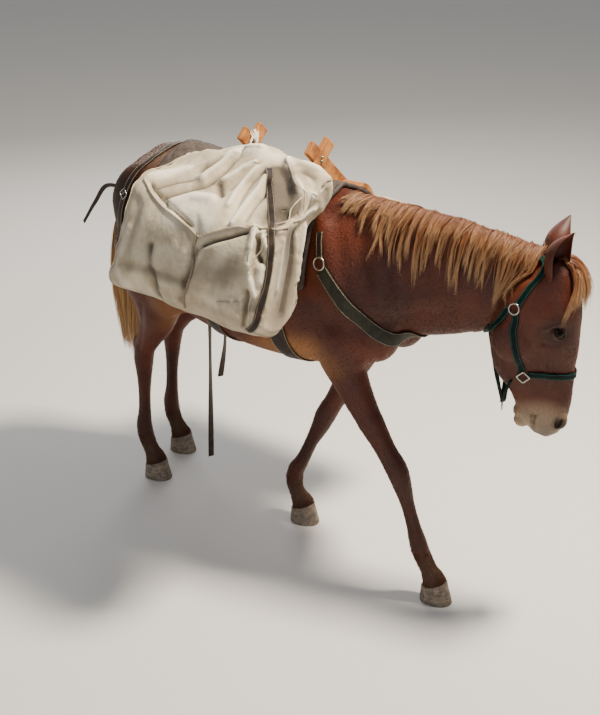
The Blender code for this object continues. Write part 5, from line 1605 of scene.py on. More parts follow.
@dataclass
class Forelock:
    """Long forelock that falls from between the ears over the brow and past the eyes."""

    locks: int = 11

    def grow(self, tree: BVHTree, unwrap: Unwrap) -> bpy.types.Object:
        """The forelock as one mesh of strands."""
        draw = np.random.default_rng(5)
        lines = []
        facing = []
        for index in range(self.locks):
            side = 2 * index / (self.locks - 1) - 1
            low = (0.090 if index % 3 else 0.150) + draw.uniform(-0.030, 0.030)
            bend = side * side
            route = [HEAD.at(-0.022, -0.105, 0.020 * side), HEAD.at(-0.048, -0.080, 0.026 * side),
                     HEAD.at(-0.030, -0.040 - 0.02 * bend, 0.044 * side),
                     HEAD.at(0.025, -0.002 - 0.04 * bend, 0.066 * side),
                     HEAD.at(0.090, 0.008 - 0.065 * bend, 0.088 * side),
                     HEAD.at(low, 0.004 - 0.085 * bend, 0.100 * side + draw.uniform(-0.01, 0.01))]
            rows = interpolate([(*place, 0.0) for place in route], 0.01)[:, :3]
            laid = []
            outs = []
            for number in np.linspace(0, len(rows) - 1, 12):
                place = Vector(rows[int(round(number))])
                touch, normal = tree.find_nearest(place)[:2]
                high = 0.004 + 0.004 * draw.random()
                inside = (place - touch).dot(normal) < high
                laid.append(touch + normal * high if inside else place)
                outs.append(normal)
            lines.append(laid)
            facing.append(outs)
        curtain = HairCurtain("forelock", 1300, 1.8 * MM, 31, clump=0.86, depth=0.010, wave=0.006,
                              stray=0.10)
        return curtain.build(np.array(lines, dtype=float), np.array(facing, dtype=float), unwrap)


@dataclass
class Tail:
    """Long tail of locks that leave the dock on all sides and hang to a ragged tip."""

    flesh: Flesh
    locks: int = 16
    tip: Vector = field(default_factory=lambda: Vector((-0.712, 0.0, 0.465)))

    def grow(self, unwrap: Unwrap) -> list[bpy.types.Object]:
        """The tail's long outer hair and its shorter hair over the dock."""
        made = []
        for name, seed, strands, reach, high in (("tail_long", 41, 3400, 1.0, 0.55),
                                                 ("tail_dock", 42, 2600, 0.50, 0.80)):
            guides, facing = self.lay(seed, reach, high)
            curtain = HairCurtain(name, strands, 2.6 * MM, seed, clump=0.72, depth=0.010,
                                  wave=0.006, stray=0.05)
            made.append(curtain.build(guides, facing, unwrap))
        return made

    def lay(self, seed: int, reach: float, high: float) -> tuple[np.ndarray, np.ndarray]:
        """Guide locks round the dock, each a share of the way to the tip."""
        draw = np.random.default_rng(seed)
        dock = interpolate(self.flesh.dock, 0.01)
        lines = []
        facing = []
        for index in range(self.locks + 1):
            angle = 2 * math.pi * (index % self.locks) / self.locks
            out = Vector((math.cos(angle), math.sin(angle), 0))
            row = dock[int(draw.uniform(1 - high, 1.0) * (len(dock) - 1))]
            root = Vector(row[:3]) + out * 0.010
            tip = self.tip + out * draw.uniform(0.012, 0.032) + UP * draw.uniform(0.0, 0.13)
            tip = root.lerp(tip, reach)
            spread = draw.uniform(0.026, 0.042)
            route = [root, root + out * spread * 0.7 + DOWN * 0.035,
                     root + out * spread + DOWN * 0.10,
                     root.lerp(tip, 0.55) + out * spread, root.lerp(tip, 0.80) + out * 0.014, tip]
            rows = interpolate([(*place, 0.0) for place in route], 0.01)[:, :3]
            spots = np.linspace(0, len(rows) - 1, 16)
            lines.append([rows[int(round(spot))] for spot in spots])
            facing.append([out] * 16)
        lines[-1] = lines[0]
        return np.array(lines, dtype=float), np.array(facing, dtype=float)


@dataclass
class TuftKind:
    """One kind of tuft that grows on the skin."""

    name: str
    density: float
    length: float
    width: float
    lift: float
    seed: int


@dataclass
class CoatTufts:
    """Short tufts that lie along the coat and break its outline, set by Geometry Nodes."""

    unwrap: Unwrap

    def blade(self, kind: TuftKind) -> bpy.types.Object:
        """One tuft of unit length along X: a thin spike of three sides."""
        half = 0.5 * kind.width / kind.length
        rise = kind.lift
        verts = np.array([(0, half, -0.02), (0, -half, -0.02), (0.25, 0, 0.5 * (half + rise)),
                          (1.0, 0, rise)])
        faces = [(0, 1, 2), (0, 3, 1), (0, 2, 3), (2, 1, 3)]
        return face_outwards(mesh_object("Tuft", verts, faces))

    def grow(self, skin: bpy.types.Object, kind: TuftKind, mask: np.ndarray,
             finish: Finish, shift: Vector) -> bpy.types.Object:
        """Scatter one kind of tuft over the skin.

        Args:
            skin: The skin, before it is moved to the frame.
            kind: The tufts' size and density.
            mask: How thickly they stand at each vertex of the skin, 0 to 1.
            finish: The coat's finish.
            shift: From the places of this file to the frame.

        Returns:
            One mesh of all the tufts.
        """
        base = skin.copy()
        base.data = skin.data.copy()
        base.name = kind.name
        bpy.context.scene.collection.objects.link(base)
        store(base, "thick", mask)
        blade = self.blade(kind)
        tree = self.tree(blade, finish.material(shift))
        modifier = base.modifiers.new("Tufts", "NODES")
        modifier.node_group = tree
        sizes = {"Density": kind.density, "Length": kind.length, "Seed": kind.seed}
        for item in tree.interface.items_tree:
            if item.name in sizes:
                modifier[item.identifier] = sizes[item.name]
        bake(base)
        remove(blade)
        bpy.data.node_groups.remove(tree)
        self.map_roots(base)
        return base

    def map_roots(self, obj: bpy.types.Object) -> None:
        """Give each tuft its patch on the flat layout at its root's place."""
        roots = np.empty(len(obj.data.vertices) * 3)
        obj.data.attributes["root"].data.foreach_get("vector", roots)
        roots = roots.reshape(-1, 3)
        corner = np.array([(0, 1), (0, 0), (0.25, 0.5), (1, 0.5)])
        patch = np.tile(corner, (len(roots) // len(corner), 1))
        for name in [layer.name for layer in obj.data.uv_layers]:
            obj.data.uv_layers.remove(obj.data.uv_layers[name])
        store_uv(obj, "OFBake", self.unwrap.spots(roots) + (patch - 0.5) * PATCH)

    @staticmethod
    def tree(blade: bpy.types.Object, material: bpy.types.Material) -> bpy.types.NodeTree:
        """Geometry Nodes that scatter a blade over a surface along its stored lie."""
        tree = bpy.data.node_groups.new("Coat tufts", "GeometryNodeTree")
        face = tree.interface
        face.new_socket(name="Geometry", in_out="INPUT", socket_type="NodeSocketGeometry")
        face.new_socket(name="Density", in_out="INPUT", socket_type="NodeSocketFloat")
        face.new_socket(name="Length", in_out="INPUT", socket_type="NodeSocketFloat")
        face.new_socket(name="Seed", in_out="INPUT", socket_type="NodeSocketInt")
        face.new_socket(name="Geometry", in_out="OUTPUT", socket_type="NodeSocketGeometry")
        given = add_node(tree, "NodeGroupInput").outputs
        thick = add_node(tree, "GeometryNodeInputNamedAttribute", {"Name": "thick"},
                         data_type="FLOAT").outputs[0]
        density = add_node(tree, "ShaderNodeMath", {0: given["Density"], 1: thick},
                           operation="MULTIPLY").outputs[0]
        scatter = add_node(tree, "GeometryNodeDistributePointsOnFaces",
                           {"Mesh": given["Geometry"], "Density": density, "Seed": given["Seed"]})
        lie = add_node(tree, "GeometryNodeInputNamedAttribute", {"Name": "lie"},
                       data_type="FLOAT_VECTOR").outputs[0]
        sway = add_node(tree, "FunctionNodeRandomValue", {"Min": (-0.16, -0.16, -0.16),
                        "Max": (0.16, 0.16, 0.16), "Seed": given["Seed"]},
                        data_type="FLOAT_VECTOR").outputs["Value"]
        along = add_node(tree, "ShaderNodeVectorMath", {0: lie, 1: sway}, operation="ADD")
        first = add_node(tree, "FunctionNodeAlignRotationToVector",
                         {"Vector": scatter.outputs["Normal"]}, axis="Z").outputs[0]
        turned = add_node(tree, "FunctionNodeAlignRotationToVector",
                          {"Rotation": first, "Vector": along.outputs[0]}, axis="X",
                          pivot_axis="Z").outputs[0]
        root = add_node(tree, "GeometryNodeInputPosition").outputs[0]
        kept = add_node(tree, "GeometryNodeStoreNamedAttribute",
                        {"Geometry": scatter.outputs["Points"], "Name": "root", "Value": root},
                        data_type="FLOAT_VECTOR", domain="POINT").outputs[0]
        shade = add_node(tree, "FunctionNodeRandomValue", {"Seed": given["Seed"]},
                         data_type="FLOAT").outputs[1]
        toned = add_node(tree, "GeometryNodeStoreNamedAttribute",
                         {"Geometry": kept, "Name": "tone", "Value": shade},
                         data_type="FLOAT", domain="POINT").outputs[0]
        spread = add_node(tree, "FunctionNodeRandomValue", {2: 0.6, 3: 1.25, "Seed": 7},
                          data_type="FLOAT").outputs[1]
        size = add_node(tree, "ShaderNodeMath", {0: given["Length"], 1: spread},
                        operation="MULTIPLY").outputs[0]
        shape = add_node(tree, "GeometryNodeObjectInfo", {"Object": blade}).outputs["Geometry"]
        placed = add_node(tree, "GeometryNodeInstanceOnPoints",
                          {"Points": toned, "Instance": shape, "Rotation": turned, "Scale": size})
        real = add_node(tree, "GeometryNodeRealizeInstances", {0: placed.outputs[0]}).outputs[0]
        dressed = add_node(tree, "GeometryNodeSetMaterial",
                           {"Geometry": real, "Material": material}).outputs[0]
        add_node(tree, "NodeGroupOutput", {0: dressed})
        return tree


@dataclass
class Eye:
    """Eyeball in its socket, with two thick lids round an almond opening."""

    side: Side
    flesh: Flesh

    def axes(self) -> tuple[Vector, Vector, Vector, Vector]:
        """The eye's middle, and its outward, forward and up directions."""
        below, forward, left = self.flesh.eye
        sign = self.side.value
        middle = HEAD.at(below, forward, sign * left)
        out = (HEAD.turn @ Vector((0.30, sign, -0.08))).normalized()
        ahead = HEAD.turn @ Vector((0.62, 0.0, -0.78))
        ahead = (ahead - out * ahead.dot(out)).normalized()
        up = out.cross(ahead) * -sign
        return middle, out, ahead, up

    def globe(self) -> bpy.types.Object:
        """The eyeball, a little fuller over the iris."""
        middle, out, ahead, up = self.axes()
        around = 48
        rings = 28
        verts = []
        spots = []
        for ring in range(1, rings):
            tilt = math.pi * ring / rings
            for index in range(around):
                swing = 2 * math.pi * index / around
                spread = math.sin(tilt)
                fuller = 1.0 + 0.035 * math.exp(-(tilt / 0.55) ** 4)
                flat = ahead * math.cos(swing) + up * math.sin(swing)
                radius = self.flesh.eye_radius * fuller
                verts.append(middle + (out * math.cos(tilt) + flat * spread) * radius)
                reach = tilt / 0.75
                spots.append((reach * math.cos(swing), reach * math.sin(swing)))
        faces = tube_faces(rings - 1, around)
        obj = face_outwards(mesh_object("eyeball_" + self.side.word, np.array(verts), faces))
        store_uv(obj, "EyeUV", np.array(spots))
        return obj

    def lids(self) -> bpy.types.Object:
        """Upper and lower lid as one ring that lies on the ball and runs into the skin."""
        middle, out, ahead, up = self.axes()
        radius = self.flesh.eye_radius
        around = 72
        # Share past the opening's edge in degrees, and height over the ball in millimetres
        section = ((1.5, 0.15), (0.0, 1.0), (-0.6, 1.9), (1.0, 2.9), (5.0, 3.3), (10.0, 2.2),
                   (15.0, 2.9), (22.0, 3.6), (33.0, 3.0), (48.0, 0.5), (60.0, -3.0), (44.0, -3.5),
                   (20.0, -1.5), (6.0, -0.3))
        verts = []
        for past, height in section:
            for index in range(around):
                swing = 2 * math.pi * index / around
                high = 33.0 if math.sin(swing) > 0 else 27.0
                level = abs(math.cos(swing) / 62.0) ** 1.8 + abs(math.sin(swing) / high) ** 1.8
                edge = level ** (-1 / 1.8)
                crease = 1.0 if math.sin(swing) > 0 or abs(height - 2.2) > 0.01 else 1.25
                tilt = math.radians(edge + past)
                flat = ahead * math.cos(swing) + up * math.sin(swing)
                ray = out * math.cos(tilt) + flat * math.sin(tilt)
                verts.append(middle + ray * (radius + height * crease * MM))
        rings = len(section)
        faces = [(ring * around + index, ring * around + (index + 1) % around,
                  ((ring + 1) % rings) * around + (index + 1) % around,
                  ((ring + 1) % rings) * around + index)
                 for ring in range(rings) for index in range(around)]
        obj = face_outwards(mesh_object("eyelids_" + self.side.word, np.array(verts), faces))
        store(obj, "upright", np.ones(len(verts)))
        return obj


@dataclass
class Hoof:
    """Unshod hoof with growth rings, a worn edge and a coronet that swells under the hair."""

    name: str
    rows: Sequence
    front: float = 0.086
    back: float = 0.046
    length: float = 0.128
    toe_angle: float = math.radians(52)

    def build(self) -> bpy.types.Object:
        """The hoof's wall and its flat sole."""
        x0, y0 = self.rows[-2][:2]
        slope = (self.front - self.back) / self.length
        middle = (self.front + self.back) / 2
        run = 0.42 * self.front / math.tan(self.toe_angle)
        levels = 30
        around = 64
        draw = np.random.default_rng(len(self.name))
        phase = draw.uniform(0, 6.28, 4)
        verts = []
        for level in range(levels):
            part = level / (levels - 1)
            for index in range(around):
                angle = 2 * math.pi * index / around
                ahead = math.cos(angle)
                length = 0.050 + (1 - part) * run if ahead > 0 else 0.046 + 0.004 * (1 - part)
                width = 0.046 + 0.008 * (1 - part)
                width *= 1.0 if ahead > 0 else 1.0 - 0.18 * ahead ** 2
                growth = 0.45 * MM * math.sin(part * 52 + 0.7 * math.sin(angle + phase[0]))
                worn = -1.6 * MM * math.exp(-(part / 0.03) ** 2)
                swell = 1.4 * MM * math.exp(-((part - 0.93) / 0.07) ** 2)
                cleft = -5 * MM * math.exp(-((angle - math.pi) / 0.22) ** 2) * part
                size = growth + worn + swell + cleft
                x = x0 + (length + size) * ahead
                top = middle + slope * (x - x0)
                verts.append((x, y0 + (width + size) * math.sin(angle), top * part))
        obj = mesh_object(self.name, np.array(verts), tube_faces(levels, around))
        return face_outwards(obj)


# Stage


@dataclass
class Stage:
    """Pale floor, soft studio lights and the camera at the photograph's angle."""

    shift: Vector
    azimuth: float = math.radians(39.47)
    elevation: float = math.radians(24.77)
    distance: float = 5.108
    focus: float = 1331.8
    picture_height: int = 715
    target: Vector = field(default_factory=lambda: Vector((0.232, 0.0, 0.736)))

    def back(self) -> Vector:
        """Direction from the target to the camera."""
        return Vector((math.sin(self.azimuth) * math.cos(self.elevation),
                       -math.cos(self.azimuth) * math.cos(self.elevation),
                       math.sin(self.elevation)))

    def spot(self, tree: BVHTree, column: float, row: float) -> Vector | None:
        """Place on a surface that the camera sees at a point of the 600 x 715 picture."""
        back = self.back()
        right = Vector((math.cos(self.azimuth), math.sin(self.azimuth), 0))
        aim = right * (column - 300) + back.cross(right) * (357.5 - row) - back * self.focus
        return tree.ray_cast(self.target + back * self.distance, aim.normalized())[0]

    def spots(self, line: Sequence, *trees: BVHTree) -> list[Vector]:
        """Places on the nearest of the surfaces at points of the picture, where it meets one."""
        eye = self.target + self.back() * self.distance
        places = []
        for column, row in line:
            hits = [self.spot(tree, column, row) for tree in trees]
            hits = [hit for hit in hits if hit is not None]
            if hits:
                places.append(min(hits, key=lambda hit: (hit - eye).length))
        return places

    def pulled(self, places: np.ndarray, pulls: np.ndarray, reach: float) -> np.ndarray:
        """How far each place moves when points of the picture are drawn to other points.

        Args:
            places: One row each.
            pulls: Rows of column and row in the picture, from and to.
            reach: Distance in the picture over which a pull fades.

        Returns:
            Moves that lie in the picture's plane.
        """
        back = np.array(self.back())
        right = np.array((math.cos(self.azimuth), math.sin(self.azimuth), 0.0))
        up = np.cross(back, right)
        away = places - np.array(self.target)
        depth = self.distance - away @ back
        picture = np.stack([300 + self.focus * (away @ right) / depth,
                            357.5 - self.focus * (away @ up) / depth], axis=1)
        gap = np.linalg.norm(picture[:, None] - pulls[None, :, :2], axis=2)
        share = np.exp(-(gap / reach) ** 2)
        step = share @ (pulls[:, 2:] - pulls[:, :2]) / np.maximum(share.sum(axis=1), 1.0)[:, None]
        size = depth / self.focus
        return right * (step[:, 0] * size)[:, None] - up * (step[:, 1] * size)[:, None]

    def camera(self) -> None:
        """Set the camera."""
        back = self.back()
        data = bpy.data.cameras.new("Camera")
        data.sensor_width = 36.0
        data.lens = self.focus / self.picture_height * data.sensor_width
        camera = bpy.data.objects.new("Camera", data)
        camera.location = self.target + self.shift + back * self.distance
        camera.rotation_mode = "QUATERNION"
        camera.rotation_quaternion = (-back).to_track_quat("-Z", "Y")
        bpy.context.scene.collection.objects.link(camera)
        bpy.context.scene.camera = camera

    def floor(self) -> None:
        """A wide pale floor."""
        size = 30.0
        verts = np.array([(-size, -size, 0), (size, -size, 0), (size, size, 0), (-size, size, 0)])
        floor = mesh_object("floor", verts, [(0, 1, 2, 3)], smooth=False)
        material = bpy.data.materials.new("Pale studio floor")
        material.use_nodes = True
        shader = material.node_tree.nodes["Principled BSDF"]
        shader.inputs["Base Color"].default_value = linear("#E4E1DC")
        shader.inputs["Roughness"].default_value = 0.85
        floor.data.materials.append(material)

    def light(self, name: str, place: Vector, power: float, size: float, colour: str) -> None:
        """One area light that looks at the middle of the animal."""
        data = bpy.data.lights.new(name, "AREA")
        data.energy = power
        data.size = size
        data.color = linear(colour)[:3]
        lamp = bpy.data.objects.new(name, data)
        lamp.location = place
        aim = Vector((0.0, 0.0, 0.9)) - place
        lamp.rotation_mode = "QUATERNION"
        lamp.rotation_quaternion = aim.to_track_quat("-Z", "Y")
        bpy.context.scene.collection.objects.link(lamp)

    def lights(self) -> None:
        """High key light from behind the load, a broad fill from the camera's side, pale sky."""
        self.light("Key", Vector((1.6, 1.0, 5.0)), 560, 0.8, "#FFF2DE")
        self.light("Fill", Vector((2.2, -5.2, 2.0)), 66, 4.5, "#F2F4FF")
        self.light("Back", Vector((-3.4, 2.6, 3.4)), 110, 3.0, "#FFFFFF")
        world = bpy.data.worlds.new("Studio")
        world.use_nodes = True
        world.node_tree.nodes["Background"].inputs["Color"].default_value = linear("#EEF1F5")
        world.node_tree.nodes["Background"].inputs["Strength"].default_value = 0.34
        bpy.context.scene.world = world

    def build(self) -> None:
        """Set the camera, the floor and the lights."""
        self.camera()
        self.floor()
        self.lights()


# Straps, rings and ropes


def tube(name: str, path: Sequence, radius: float, sides: int = 10, closed: bool = False,
         twist: float = 0.0, offset: float = 0.0, phase: float = 0.0) -> bpy.types.Object:
    """Round tube along a path, or one strand that winds round it.

    Args:
        name: Name of the object.
        path: Places, close together.
        radius: Radius of the tube.
        sides: Vertices round it.
        closed: Whether the path runs back to its start.
        twist: Full turns round the path, for a strand.
        offset: Distance of the strand's middle from the path.
        phase: Angle at which the strand starts.

    Returns:
        The closed mesh.
    """
    places = np.array(path, dtype=float)
    count = len(places)
    tangents = np.gradient(places, axis=0)
    if closed:
        tangents = np.roll(places, -1, axis=0) - np.roll(places, 1, axis=0)
    tangents = unit(tangents)
    side = Vector(tangents[0]).orthogonal().normalized()
    angles = 2 * math.pi * np.arange(sides) / sides
    verts = []
    for index, (place, tangent) in enumerate(zip(places, tangents)):
        along = Vector(tangent)
        side = (side - along * side.dot(along)).normalized()
        up = np.array(along.cross(side))
        across = np.array(side)
        swing = phase + 2 * math.pi * twist * index / max(1, count - 1)
        middle = place + offset * (math.cos(swing) * across + math.sin(swing) * up)
        verts.append(middle + radius * (np.cos(angles)[:, None] * across
                                        + np.sin(angles)[:, None] * up))
    faces = tube_faces(count, sides, not closed)
    if closed:
        last = (count - 1) * sides
        shift = int(np.argmin([np.linalg.norm(verts[-1] - np.roll(verts[0], -turn, axis=0))
                               for turn in range(sides)]))
        for index in range(sides):
            after = (index + 1) % sides
            faces.append((last + index, last + after, (after + shift) % sides,
                          (index + shift) % sides))
    return face_outwards(mesh_object(name, np.concatenate(verts), faces))


def laid_rope(name: str, path: Sequence, radius: float) -> bpy.types.Object:
    """Rope of three strands laid round each other, one turn in about six diameters."""
    rows = interpolate([(*place, 0.0) for place in path], radius * 0.8)[:, :3]
    turns = np.linalg.norm(np.diff(rows, axis=0), axis=1).sum() / (radius * 12)
    strands = [tube("Strand", rows, radius * 0.54, 7, twist=turns, offset=radius * 0.48,
                    phase=strand * 2 * math.pi / 3) for strand in range(3)]
    return join(strands, name)


def circle(place: Vector, normal: Vector, radius: float, count: int = 40) -> list[Vector]:
    """Places round a circle."""
    turn = Vector(normal).to_track_quat("Z", "Y").to_matrix()
    angles = [2 * math.pi * index / count for index in range(count)]
    return [place + turn @ Vector((math.cos(a), math.sin(a), 0)) * radius for a in angles]


@dataclass
class Strap:
    """Flat strap with rounded edges and a map in metres along and across it."""

    name: str
    width: float
    thickness: float
    step: float = 8 * MM
    lift: float = 2.5 * MM
    calm: int = 3
    rows: np.ndarray | None = None
    edges: list = field(default_factory=list)

    def over(self, route: Sequence, *trees: BVHTree) -> bpy.types.Object:
        """Lay the strap over surfaces, the first of which it follows.

        Args:
            route: Guide places near the first surface.
            trees: Search trees of the surfaces that it has to clear.

        Returns:
            The closed strap.
        """
        rows = interpolate([(*place, 0.0) for place in route], self.step)[:, :3]
        touches = [trees[0].find_nearest(Vector(row))[:2] for row in rows]
        middle = self.even(np.array([touch for touch, _ in touches]), self.calm)
        out = unit(self.even(np.array([normal for _, normal in touches]), 2 * self.calm))
        across = unit(np.cross(np.gradient(middle, axis=0), out))
        lift = np.zeros(len(rows))
        for share in np.linspace(-0.5, 0.5, 7):
            for index, place in enumerate(middle + across * self.width * share):
                for tree in trees:
                    touch, normal = tree.find_nearest(Vector(place))[:2]
                    if normal.dot(Vector(out[index])) > 0.5:
                        need = self.lift - (Vector(place) - touch).dot(normal)
                        lift[index] = max(lift[index], need)
        for _ in range(2):
            lift = np.maximum(lift, np.maximum(np.roll(lift, 1), np.roll(lift, -1)))
        middle = middle + out * self.even(lift[:, None], self.calm)
        return self.skin(middle, across, out)

    def hung(self, route: Sequence, facing: Vector) -> bpy.types.Object:
        """Hang the strap free with its face towards a direction."""
        rows = interpolate([(*place, 0.0) for place in route], self.step)[:, :3]
        across = unit(np.cross(np.gradient(rows, axis=0), np.array(facing)))
        out = unit(np.cross(across, np.gradient(rows, axis=0)))
        part = np.linspace(0, 1, len(rows))[:, None]
        swing = 0.35 * np.sin(part * 5.0)
        turned = unit(across * np.cos(swing) + out * np.sin(swing))
        out = unit(out * np.cos(swing) - across * np.sin(swing))
        return self.skin(rows - out * self.thickness / 2, turned, out)

    @staticmethod
    def even(values: np.ndarray, rounds: int) -> np.ndarray:
        """Smooth rows along a path and leave its two ends where they are."""
        for _ in range(rounds):
            inner = (values[:-2] + 2 * values[1:-1] + values[2:]) / 4
            values = np.concatenate([values[:1], inner, values[-1:]])
        return values

    def skin(self, middle: np.ndarray, across: np.ndarray, out: np.ndarray) -> bpy.types.Object:
        """Give the strap its rounded section and its map."""
        half = self.width / 2
        thick = self.thickness
        edge = min(0.35 * thick, half / 4)
        section = [(-half, 0.5 * thick), (edge / 2 - half, 0.85 * thick), (1.6 * edge - half, thick),
                   (-half / 3, 1.05 * thick), (half / 3, 1.05 * thick), (half - 1.6 * edge, thick),
                   (half - edge / 2, 0.85 * thick), (half, 0.5 * thick),
                   (half - edge / 2, 0.15 * thick), (half - 1.6 * edge, 0.0),
                   (1.6 * edge - half, 0.0), (edge / 2 - half, 0.15 * thick)]
        self.rows = middle + out * thick
        verts = np.stack([middle + across * a + out * b for a, b in section], axis=1)
        along = np.concatenate(([0.0], np.cumsum(np.linalg.norm(np.diff(middle, axis=0), axis=1))))
        obj = mesh_object(self.name, verts.reshape(-1, 3), tube_faces(len(middle), len(section)))
        face_outwards(obj)
        spots = [(a, share / half) for a in along for share, _ in section]
        store_uv(obj, "StrapUV", np.array(spots))
        self.edges = [(middle + across * side * (half - 3 * MM) + out * thick, out)
                      for side in (-1, 1)]
        return obj


@dataclass
class Stitching:
    """Rows of thread stitches along a strap's edges, set by Geometry Nodes."""

    spacing: float = 7 * MM
    length: float = 4.6 * MM
    radius: float = 0.7 * MM

    def along(self, name: str, strap: Strap, shift: Vector) -> bpy.types.Object:
        """Sew both edges of a strap.

        Args:
            name: Name of the piece.
            strap: A strap that has been built.
            shift: From the places of this file to the frame.

        Returns:
            One mesh of all the stitches.
        """
        places = []
        lies = []
        outs = []
        for edge, out in strap.edges:
            rows = interpolate(np.hstack([edge, out]), self.spacing)
            places.append(rows[1:-1, :3])
            outs.append(rows[1:-1, 3:])
            lies.append(np.gradient(rows[:, :3], axis=0)[1:-1])
        base = mesh_object(name, np.concatenate(places), [])
        store(base, "lie", unit(np.concatenate(lies)))
        store(base, "out", unit(np.concatenate(outs)))
        half = self.length / 2
        path = [(part * half, 0, -0.4 * self.radius * part * part) for part in (-1, -0.6, 0, 0.6, 1)]
        stitch = tube("Stitch", path, self.radius, 5)
        tree = self.tree(stitch, THREAD.material(shift))
        modifier = base.modifiers.new("Stitches", "NODES")
        modifier.node_group = tree
        for item in tree.interface.items_tree:
            if item.name == "Size":
                modifier[item.identifier] = 1.0
        bake(base)
        remove(stitch)
        bpy.data.node_groups.remove(tree)
        return base

    @staticmethod
    def tree(stitch: bpy.types.Object, material: bpy.types.Material) -> bpy.types.NodeTree:
        """Geometry Nodes that set a stitch on each vertex along its stored directions."""
        tree = bpy.data.node_groups.new("Stitches", "GeometryNodeTree")
        face = tree.interface
        face.new_socket(name="Geometry", in_out="INPUT", socket_type="NodeSocketGeometry")
        face.new_socket(name="Size", in_out="INPUT", socket_type="NodeSocketFloat")
        face.new_socket(name="Geometry", in_out="OUTPUT", socket_type="NodeSocketGeometry")
        given = add_node(tree, "NodeGroupInput").outputs
        lie, out = (add_node(tree, "GeometryNodeInputNamedAttribute", {"Name": name},
                             data_type="FLOAT_VECTOR").outputs[0] for name in ("lie", "out"))
        first = add_node(tree, "FunctionNodeAlignRotationToVector", {"Vector": out},
                         axis="Z").outputs[0]
        turned = add_node(tree, "FunctionNodeAlignRotationToVector",
                          {"Rotation": first, "Vector": lie}, axis="X", pivot_axis="Z").outputs[0]
        shape = add_node(tree, "GeometryNodeObjectInfo", {"Object": stitch}).outputs["Geometry"]
        placed = add_node(tree, "GeometryNodeInstanceOnPoints",
                          {"Points": given["Geometry"], "Instance": shape, "Rotation": turned,
                           "Scale": given["Size"]})
        real = add_node(tree, "GeometryNodeRealizeInstances", {0: placed.outputs[0]}).outputs[0]
        dressed = add_node(tree, "GeometryNodeSetMaterial",
                           {"Geometry": real, "Material": material}).outputs[0]
        add_node(tree, "NodeGroupOutput", {0: dressed})
        return tree


# The load


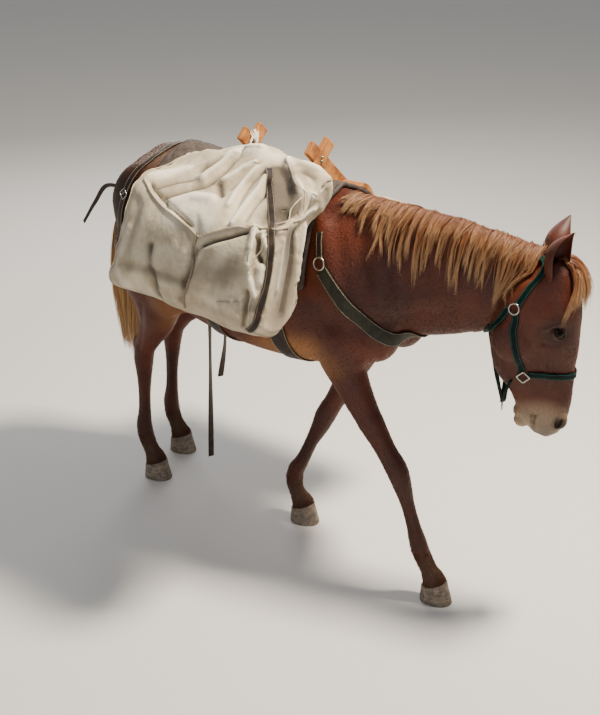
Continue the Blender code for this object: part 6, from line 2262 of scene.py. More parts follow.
@dataclass
class Pannier:
    """Full canvas pannier: an outline carried along the animal, swelled, tied and creased."""

    side: Side
    stage: Stage
    outlines: dict = field(default_factory=lambda: {
        "near": ((0.255, 1.095), (0.330, 1.068), (0.500, 1.072), (0.560, 1.110), (0.572, 1.210),
                 (0.545, 1.330), (0.490, 1.405), (0.380, 1.465), (0.240, 1.510), (0.110, 1.530),
                 (0.090, 1.470), (0.170, 1.400), (0.240, 1.280), (0.262, 1.180)),
        "far": ((0.285, 0.990), (0.345, 0.968), (0.500, 0.970), (0.556, 1.005), (0.568, 1.090),
                (0.556, 1.165), (0.515, 1.225), (0.430, 1.268), (0.330, 1.308), (0.262, 1.335),
                (0.240, 1.300), (0.255, 1.200), (0.280, 1.100)),
    })
    back: float = -0.235
    front: float = 0.510
    sections: tuple = ((0.0, 0.86), (0.02, 0.94), (0.07, 0.985), (0.3, 1.0), (0.5, 1.01),
                       (0.7, 1.0), (0.93, 0.985), (0.98, 0.94), (1.0, 0.86))
    voxel: float = 9 * MM
    shrink: float = 0.965
    pressure: float = 3.0
    cap: float = 14 * MM
    strokes: list = field(default_factory=list)
    beds: list = field(default_factory=list)
    patches: list = field(default_factory=list)
    swing: float = 1.25

    def build(self) -> bpy.types.Object:
        """The bag, swelled by simulation and creased by its ties."""
        bag = self.blank()
        self.swell(bag)
        if self.side is Side.NEAR:
            places = vert_places(bag)
            move = self.stage.pulled(places, np.array(NEAR_PULLS, dtype=float), 20.0)
            move_verts(bag, places + move)
        fine = bag.modifiers.new("Fine", "SUBSURF")
        fine.levels = fine.render_levels = 1
        bake(bag)
        tree = tree_of(bag)
        self.strokes = self.folds(tree)
        self.beds = [np.array([Vector(place) + tree.find_nearest(Vector(place))[1] * self.swing
                               * stroke.rise for place in stroke.places])
                     for stroke in self.strokes]
        if self.side is Side.NEAR:
            # Broad patches of painted shade and painted highlight on the near bag
            self.patches = [(reach, strength, self.stage.spots(line, tree))
                            for reach, strength, *line in NEAR_PATCHES]
        self.crease(bag)
        self.soil(bag)
        bag.name = "canvas_bag_" + self.side.word
        bag.data.shade_smooth()
        return bag

    def blank(self) -> bpy.types.Object:
        """The bag before it swells, a little smaller than the space it holds."""
        outline = np.array(self.outlines[self.side.word])
        outline[:, 0] *= self.side.value
        rows = interpolate(np.hstack([outline, np.zeros((len(outline), 1))]), 0.02)[:, :2]
        middle = outline.mean(axis=0)
        verts = []
        for part, size in interpolate([(a, b, 0.0) for a, b in self.sections], 0.03)[:, :2]:
            x = self.back + 0.006 + part * (self.front - self.back - 0.012)
            for y, z in middle + (rows - middle) * size * self.shrink:
                verts.append((x, y, z))
        count = len(rows)
        shell = mesh_object("Bag", np.array(verts), tube_faces(len(verts) // count, count))
        return melt([face_outwards(shell)], "Bag", self.voxel, 4)

    def swell(self, bag: bpy.types.Object) -> None:
        """Blow the bag up like filled cloth, held where ties and the animal press on it."""
        start = vert_places(bag)
        held = np.zeros(len(start))
        for path in self.ties():
            held = np.maximum(held, np.exp(-(path_distance(start, np.array(path)) / 0.018) ** 2))
        inside = np.clip((0.30 - np.abs(start[:, 1])) / 0.05, 0, 1)
        held = np.maximum(held, inside * (start[:, 2] < self.top() - 0.10))
        group = bag.vertex_groups.new(name="held")
        for index in np.nonzero(held > 0.05)[0]:
            group.add([int(index)], float(held[index]), "REPLACE")
        cloth = bag.modifiers.new("Cloth", "CLOTH")
        settings = cloth.settings
        settings.quality = 5
        settings.mass = 0.4
        settings.use_pressure = True
        settings.uniform_pressure_force = self.pressure
        settings.vertex_group_mass = "held"
        settings.pin_stiffness = 1.0
        settings.tension_stiffness = settings.compression_stiffness = 12
        settings.bending_stiffness = 0.8
        settings.shrink_min = -0.05
        settings.effector_weights.gravity = 0
        cloth.collision_settings.use_collision = False
        scene = bpy.context.scene
        for frame in range(1, 21):
            scene.frame_set(frame)
        depsgraph = bpy.context.evaluated_depsgraph_get()
        swelled = bag.evaluated_get(depsgraph).to_mesh()
        places = np.empty(len(start) * 3)
        swelled.vertices.foreach_get("co", places)
        bag.evaluated_get(depsgraph).to_mesh_clear()
        bag.modifiers.clear()
        bag.vertex_groups.clear()
        scene.frame_set(1)
        move = places.reshape(-1, 3) - start
        size = np.linalg.norm(move, axis=1, keepdims=True)
        move_verts(bag, start + move * np.minimum(1, self.cap / np.maximum(size, 1e-9)))

    def top(self) -> float:
        """Height of the bag's top."""
        return max(z for _, z in self.outlines[self.side.word])

    def ties(self) -> list[Sequence]:
        """Routes of the rope and the strap that pull the bag in."""
        return [PANNIER_ROPES[self.side.word], PANNIER_STRAPS[self.side.word]]

    def crease(self, bag: bpy.types.Object) -> None:
        """Press folds, seams and sagging ridges into the bag."""
        for stroke in self.strokes:
            places = vert_places(bag)
            away = path_distance(places, np.array(stroke.places)) / stroke.width
            share = self.swing * stroke.rise * np.exp(-away ** 2)
            move_verts(bag, places + vert_normals(bag) * share[:, None])

    def soil(self, piece: bpy.types.Object) -> None:
        """Store the fold attribute, from which the canvas paints its shade and highlight: how deep in a
        groove, below 0, or how far up a ridge each place lies, with the broad patches added.
        """
        places = vert_places(piece)
        total = np.zeros(len(places))
        for stroke, bed in zip(self.strokes, self.beds):
            away = path_distance(places, bed) / (1.15 * stroke.width)
            size = min(1.0, abs(stroke.rise) / 0.012)
            total += math.copysign(size, stroke.rise) * np.exp(-away ** 2)
        for reach, strength, line in self.patches:
            total += strength * np.exp(-(path_distance(places, np.array(line)) / reach) ** 2)
        store(piece, "fold", np.clip(total, -1, 1))

    def folds(self, tree: BVHTree) -> list[Stroke]:
        """Folds of the near bag by the picture, and plainer ones on the far bag."""
        made = []
        if self.side is Side.NEAR:
            for width, rise, *spots in NEAR_FOLDS:
                places = [tuple(place) for place in self.stage.spots(spots, tree)]
                if len(places) > 1:
                    made.append(Stroke(tuple(places), width, rise))
        for width, rise, *spots in FAR_FOLDS if self.side is Side.FAR else BACK_FOLDS:
            places = []
            for x, z in spots:
                start = Vector((x, self.side.value * 0.9, z))
                touch = tree.find_nearest(start)[0]
                hit = tree.ray_cast(start, Vector((0, -self.side.value, 0)))[0]
                places.append(tuple(hit or touch))
            made.append(Stroke(tuple(places), width, rise))
        return made


@dataclass
class Lid:
    """Lid of a pannier: a sheet that lies over the bag's top down to a piped hem."""

    side: Side
    hem: Sequence
    inner: float
    rows: int = 230
    columns: int = 110
    lift: float = 2.2 * MM
    thickness: float = 2.0 * MM

    def build(self, bag: BVHTree) -> tuple[bpy.types.Object, bpy.types.Object, tuple]:
        """Drape the lid over the bag.

        Args:
            bag: Search tree over the finished bag.

        Returns:
            The sheet, its piped hem, and its cut length, cut width and area.
        """
        hem = interpolate([(*place, 0.0) for place in self.hem], 1 * MM)[:, :3]
        hem = hem[np.linspace(0, len(hem) - 1, self.rows).round().astype(int)]
        outer = []
        for start in hem:
            top = Vector((start[0], self.side.value * self.inner, start[2]))
            middle = Vector((start[0], self.side.value * 0.33, self.level()))
            first = Vector(start) - middle
            last = self.last(start[0]) - middle
            angle = first.angle(last)
            axis = first.cross(last).normalized()
            for part in np.linspace(0, 1, self.columns):
                aim = (Matrix.Rotation(angle * part, 3, axis) @ first).normalized()
                outer.append(self.land(bag, middle + aim * 0.8, -aim))
        outer = np.array(outer).reshape(self.rows, self.columns, 3)
        for _ in range(3):
            outer[1:-1] = (outer[:-2] + 2 * outer[1:-1] + outer[2:]) / 4
            outer[:, 1:-1] = (outer[:, :-2] + 2 * outer[:, 1:-1] + outer[:, 2:]) / 4
        long = float(np.linalg.norm(np.diff(outer, axis=0), axis=2).sum(axis=0).mean())
        wide = float(np.linalg.norm(np.diff(outer, axis=1), axis=2).sum(axis=1).mean())
        steps = np.cross(outer[1:, :-1] - outer[:-1, :-1], outer[:-1, 1:] - outer[:-1, :-1])
        area = float(np.linalg.norm(steps, axis=2).sum())
        normals = unit(np.cross(np.gradient(outer, axis=0), np.gradient(outer, axis=1)))
        normals *= np.sign(normals[:, :, 2].mean())
        inner = outer - normals * self.thickness
        verts, faces = closed_sheet(outer.reshape(-1, 3), inner.reshape(-1, 3), self.rows,
                                    self.columns)
        lid = face_outwards(mesh_object("canvas_lid_" + self.side.word, verts, faces))
        edge = [*outer[-1, ::-1][:-1], *outer[::-1, 0][:-1], *outer[0]]
        rows = Strap.even(np.array(edge)[::2], 2)
        hem = tube("lid_hem_" + self.side.word, rows, 3.6 * MM, 8)
        return lid, hem, (long, wide, area)

    def land(self, bag: BVHTree, start: Vector, aim: Vector) -> Vector:
        """Where the lid comes to lie, drawn in a little where it would miss the bag's ends."""
        middle = sum(place[0] for place in self.hem) / len(self.hem)
        inward = math.copysign(1.0, middle - start.x)
        for draw in (0.0, 0.008, 0.016, 0.028, 0.045, 0.065, 0.090):
            touch, normal = bag.ray_cast(start + Vector((inward * draw, 0, 0)), aim)[:2]
            if touch is not None and abs(normal.x) < 0.93:
                return touch + normal * (self.lift + self.thickness)
        touch, normal = bag.find_nearest(start + aim * 0.6)[:2]
        return touch + normal * (self.lift + self.thickness)

    def last(self, x: float) -> Vector:
        """Where the lid ends over the bag's inner top edge."""
        return Vector((x, self.side.value * self.inner, self.level() + 0.30))

    def level(self) -> float:
        """Height of the line that the lid is laid about."""
        return min(place[2] for place in self.hem) - 0.14


# Places along the animal of a bag's piped seams, and their size as a share of its outline
SEAM_ENDS = (-0.205, 0.478)
SEAM_SHARE = 0.99
# Corners of the near bag's patch pocket, and the points along each of its sides
POCKET_CORNERS = ((0.345, -0.567, 1.185), (0.452, -0.567, 1.210),
                  (0.455, -0.575, 1.118), (0.350, -0.575, 1.100))
POCKET_POINTS = 14


@dataclass
class Load:
    """Two panniers with their lids, ropes, straps, pocket and piping."""

    shop: Workshop
    stage: Stage

    def build(self) -> list[BVHTree]:
        """Build and hand in both panniers, and return search trees over the bags."""
        trees = []
        for side in Side:
            pannier = Pannier(side, self.stage)
            bag = pannier.build()
            tree = tree_of(bag)
            word = side.word
            hem = FAR_HEM if side is Side.FAR else self.stage.spots(NEAR_HEM, tree)
            lid, piping, (long, wide, area) = Lid(side, hem, 0.150).build(tree)
            # The lid takes the same painted shade and painted highlight as its bag
            pannier.soil(lid)
            cover = tree_of(lid)
            self.trim(side, tree, cover)
            self.shop.hand_in(piping, CANVAS, "canvas")
            self.shop.hand_in(lid, CANVAS, "canvas")
            self.shop.hand_in(bag, CANVAS, "canvas", "pannier_" + word)
            trees.append(tree)
        return trees

    def trim(self, side: Side, tree: BVHTree, cover: BVHTree) -> None:
        """The rope, the strap, the corner piping and the pocket of one bag."""
        word = side.word
        rope = Strap("Route", 10 * MM, 1 * MM, lift=3 * MM, calm=8)
        remove(rope.over(PANNIER_ROPES[word], tree, cover))
        self.shop.hand_in(laid_rope("tie_rope_" + word, rope.rows, 4.6 * MM), GREY_ROPE, "rope",
                          "pannier_rope_" + word)
        strap = Strap("tie_strap_" + word, 26 * MM, 3.5 * MM, lift=1.5 * MM, calm=8)
        route = PANNIER_STRAPS[word]
        if side is Side.NEAR:
            route = [*self.stage.spots(NEAR_STRAP, cover, tree), Vector(route[-1])]
        band = strap.over(route, tree, cover)
        stitches = Stitching().along("tie_stitches_" + word, strap, self.shop.shift)
        self.shop.hand_in(band, LEATHER, "leather", "pannier_strap_" + word)
        self.shop.hand_in(stitches, THREAD, "leather")
        for number, route in enumerate(self.seams(side)):
            places = [tree.find_nearest(Vector(place)) for place in interpolate(route, 0.008)[:, :3]]
            rows = Strap.even(np.array([touch + normal * 1.5 * MM for touch, normal, *_ in places]), 2)
            seam = tube("seam_%s_%d" % (word, number), rows, 2.4 * MM, 6)
            self.shop.hand_in(seam, CANVAS, "canvas")
        if side is Side.NEAR:
            self.shop.hand_in(self.pocket(tree), CANVAS, "canvas")

    @staticmethod
    def seams(side: Side) -> list[list[tuple]]:
        """Piped seams round the two ends of a bag."""
        outline = np.array(Pannier(side, Stage(Vector())).outlines[side.word])[:-3]
        middle = outline.mean(axis=0)
        made = []
        for x in SEAM_ENDS:
            rows = middle + (outline - middle) * SEAM_SHARE
            made.append([(x, side.value * y, z, 0.0) for y, z in rows])
        return made

    def pocket(self, tree: BVHTree) -> bpy.types.Object:
        """Small sewn patch pocket low on the near bag."""
        corners = [Vector(place) for place in POCKET_CORNERS]
        count = POCKET_POINTS
        outer = []
        inner = []
        for row in np.linspace(0, 1, count):
            for column in np.linspace(0, 1, count):
                left = corners[0].lerp(corners[3], row)
                place = left.lerp(corners[1].lerp(corners[2], row), column)
                touch, normal = tree.find_nearest(place)[:2]
                rim = min(row, 1 - row, column, 1 - column)
                outer.append(touch + normal * (2.5 + 3.5 * min(1, rim * 6)) * MM)
                inner.append(touch - normal * MM)
        verts, faces = closed_sheet(np.array(outer), np.array(inner), count, count)
        return face_outwards(mesh_object("patch_pocket", verts, faces))


# Saddle, harness and halter


@dataclass
class PackSaddle:
    """Wooden sawbuck saddle on its quilted pad, with a rope lashed round its rear cross."""

    shop: Workshop
    tip: tuple = (0.058, 1.592)
    foot: tuple = (0.150, 1.395)
    bar: tuple = (0.021, 0.054)
    pad_span: tuple = (-0.330, 0.425)
    pad_swing: float = math.radians(84)
    pad_thickness: float = 0.015
    board: tuple = (0.500, 0.120, 0.023)

    def build(self, skin: BVHTree) -> BVHTree:
        """Build and hand in every piece, and return a search tree over the pad."""
        pad, rim = self.pad(skin)
        tree = tree_of(pad)
        self.shop.hand_in(rim, BINDING, "felt")
        self.shop.hand_in(pad, FELT, "felt", "saddle_pad")
        for name, x in (("front", 0.320), ("rear", 0.005)):
            self.shop.hand_in(self.cross(name, x), PINE, "wood", "saddle_cross_" + name)
            for side in Side:
                spot = Vector((x, 0, self.crossing() - side.value * 0.008))
                bolt = tube("bolt_%s_%s" % (name, side.word),
                            [spot + FORWARD * reach for reach in (-0.0165, -0.012, 0.012, 0.0165)],
                            5 * MM, 8)
                self.shop.hand_in(bolt, STEEL, "steel")
        for side in Side:
            turn = Matrix.Rotation(side.value * math.radians(-58), 3, "X")
            place = Vector((0.165, side.value * 0.150, 1.372))
            board = self.plank("side_board_" + side.word, place, self.board, turn, (24, 8))
            self.bed(board, place, turn, skin)
            self.shop.hand_in(board, PINE, "wood", "saddle_board_" + side.word)
        self.shop.hand_in(self.lashing(), WHITE_ROPE, "rope")
        return tree

    def crossing(self) -> float:
        """Height at which the two bars of a cross meet."""
        (tip_y, tip_z), (foot_y, foot_z) = self.tip, self.foot
        return foot_z + (tip_z - foot_z) * foot_y / (tip_y + foot_y)

    def bed(self, board: bpy.types.Object, place: Vector, turn: Matrix, skin: BVHTree) -> None:
        """Carve a side board to the back, so that its underside clears the pad everywhere."""
        normal = turn @ Vector((0, 0, 1))
        depth = self.board[2]
        places = vert_places(board)
        clear = self.pad_thickness + 7 * MM
        for index, spot in enumerate(places):
            under = Vector(spot) - normal * ((Vector(spot) - place).dot(normal) + depth / 2)
            touch, away = skin.find_nearest(under)[:2]
            lift = (clear - (under - touch).dot(away)) / max(0.5, normal.dot(away))
            places[index] = Vector(spot) + normal * max(0.0, lift)
        move_verts(board, places)

    @staticmethod
    def plank(name: str, place: Vector, size: Sequence[float], turn: Matrix,
              cuts: Sequence[int] = (0, 0)) -> bpy.types.Object:
        """Planed plank with worn, rounded edges, cut along and across where it will bend."""
        bm = bmesh.new()
        bmesh.ops.create_cube(bm, size=1.0)
        bm.transform(Matrix.Diagonal((*size, 1.0)))
        bmesh.ops.bevel(bm, geom=bm.edges[:], offset=min(size) * 0.22, segments=3, profile=0.6,
                        affect="EDGES")
        for axis, count in enumerate(cuts):
            for number in range(1, count):
                spot = Vector((0, 0, 0))
                spot[axis] = size[axis] * (number / count - 0.5)
                bmesh.ops.bisect_plane(bm, geom=[*bm.verts, *bm.edges, *bm.faces], plane_co=spot,
                                       plane_no=Vector([int(way == axis) for way in range(3)]))
        bm.transform(Matrix.Translation(place) @ turn.to_4x4())
        mesh = bpy.data.meshes.new(name)
        bm.to_mesh(mesh)
        bm.free()
        obj = bpy.data.objects.new(name, mesh)
        bpy.context.scene.collection.objects.link(obj)
        mesh.shade_flat()
        return obj

    def cross(self, name: str, x: float) -> bpy.types.Object:
        """Two bars that cross over the back, one a hair ahead of the other."""
        (tip_y, tip_z), (foot_y, foot_z) = self.tip, self.foot
        length = math.hypot(tip_y + foot_y, tip_z - foot_z)
        angle = math.atan2(tip_z - foot_z, tip_y + foot_y)
        thick, wide = self.bar
        bars = []
        for side in Side:
            turn = Matrix.Rotation(side.value * angle, 3, "X")
            place = Vector((x + side.value * 0.6 * MM, side.value * (tip_y - foot_y) / 2,
                            (tip_z + foot_z) / 2))
            bars.append(self.plank("Bar", place, (thick, length - 2 * MM, wide), turn))
        return join(bars, "sawbuck_" + name)

    def lashing(self) -> bpy.types.Object:
        """White rope wound round the rear cross and tied off over its near bar."""
        route = []
        turns = 5
        middle = Vector((0.005, 0.0, self.crossing()))
        for index in range(turns * 16):
            part = index / (turns * 16 - 1)
            angle = 2 * math.pi * turns * part
            level = 0.048 * math.sin(angle)
            out = 0.0185 * math.cos(angle)
            lean = 0.5 * math.sin(2.6 * math.pi * part)
            route.append(middle + Vector((out, level * lean, level)))
        knot = [(0.020, -0.020, 0.030), (0.026, -0.046, 0.004), (0.030, -0.075, -0.030),
                (0.040, -0.110, -0.045), (0.070, -0.160, -0.052)]
        route += [middle + Vector(place) for place in knot]
        return laid_rope("cross_lashing", route, 4.5 * MM)

    def pad(self, skin: BVHTree) -> tuple[bpy.types.Object, bpy.types.Object]:
        """Quilted felt pad over the back, and the binding round its edge."""
        rows, columns = 96, 120
        outer = []
        inner = []
        for x in np.linspace(*self.pad_span, rows):
            for part in np.linspace(-1, 1, columns):
                swing = self.pad_swing * part
                out = Vector((0, math.sin(swing), math.cos(swing)))
                touch = skin.ray_cast(Vector((x, 0, 1.12)) + out * 0.9, -out)[0]
                along, across = (x - self.pad_span[0]) / 0.075, part * 0.62 / 0.075
                seam = min(abs((along + across) % 1 - 0.5), abs((along - across) % 1 - 0.5))
                quilt = 1 - 0.38 * math.exp(-(seam / 0.10) ** 2)
                outer.append(touch + out * (0.006 + self.pad_thickness * quilt))
                inner.append(touch + out * 0.0045)
        verts, faces = closed_sheet(np.array(outer), np.array(inner), rows, columns)
        pad = face_outwards(mesh_object("quilted_pad", verts, faces))
        grid = ((np.array(outer) + np.array(inner)) / 2).reshape(rows, columns, 3)
        edge = [*grid[0, :-1:2], *grid[:-1:2, -1], *grid[-1, :0:-2], *grid[:0:-2, 0]]
        return pad, tube("pad_binding", edge, 10 * MM, 10, closed=True)


@dataclass
class Harness:
    """Breast collar, cinches, breeching and the loose straps."""

    shop: Workshop

    def build(self, skin: BVHTree, pad: BVHTree, bags: Sequence[BVHTree]) -> None:
        """Build and hand in every strap and ring that lies on the animal."""
        self.sewn("collar", "breast_collar", both_sides(COLLAR_ROUTE), 0.050, COLLAR_LEATHER, skin)
        for side in Side:
            word = side.word
            self.sewn("tug_" + word, "breast_tug_" + word, sided(TUG_ROUTE, side), 0.025, LEATHER,
                      skin, pad, *bags)
            touch, normal = skin.find_nearest(sided([(0.492, 0.238, 1.248)], side)[0])[:2]
            ring = tube("collar_ring_" + word, circle(touch + normal * 0.012, normal, 0.022),
                        3.6 * MM, 12, closed=True)
            self.shop.hand_in(ring, STEEL, "steel", "breast_ring_" + word)
        for place, x in (("front", 0.330), ("rear", 0.010)):
            route = both_sides([(x, 0, 0.74), (x, 0.16, 0.80), (x, 0.27, 0.93), (x, 0.30, 1.08)])
            self.sewn("girth_" + place, "cinch_" + place, route, 0.068, LEATHER, skin)
        self.sewn("britchen", "breeching", both_sides(BREECHING_ROUTE), 0.048, LEATHER, skin)
        self.sewn("hip_drop", "hip_strap", both_sides(HIP_ROUTE), 0.029, LEATHER, skin)
        for side in Side:
            self.buckle("hip_buckle_" + side.word, skin, sided(HIP_ROUTE, side)[2], 0.018)

    def sewn(self, name: str, node: str, route: Sequence, width: float, finish: StrapFinish,
             *trees: BVHTree) -> None:
        """Hand in one strap with a row of stitches along each edge."""
        strap = Strap(name + "_strap", width, 5 * MM)
        band = strap.over(route, *trees)
        stitches = Stitching().along(name + "_stitches", strap, self.shop.shift)
        self.shop.hand_in(band, finish, "leather", node)
        self.shop.hand_in(stitches, THREAD, "leather")

    def buckle(self, name: str, skin: BVHTree, place: Vector, size: float) -> None:
        """Hand in a square buckle with its tongue."""
        touch, normal = skin.find_nearest(place)[:2]
        spot = touch + normal * 11 * MM
        corners = circle(spot, normal, size * 1.25, 4)
        route = []
        for index, corner in enumerate(corners):
            after = corners[(index + 1) % 4]
            route += [corner.lerp(after, part) for part in (0.08, 0.3, 0.5, 0.7, 0.92)]
        frame = tube(name, route, 2.4 * MM, 8, closed=True)
        across = (corners[0] + corners[1]) / 2
        opposite = (corners[2] + corners[3]) / 2
        tongue = tube("Tongue", [across + normal * 2 * MM, spot + normal * 4 * MM,
                                 opposite + normal * 3 * MM], 1.6 * MM, 6)
        self.shop.hand_in(join([frame, tongue], name), STEEL, "steel")

    def loose(self) -> None:
        """The strap ends that hang free, each a flat cord of its own width."""
        for name, node, route, width, facing in (
                ("cinch_tail_long", "hanging_strap_long", HANGING_LONG, 0.026, FORWARD),
                ("cinch_tail_short", "hanging_strap_short", HANGING_SHORT, 0.026, FORWARD),
                ("britchen_tail", "breeching_end", LOOSE_END, 0.018, LEFT)):
            strap = Strap(name, width, 4 * MM)
            band = strap.hung(route, facing)
            path = interpolate([(*place, 0.0) for place in route], 0.03)[:, :3]
            path = path + np.array(self.shop.shift)
            self.shop.hand_in(band, LEATHER, "leather", node)


@dataclass
class Halter:
    """Webbing halter: crown, throat strap, cheeks, noseband, chin strap, rings and buckles."""

    shop: Workshop
    width: float = 0.0235

    def build(self, skin: BVHTree, plain: BVHTree) -> None:
        """Build and hand in every piece. The crown follows the plain head, without its ears."""
        self.sewn("crown", "halter_crown", HEAD.across(CROWN), plain)
        self.sewn("noseband", "halter_noseband", HEAD.across(NOSE_BAND), skin)
        self.sewn("throat", "halter_throat", self.throat(skin), skin)
        for side in Side:
            word = side.word
            self.sewn("cheek_" + word, "halter_cheek_" + word, HEAD.route(CHEEK, side), skin)
            for name, node, spot, radius in (
                    ("halter_round_", "halter_ring_", (0.110, -0.240, 0.100), 0.018),
                    ("halter_square_", "halter_fitting_", (0.367, -0.183, 0.070), 0.019)):
                touch, normal = skin.find_nearest(HEAD.route([spot], side)[0])[:2]
                corners = 40 if name == "halter_round_" else 4
                route = circle(touch + normal * 9 * MM, normal, radius * (1 if corners > 4 else 1.2),
                               corners)
                if corners == 4:
                    route = [route[index].lerp(route[(index + 1) % 4], part) for index in range(4)
                             for part in (0.07, 0.3, 0.5, 0.7, 0.93)]
                ring = tube(name + word, route, 3.0 * MM, 12, closed=True)
                self.shop.hand_in(ring, STEEL, "steel", node + word)
        strap = Strap("chin_strap", 0.018, 4 * MM)
        band = strap.hung(HEAD.across(CHIN_STRAP), DOWN)
        self.shop.hand_in(band, WEBBING, "webbing", "halter_chin_strap")
        link = Strap("chin_link", 0.018, 4 * MM).hung(HEAD.route(CHIN_LINK),
                                                      HEAD.turn @ Vector((-0.5, -0.8, 0)))
        self.shop.hand_in(link, WEBBING, "webbing")
        ring = tube("chin_ring", circle(HEAD.at(0.510, -0.243, 0.0), HEAD.forward, 0.014), 2.6 * MM,
                    12, closed=True)
        self.shop.hand_in(ring, STEEL, "steel", "halter_chin_ring")

    def sewn(self, name: str, node: str, route: Sequence, skin: BVHTree) -> None:
        """Hand in one webbing strap with its edge stitches."""
        strap = Strap(name + "_webbing", self.width, 4.2 * MM)
        band = strap.over(route, skin)
        stitches = Stitching().along(name + "_stitches", strap, self.shop.shift)
        self.shop.hand_in(band, WEBBING, "webbing", node)
        self.shop.hand_in(stitches, WEBBING_THREAD, "webbing")

    @staticmethod
    def throat(skin: BVHTree) -> list[Vector]:
        """Places from the near ring round the throat to the far ring."""
        middle = HEAD.at(0.110, -0.240, 0.0)
        low = (HEAD.at(0.225, -0.298, 0.0) - middle).normalized()
        left = HEAD.turn @ LEFT
        places = []
        for angle in range(-80, 81, 16):
            out = low * math.cos(math.radians(angle)) + left * math.sin(math.radians(angle))
            places.append(skin.ray_cast(middle + out * 0.02, out)[0])
        return places


def sided(route: Sequence, side: Side) -> list[Vector]:
    """A route given for the far side, moved to either side."""
    return [Vector((x, side.value * y, z)) for x, y, z in route]


def both_sides(route: Sequence) -> list[Vector]:
    """A route from the middle plane out, run from the near side to the far side."""
    return sided(route, Side.NEAR)[::-1] + sided(route, Side.FAR)[1:]


PANNIER_ROPES = {
    "near": ((0.208, -0.530, 1.385), (0.216, -0.570, 1.284), (0.187, -0.590, 1.178),
             (0.165, -0.580, 1.085)),
    "far": ((0.208, 0.530, 1.235), (0.216, 0.580, 1.160), (0.187, 0.590, 1.080),
            (0.165, 0.580, 0.985)),
}
PANNIER_STRAPS = {
    "near": ((0.400, -0.370, 1.490), (0.450, -0.480, 1.430), (0.470, -0.570, 1.300),
             (0.475, -0.600, 1.200), (0.470, -0.580, 1.085)),
    "far": ((0.440, 0.370, 1.310), (0.455, 0.480, 1.265), (0.470, 0.570, 1.190),
            (0.475, 0.590, 1.100), (0.470, 0.580, 0.985)),
}
# Places in the picture of the near lid's hem and of the near strap
NEAR_HEM = ((145, 180), (150, 191), (158, 202), (170, 213), (182, 223), (192, 231), (199, 237),
            (212, 233), (226, 229), (240, 227), (254, 226), (266, 228), (280, 231), (294, 223),
            (308, 212), (320, 203))
NEAR_STRAP = ((269, 168), (270, 185), (271, 205), (272, 225), (271, 245), (269, 268), (264, 292),
              (258, 316), (253, 328))
# Points of the picture where the near bag's outline is drawn in or out, and where it stays
NEAR_PULLS = (
    (119, 203, 131, 204), (109, 230, 122, 232), (107, 253, 115, 256), (112, 279, 109, 282),
    (143, 176, 143, 176), (164, 160, 165, 168), (183, 147, 184, 163), (205, 147, 205, 150),
    (224, 151, 224, 148), (241, 156, 241, 146), (262, 162, 262, 146), (280, 165, 281, 149),
    (300, 169, 300, 160), (318, 175, 320, 169), (333, 186, 339, 180), (336, 198, 325, 203),
    (326, 220, 308, 222), (314, 245, 303, 241), (311, 272, 299, 272), (310, 300, 296, 298),
    (290, 323, 281, 332), (265, 329, 262, 333), (183, 306, 183, 308), (230, 318, 228, 323),
    (170, 200, 170, 200), (200, 190, 200, 190), (235, 190, 235, 190), (200, 238, 200, 238),
    (150, 240, 150, 240), (240, 230, 240, 230), (270, 240, 270, 240), (180, 280, 180, 280),
    (240, 280, 240, 280), (275, 290, 272, 290), (275, 200, 275, 200), (150, 285, 150, 285),
)
# Radius in metres, strength and places in the picture of broad patches of painted shade, below 0, and
# painted highlight, above 0
NEAR_PATCHES = (
    (0.055, -1.10, (278, 172), (284, 190), (288, 204), (277, 217)),
    (0.060, -0.85, (290, 240), (288, 270), (282, 310)),
    (0.030, -0.50, (206, 178), (214, 168), (222, 160)),
    (0.060, 0.70, (176, 214), (196, 205), (206, 222)),
    (0.030, 0.80, (236, 150), (258, 152), (290, 164)),
    (0.030, 0.60, (160, 178), (185, 168)),
    (0.060, -0.25, (150, 262), (210, 285), (240, 270)),
)
FAR_HEM = ((-0.225, 0.420, 1.262), (-0.100, 0.470, 1.236), (0.060, 0.505, 1.205),
           (0.208, 0.530, 1.172), (0.330, 0.510, 1.200), (0.430, 0.480, 1.225),
           (0.500, 0.430, 1.245))
COLLAR_ROUTE = ((0.780, 0, 0.985), (0.745, 0.090, 0.985), (0.640, 0.200, 1.080),
                (0.500, 0.245, 1.225))
TUG_ROUTE = ((0.490, 0.250, 1.265), (0.480, 0.240, 1.320), (0.474, 0.220, 1.370))
BREECHING_ROUTE = ((-0.735, 0, 1.090), (-0.680, 0.130, 1.085), (-0.550, 0.240, 1.080),
                   (-0.400, 0.280, 1.095), (-0.335, 0.290, 1.100))
HIP_ROUTE = ((-0.380, 0, 1.500), (-0.420, 0.120, 1.450), (-0.480, 0.220, 1.300),
             (-0.535, 0.250, 1.115))
HANGING_LONG = ((-0.238, 0, 0.840), (-0.243, 0, 0.600), (-0.253, 0.004, 0.350), (-0.255, 0, 0.135))
HANGING_SHORT = ((-0.150, 0, 0.815), (-0.160, 0, 0.680), (-0.188, 0, 0.530))
LOOSE_END = ((-0.600, -0.090, 1.270), (-0.700, -0.095, 1.258), (-0.765, -0.100, 1.180),
             (-0.845, -0.100, 1.075))
CROWN = ((-0.065, -0.150, 0), (-0.045, -0.165, 0.070), (0.020, -0.200, 0.100),
         (0.094, -0.235, 0.110))
CHEEK = ((0.124, -0.241, 0.120), (0.240, -0.222, 0.115), (0.352, -0.190, 0.085))
NOSE_BAND = ((0.369, 0.020, 0), (0.367, -0.015, 0.055), (0.359, -0.090, 0.080),
             (0.360, -0.168, 0.080))
CHIN_STRAP = ((0.492, -0.242, 0), (0.483, -0.240, 0.018), (0.430, -0.234, 0.042),
              (0.386, -0.222, 0.056))
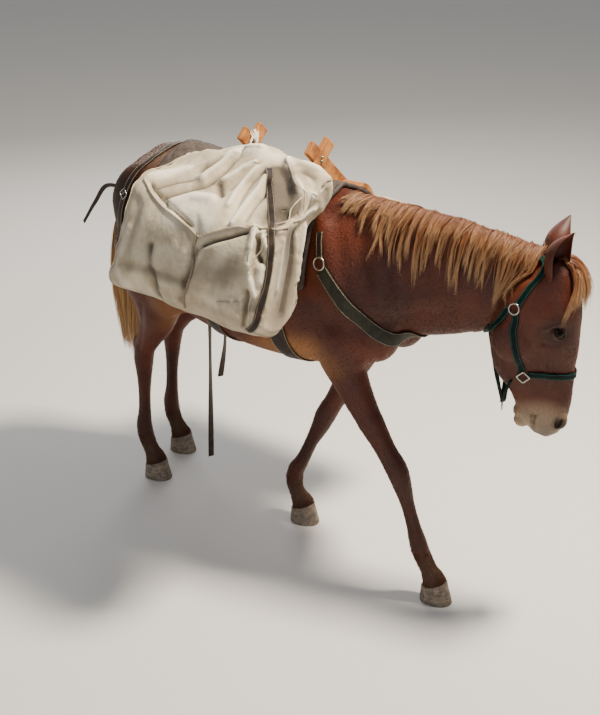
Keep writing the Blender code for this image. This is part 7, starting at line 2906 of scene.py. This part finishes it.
CHIN_LINK = ((0.210, -0.302, 0.0), (0.255, -0.294, 0.0), (0.318, -0.281, 0.0),
             (0.392, -0.268, 0.0), (0.450, -0.254, 0.0), (0.493, -0.243, 0.0))
# Width, rise and places in the picture of the near bag's folds, which also set the painted shade in its
# grooves and the painted highlight on its ridges
NEAR_FOLDS = (
    (0.013, -0.016, (165, 197), (190, 190), (206, 186), (222, 174), (234, 161), (244, 151)),
    (0.017, 0.018, (204, 180), (216, 170), (230, 157), (246, 150), (262, 150)),
    (0.020, -0.015, (203, 170), (212, 169), (222, 163)),
    (0.010, 0.011, (256, 163), (243, 169), (233, 176), (221, 182)),
    (0.009, -0.014, (256, 166), (249, 173), (240, 182), (230, 190)),
    (0.009, 0.012, (258, 168), (252, 175), (244, 184), (236, 194), (229, 206)),
    (0.009, -0.014, (262, 172), (257, 178), (250, 185), (242, 197), (230, 222)),
    (0.010, 0.014, (266, 178), (260, 189), (250, 201), (241, 213), (233, 225)),
    (0.009, -0.014, (268, 186), (264, 196), (254, 207), (245, 221)),
    (0.016, -0.013, (219, 184), (221, 196)),
    (0.030, -0.020, (281, 168), (286, 184), (287, 200), (281, 216)),
    (0.012, 0.015, (288, 160), (293, 176), (300, 190), (312, 197)),
    (0.013, -0.010, (304, 172), (314, 178)),
    (0.012, 0.010, (303, 164), (318, 170), (332, 180)),
    (0.012, 0.012, (314, 208), (300, 217), (288, 226), (278, 233)),
    (0.010, -0.014, (306, 201), (292, 211), (278, 220)),
    (0.011, -0.016, (201, 245), (214, 240), (229, 236), (246, 231)),
    (0.010, 0.015, (255, 229), (250, 248), (247, 265), (250, 282), (255, 294)),
    (0.011, -0.014, (259, 238), (257, 252), (262, 262)),
    (0.008, 0.010, (262, 233), (267, 248)),
    (0.013, 0.008, (262, 262), (259, 282)),
    (0.010, 0.010, (304, 226), (302, 240), (299, 256), (296, 280)),
    (0.014, -0.012, (293, 236), (292, 255), (288, 280), (282, 312)),
    (0.010, 0.007, (283, 240), (280, 262), (276, 290)),
    (0.012, -0.010, (247, 292), (245, 312), (242, 326)),
    (0.012, 0.005, (232, 300), (238, 316), (241, 328)),
    (0.022, -0.006, (120, 262), (150, 272), (180, 282)),
    (0.020, 0.012, (174, 204), (192, 198), (212, 200)),
    (0.016, 0.009, (150, 177), (170, 173), (188, 170)),
    (0.012, -0.010, (158, 188), (176, 183), (194, 180)),
    (0.008, -0.013, (151, 184), (158, 194), (168, 205), (180, 216), (191, 226)),
    (0.014, -0.008, (196, 250), (188, 275), (180, 302)),
    (0.030, -0.003, (205, 262), (222, 275), (232, 262)),
)
# Width, rise and places along and up of the folds that the picture doesn't show, which also set painted
# shade and painted highlight
BACK_FOLDS = (
    (0.018, -0.010, (0.020, 1.300), (0.030, 1.180), (0.020, 1.100)),
    (0.022, 0.006, (-0.120, 1.320), (-0.130, 1.200), (-0.110, 1.120)),
)
FAR_FOLDS = (
    (0.014, -0.012, (0.208, 1.200), (0.150, 1.120), (0.060, 1.060)),
    (0.014, 0.010, (0.208, 1.180), (0.170, 1.100), (0.110, 1.020)),
    (0.012, -0.010, (0.230, 1.180), (0.300, 1.100), (0.380, 1.060)),
    (0.014, 0.010, (0.420, 1.220), (0.340, 1.180), (0.240, 1.150)),
    (0.014, -0.012, (0.100, 1.210), (-0.020, 1.180), (-0.140, 1.170)),
    (0.020, 0.010, (0.000, 1.230), (-0.100, 1.210), (-0.200, 1.200)),
    (0.016, -0.008, (-0.100, 1.100), (-0.120, 1.040), (-0.100, 0.990)),
    (0.012, 0.008, (0.300, 1.050), (0.310, 1.010), (0.300, 0.980)),
)


# Height where the hooves end, and over which the tufts set in above them
HOOF_TOP = 0.05
HOOF_FADE = 0.03
# Height that the fetlocks' tufts reach, and over which they thin out below it
FETLOCK_TOP = 0.20
FETLOCK_FADE = 0.04
FETLOCK_TUFTS = TuftKind("coat_fetlock", 60000, 22 * MM, 1.6 * MM, 0.22, 52)
# Bare radius round each eye, and the distance over which the tufts set in
SOCKET_RADIUS = 0.026
SOCKET_FADE = 0.006
# The short tufts, parted along the animal, with each kind's first and last place; the face has
# the finest
COAT_STRETCHES = (
    (TuftKind("coat_rear", 20000, 9 * MM, 1.9 * MM, 0.12, 51), -2.0, -0.30),
    (TuftKind("coat_middle", 20000, 9 * MM, 1.9 * MM, 0.12, 53), -0.30, 0.45),
    (TuftKind("coat_front", 20000, 9 * MM, 1.9 * MM, 0.12, 54), 0.45, 1.00),
    (TuftKind("coat_face", 45000, 7 * MM, 1.2 * MM, 0.12, 55), 1.00, 2.0),
)
# Trunk that the pad and the bags cover: its first and last place, and the height it starts at
UNDER_LOAD = (-0.18, 0.40, 1.12)


@dataclass
class Animal:
    """The living part of the model: skin, coat, hair, eyes and hooves."""

    shop: Workshop
    flesh: Flesh = field(default_factory=Flesh)
    plain: BVHTree | None = None

    def build(self) -> BVHTree:
        """Build and hand in every piece.

        Returns:
            A search tree over the skin, before it is moved to the frame.
        """
        maker = Skin(self.flesh)
        skin = maker.build()
        self.plain = maker.plain
        tree = tree_of(skin)
        unwrap = Unwrap(self.flesh)
        self.coat(skin, unwrap)
        for piece in Mane(self.flesh).grow(tree, unwrap):
            finish = MANE_UNDER if piece.name == "mane_under" else MANE_HAIR
            self.shop.hand_in(piece, finish, "hair")
        self.shop.hand_in(Forelock().grow(tree, unwrap), MANE_HAIR, "hair")
        long, dock = Tail(self.flesh).grow(unwrap)
        self.shop.hand_in(long, TAIL_HAIR, "hair", "tail")
        self.shop.hand_in(dock, TAIL_HAIR, "hair")
        for side in Side:
            eye = Eye(side, self.flesh)
            self.shop.hand_in(eye.globe(), EYE, "eye", "eye_" + side.word)
            self.shop.hand_in(eye.lids(), COAT, "coat")
        for place, rows in self.flesh.legs.items():
            hoof = Hoof("horn_" + place, rows)
            self.shop.hand_in(hoof.build(), HORN, "hoof", "hoof_" + place)
        nodes = ["torso", "neck", "head", "ear_near", "ear_far"]
        nodes += ["leg_" + place for place in self.flesh.legs]
        self.shop.hand_in(skin, COAT, "coat", *nodes)
        return tree

    def coat(self, skin: bpy.types.Object, unwrap: Unwrap) -> None:
        """Grow the longer tufts on the fetlocks, then the short ones."""
        places = vert_places(skin)
        above_hoof = np.clip((places[:, 2] - HOOF_TOP) / HOOF_FADE, 0, 1)
        low = np.clip((FETLOCK_TOP - places[:, 2]) / FETLOCK_FADE, 0, 1) * above_hoof
        open_skin = self.open_skin(places)
        kinds = [(FETLOCK_TUFTS, low)]
        along = places[:, 0]
        rear, front, bottom = UNDER_LOAD
        covered = (along > rear) & (along < front) & (places[:, 2] > bottom)
        for kind, first, last in COAT_STRETCHES:
            inside = (along >= first) & (along < last) & ~covered
            kinds.append((kind, above_hoof * open_skin * inside))
        for kind, mask in kinds:
            tufts = CoatTufts(unwrap).grow(skin, kind, mask, COAT, self.shop.shift)
            self.shop.hand_in(tufts, COAT, "coat")

    def open_skin(self, places: np.ndarray) -> np.ndarray:
        """How thickly tufts stand: none in the eye sockets and few on the muzzle."""
        thick = np.ones(len(places))
        below, forward, left = self.flesh.eye
        for side in Side:
            eye = np.array(HEAD.at(below, forward, side.value * left))
            away = np.linalg.norm(places - eye, axis=1)
            thick *= np.clip((away - SOCKET_RADIUS) / SOCKET_FADE, 0, 1)
        muzzle = np.linalg.norm(places - np.array(HEAD.at(0.600, -0.090, 0.0)), axis=1)
        return thick * np.clip((muzzle - 0.05) / 0.06, 0.25, 1)


def main() -> None:
    """Load the frame, then build and dress the whole model on it."""
    logging.basicConfig(level=logging.INFO, format="%(name)s: %(message)s")
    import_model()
    shop = Workshop.from_frame()
    stage = Stage(shop.shift)
    stage.build()
    harness = Harness(shop)
    harness.loose()
    animal = Animal(shop)
    skin = animal.build()
    bags = Load(shop, stage).build()
    pad = PackSaddle(shop).build(skin)
    harness.build(skin, pad, bags)
    Halter(shop).build(skin, animal.plain)
    log.info("%d pieces, %d triangles", shop.count, shop.triangles)


if __name__ == "__main__":
    main()
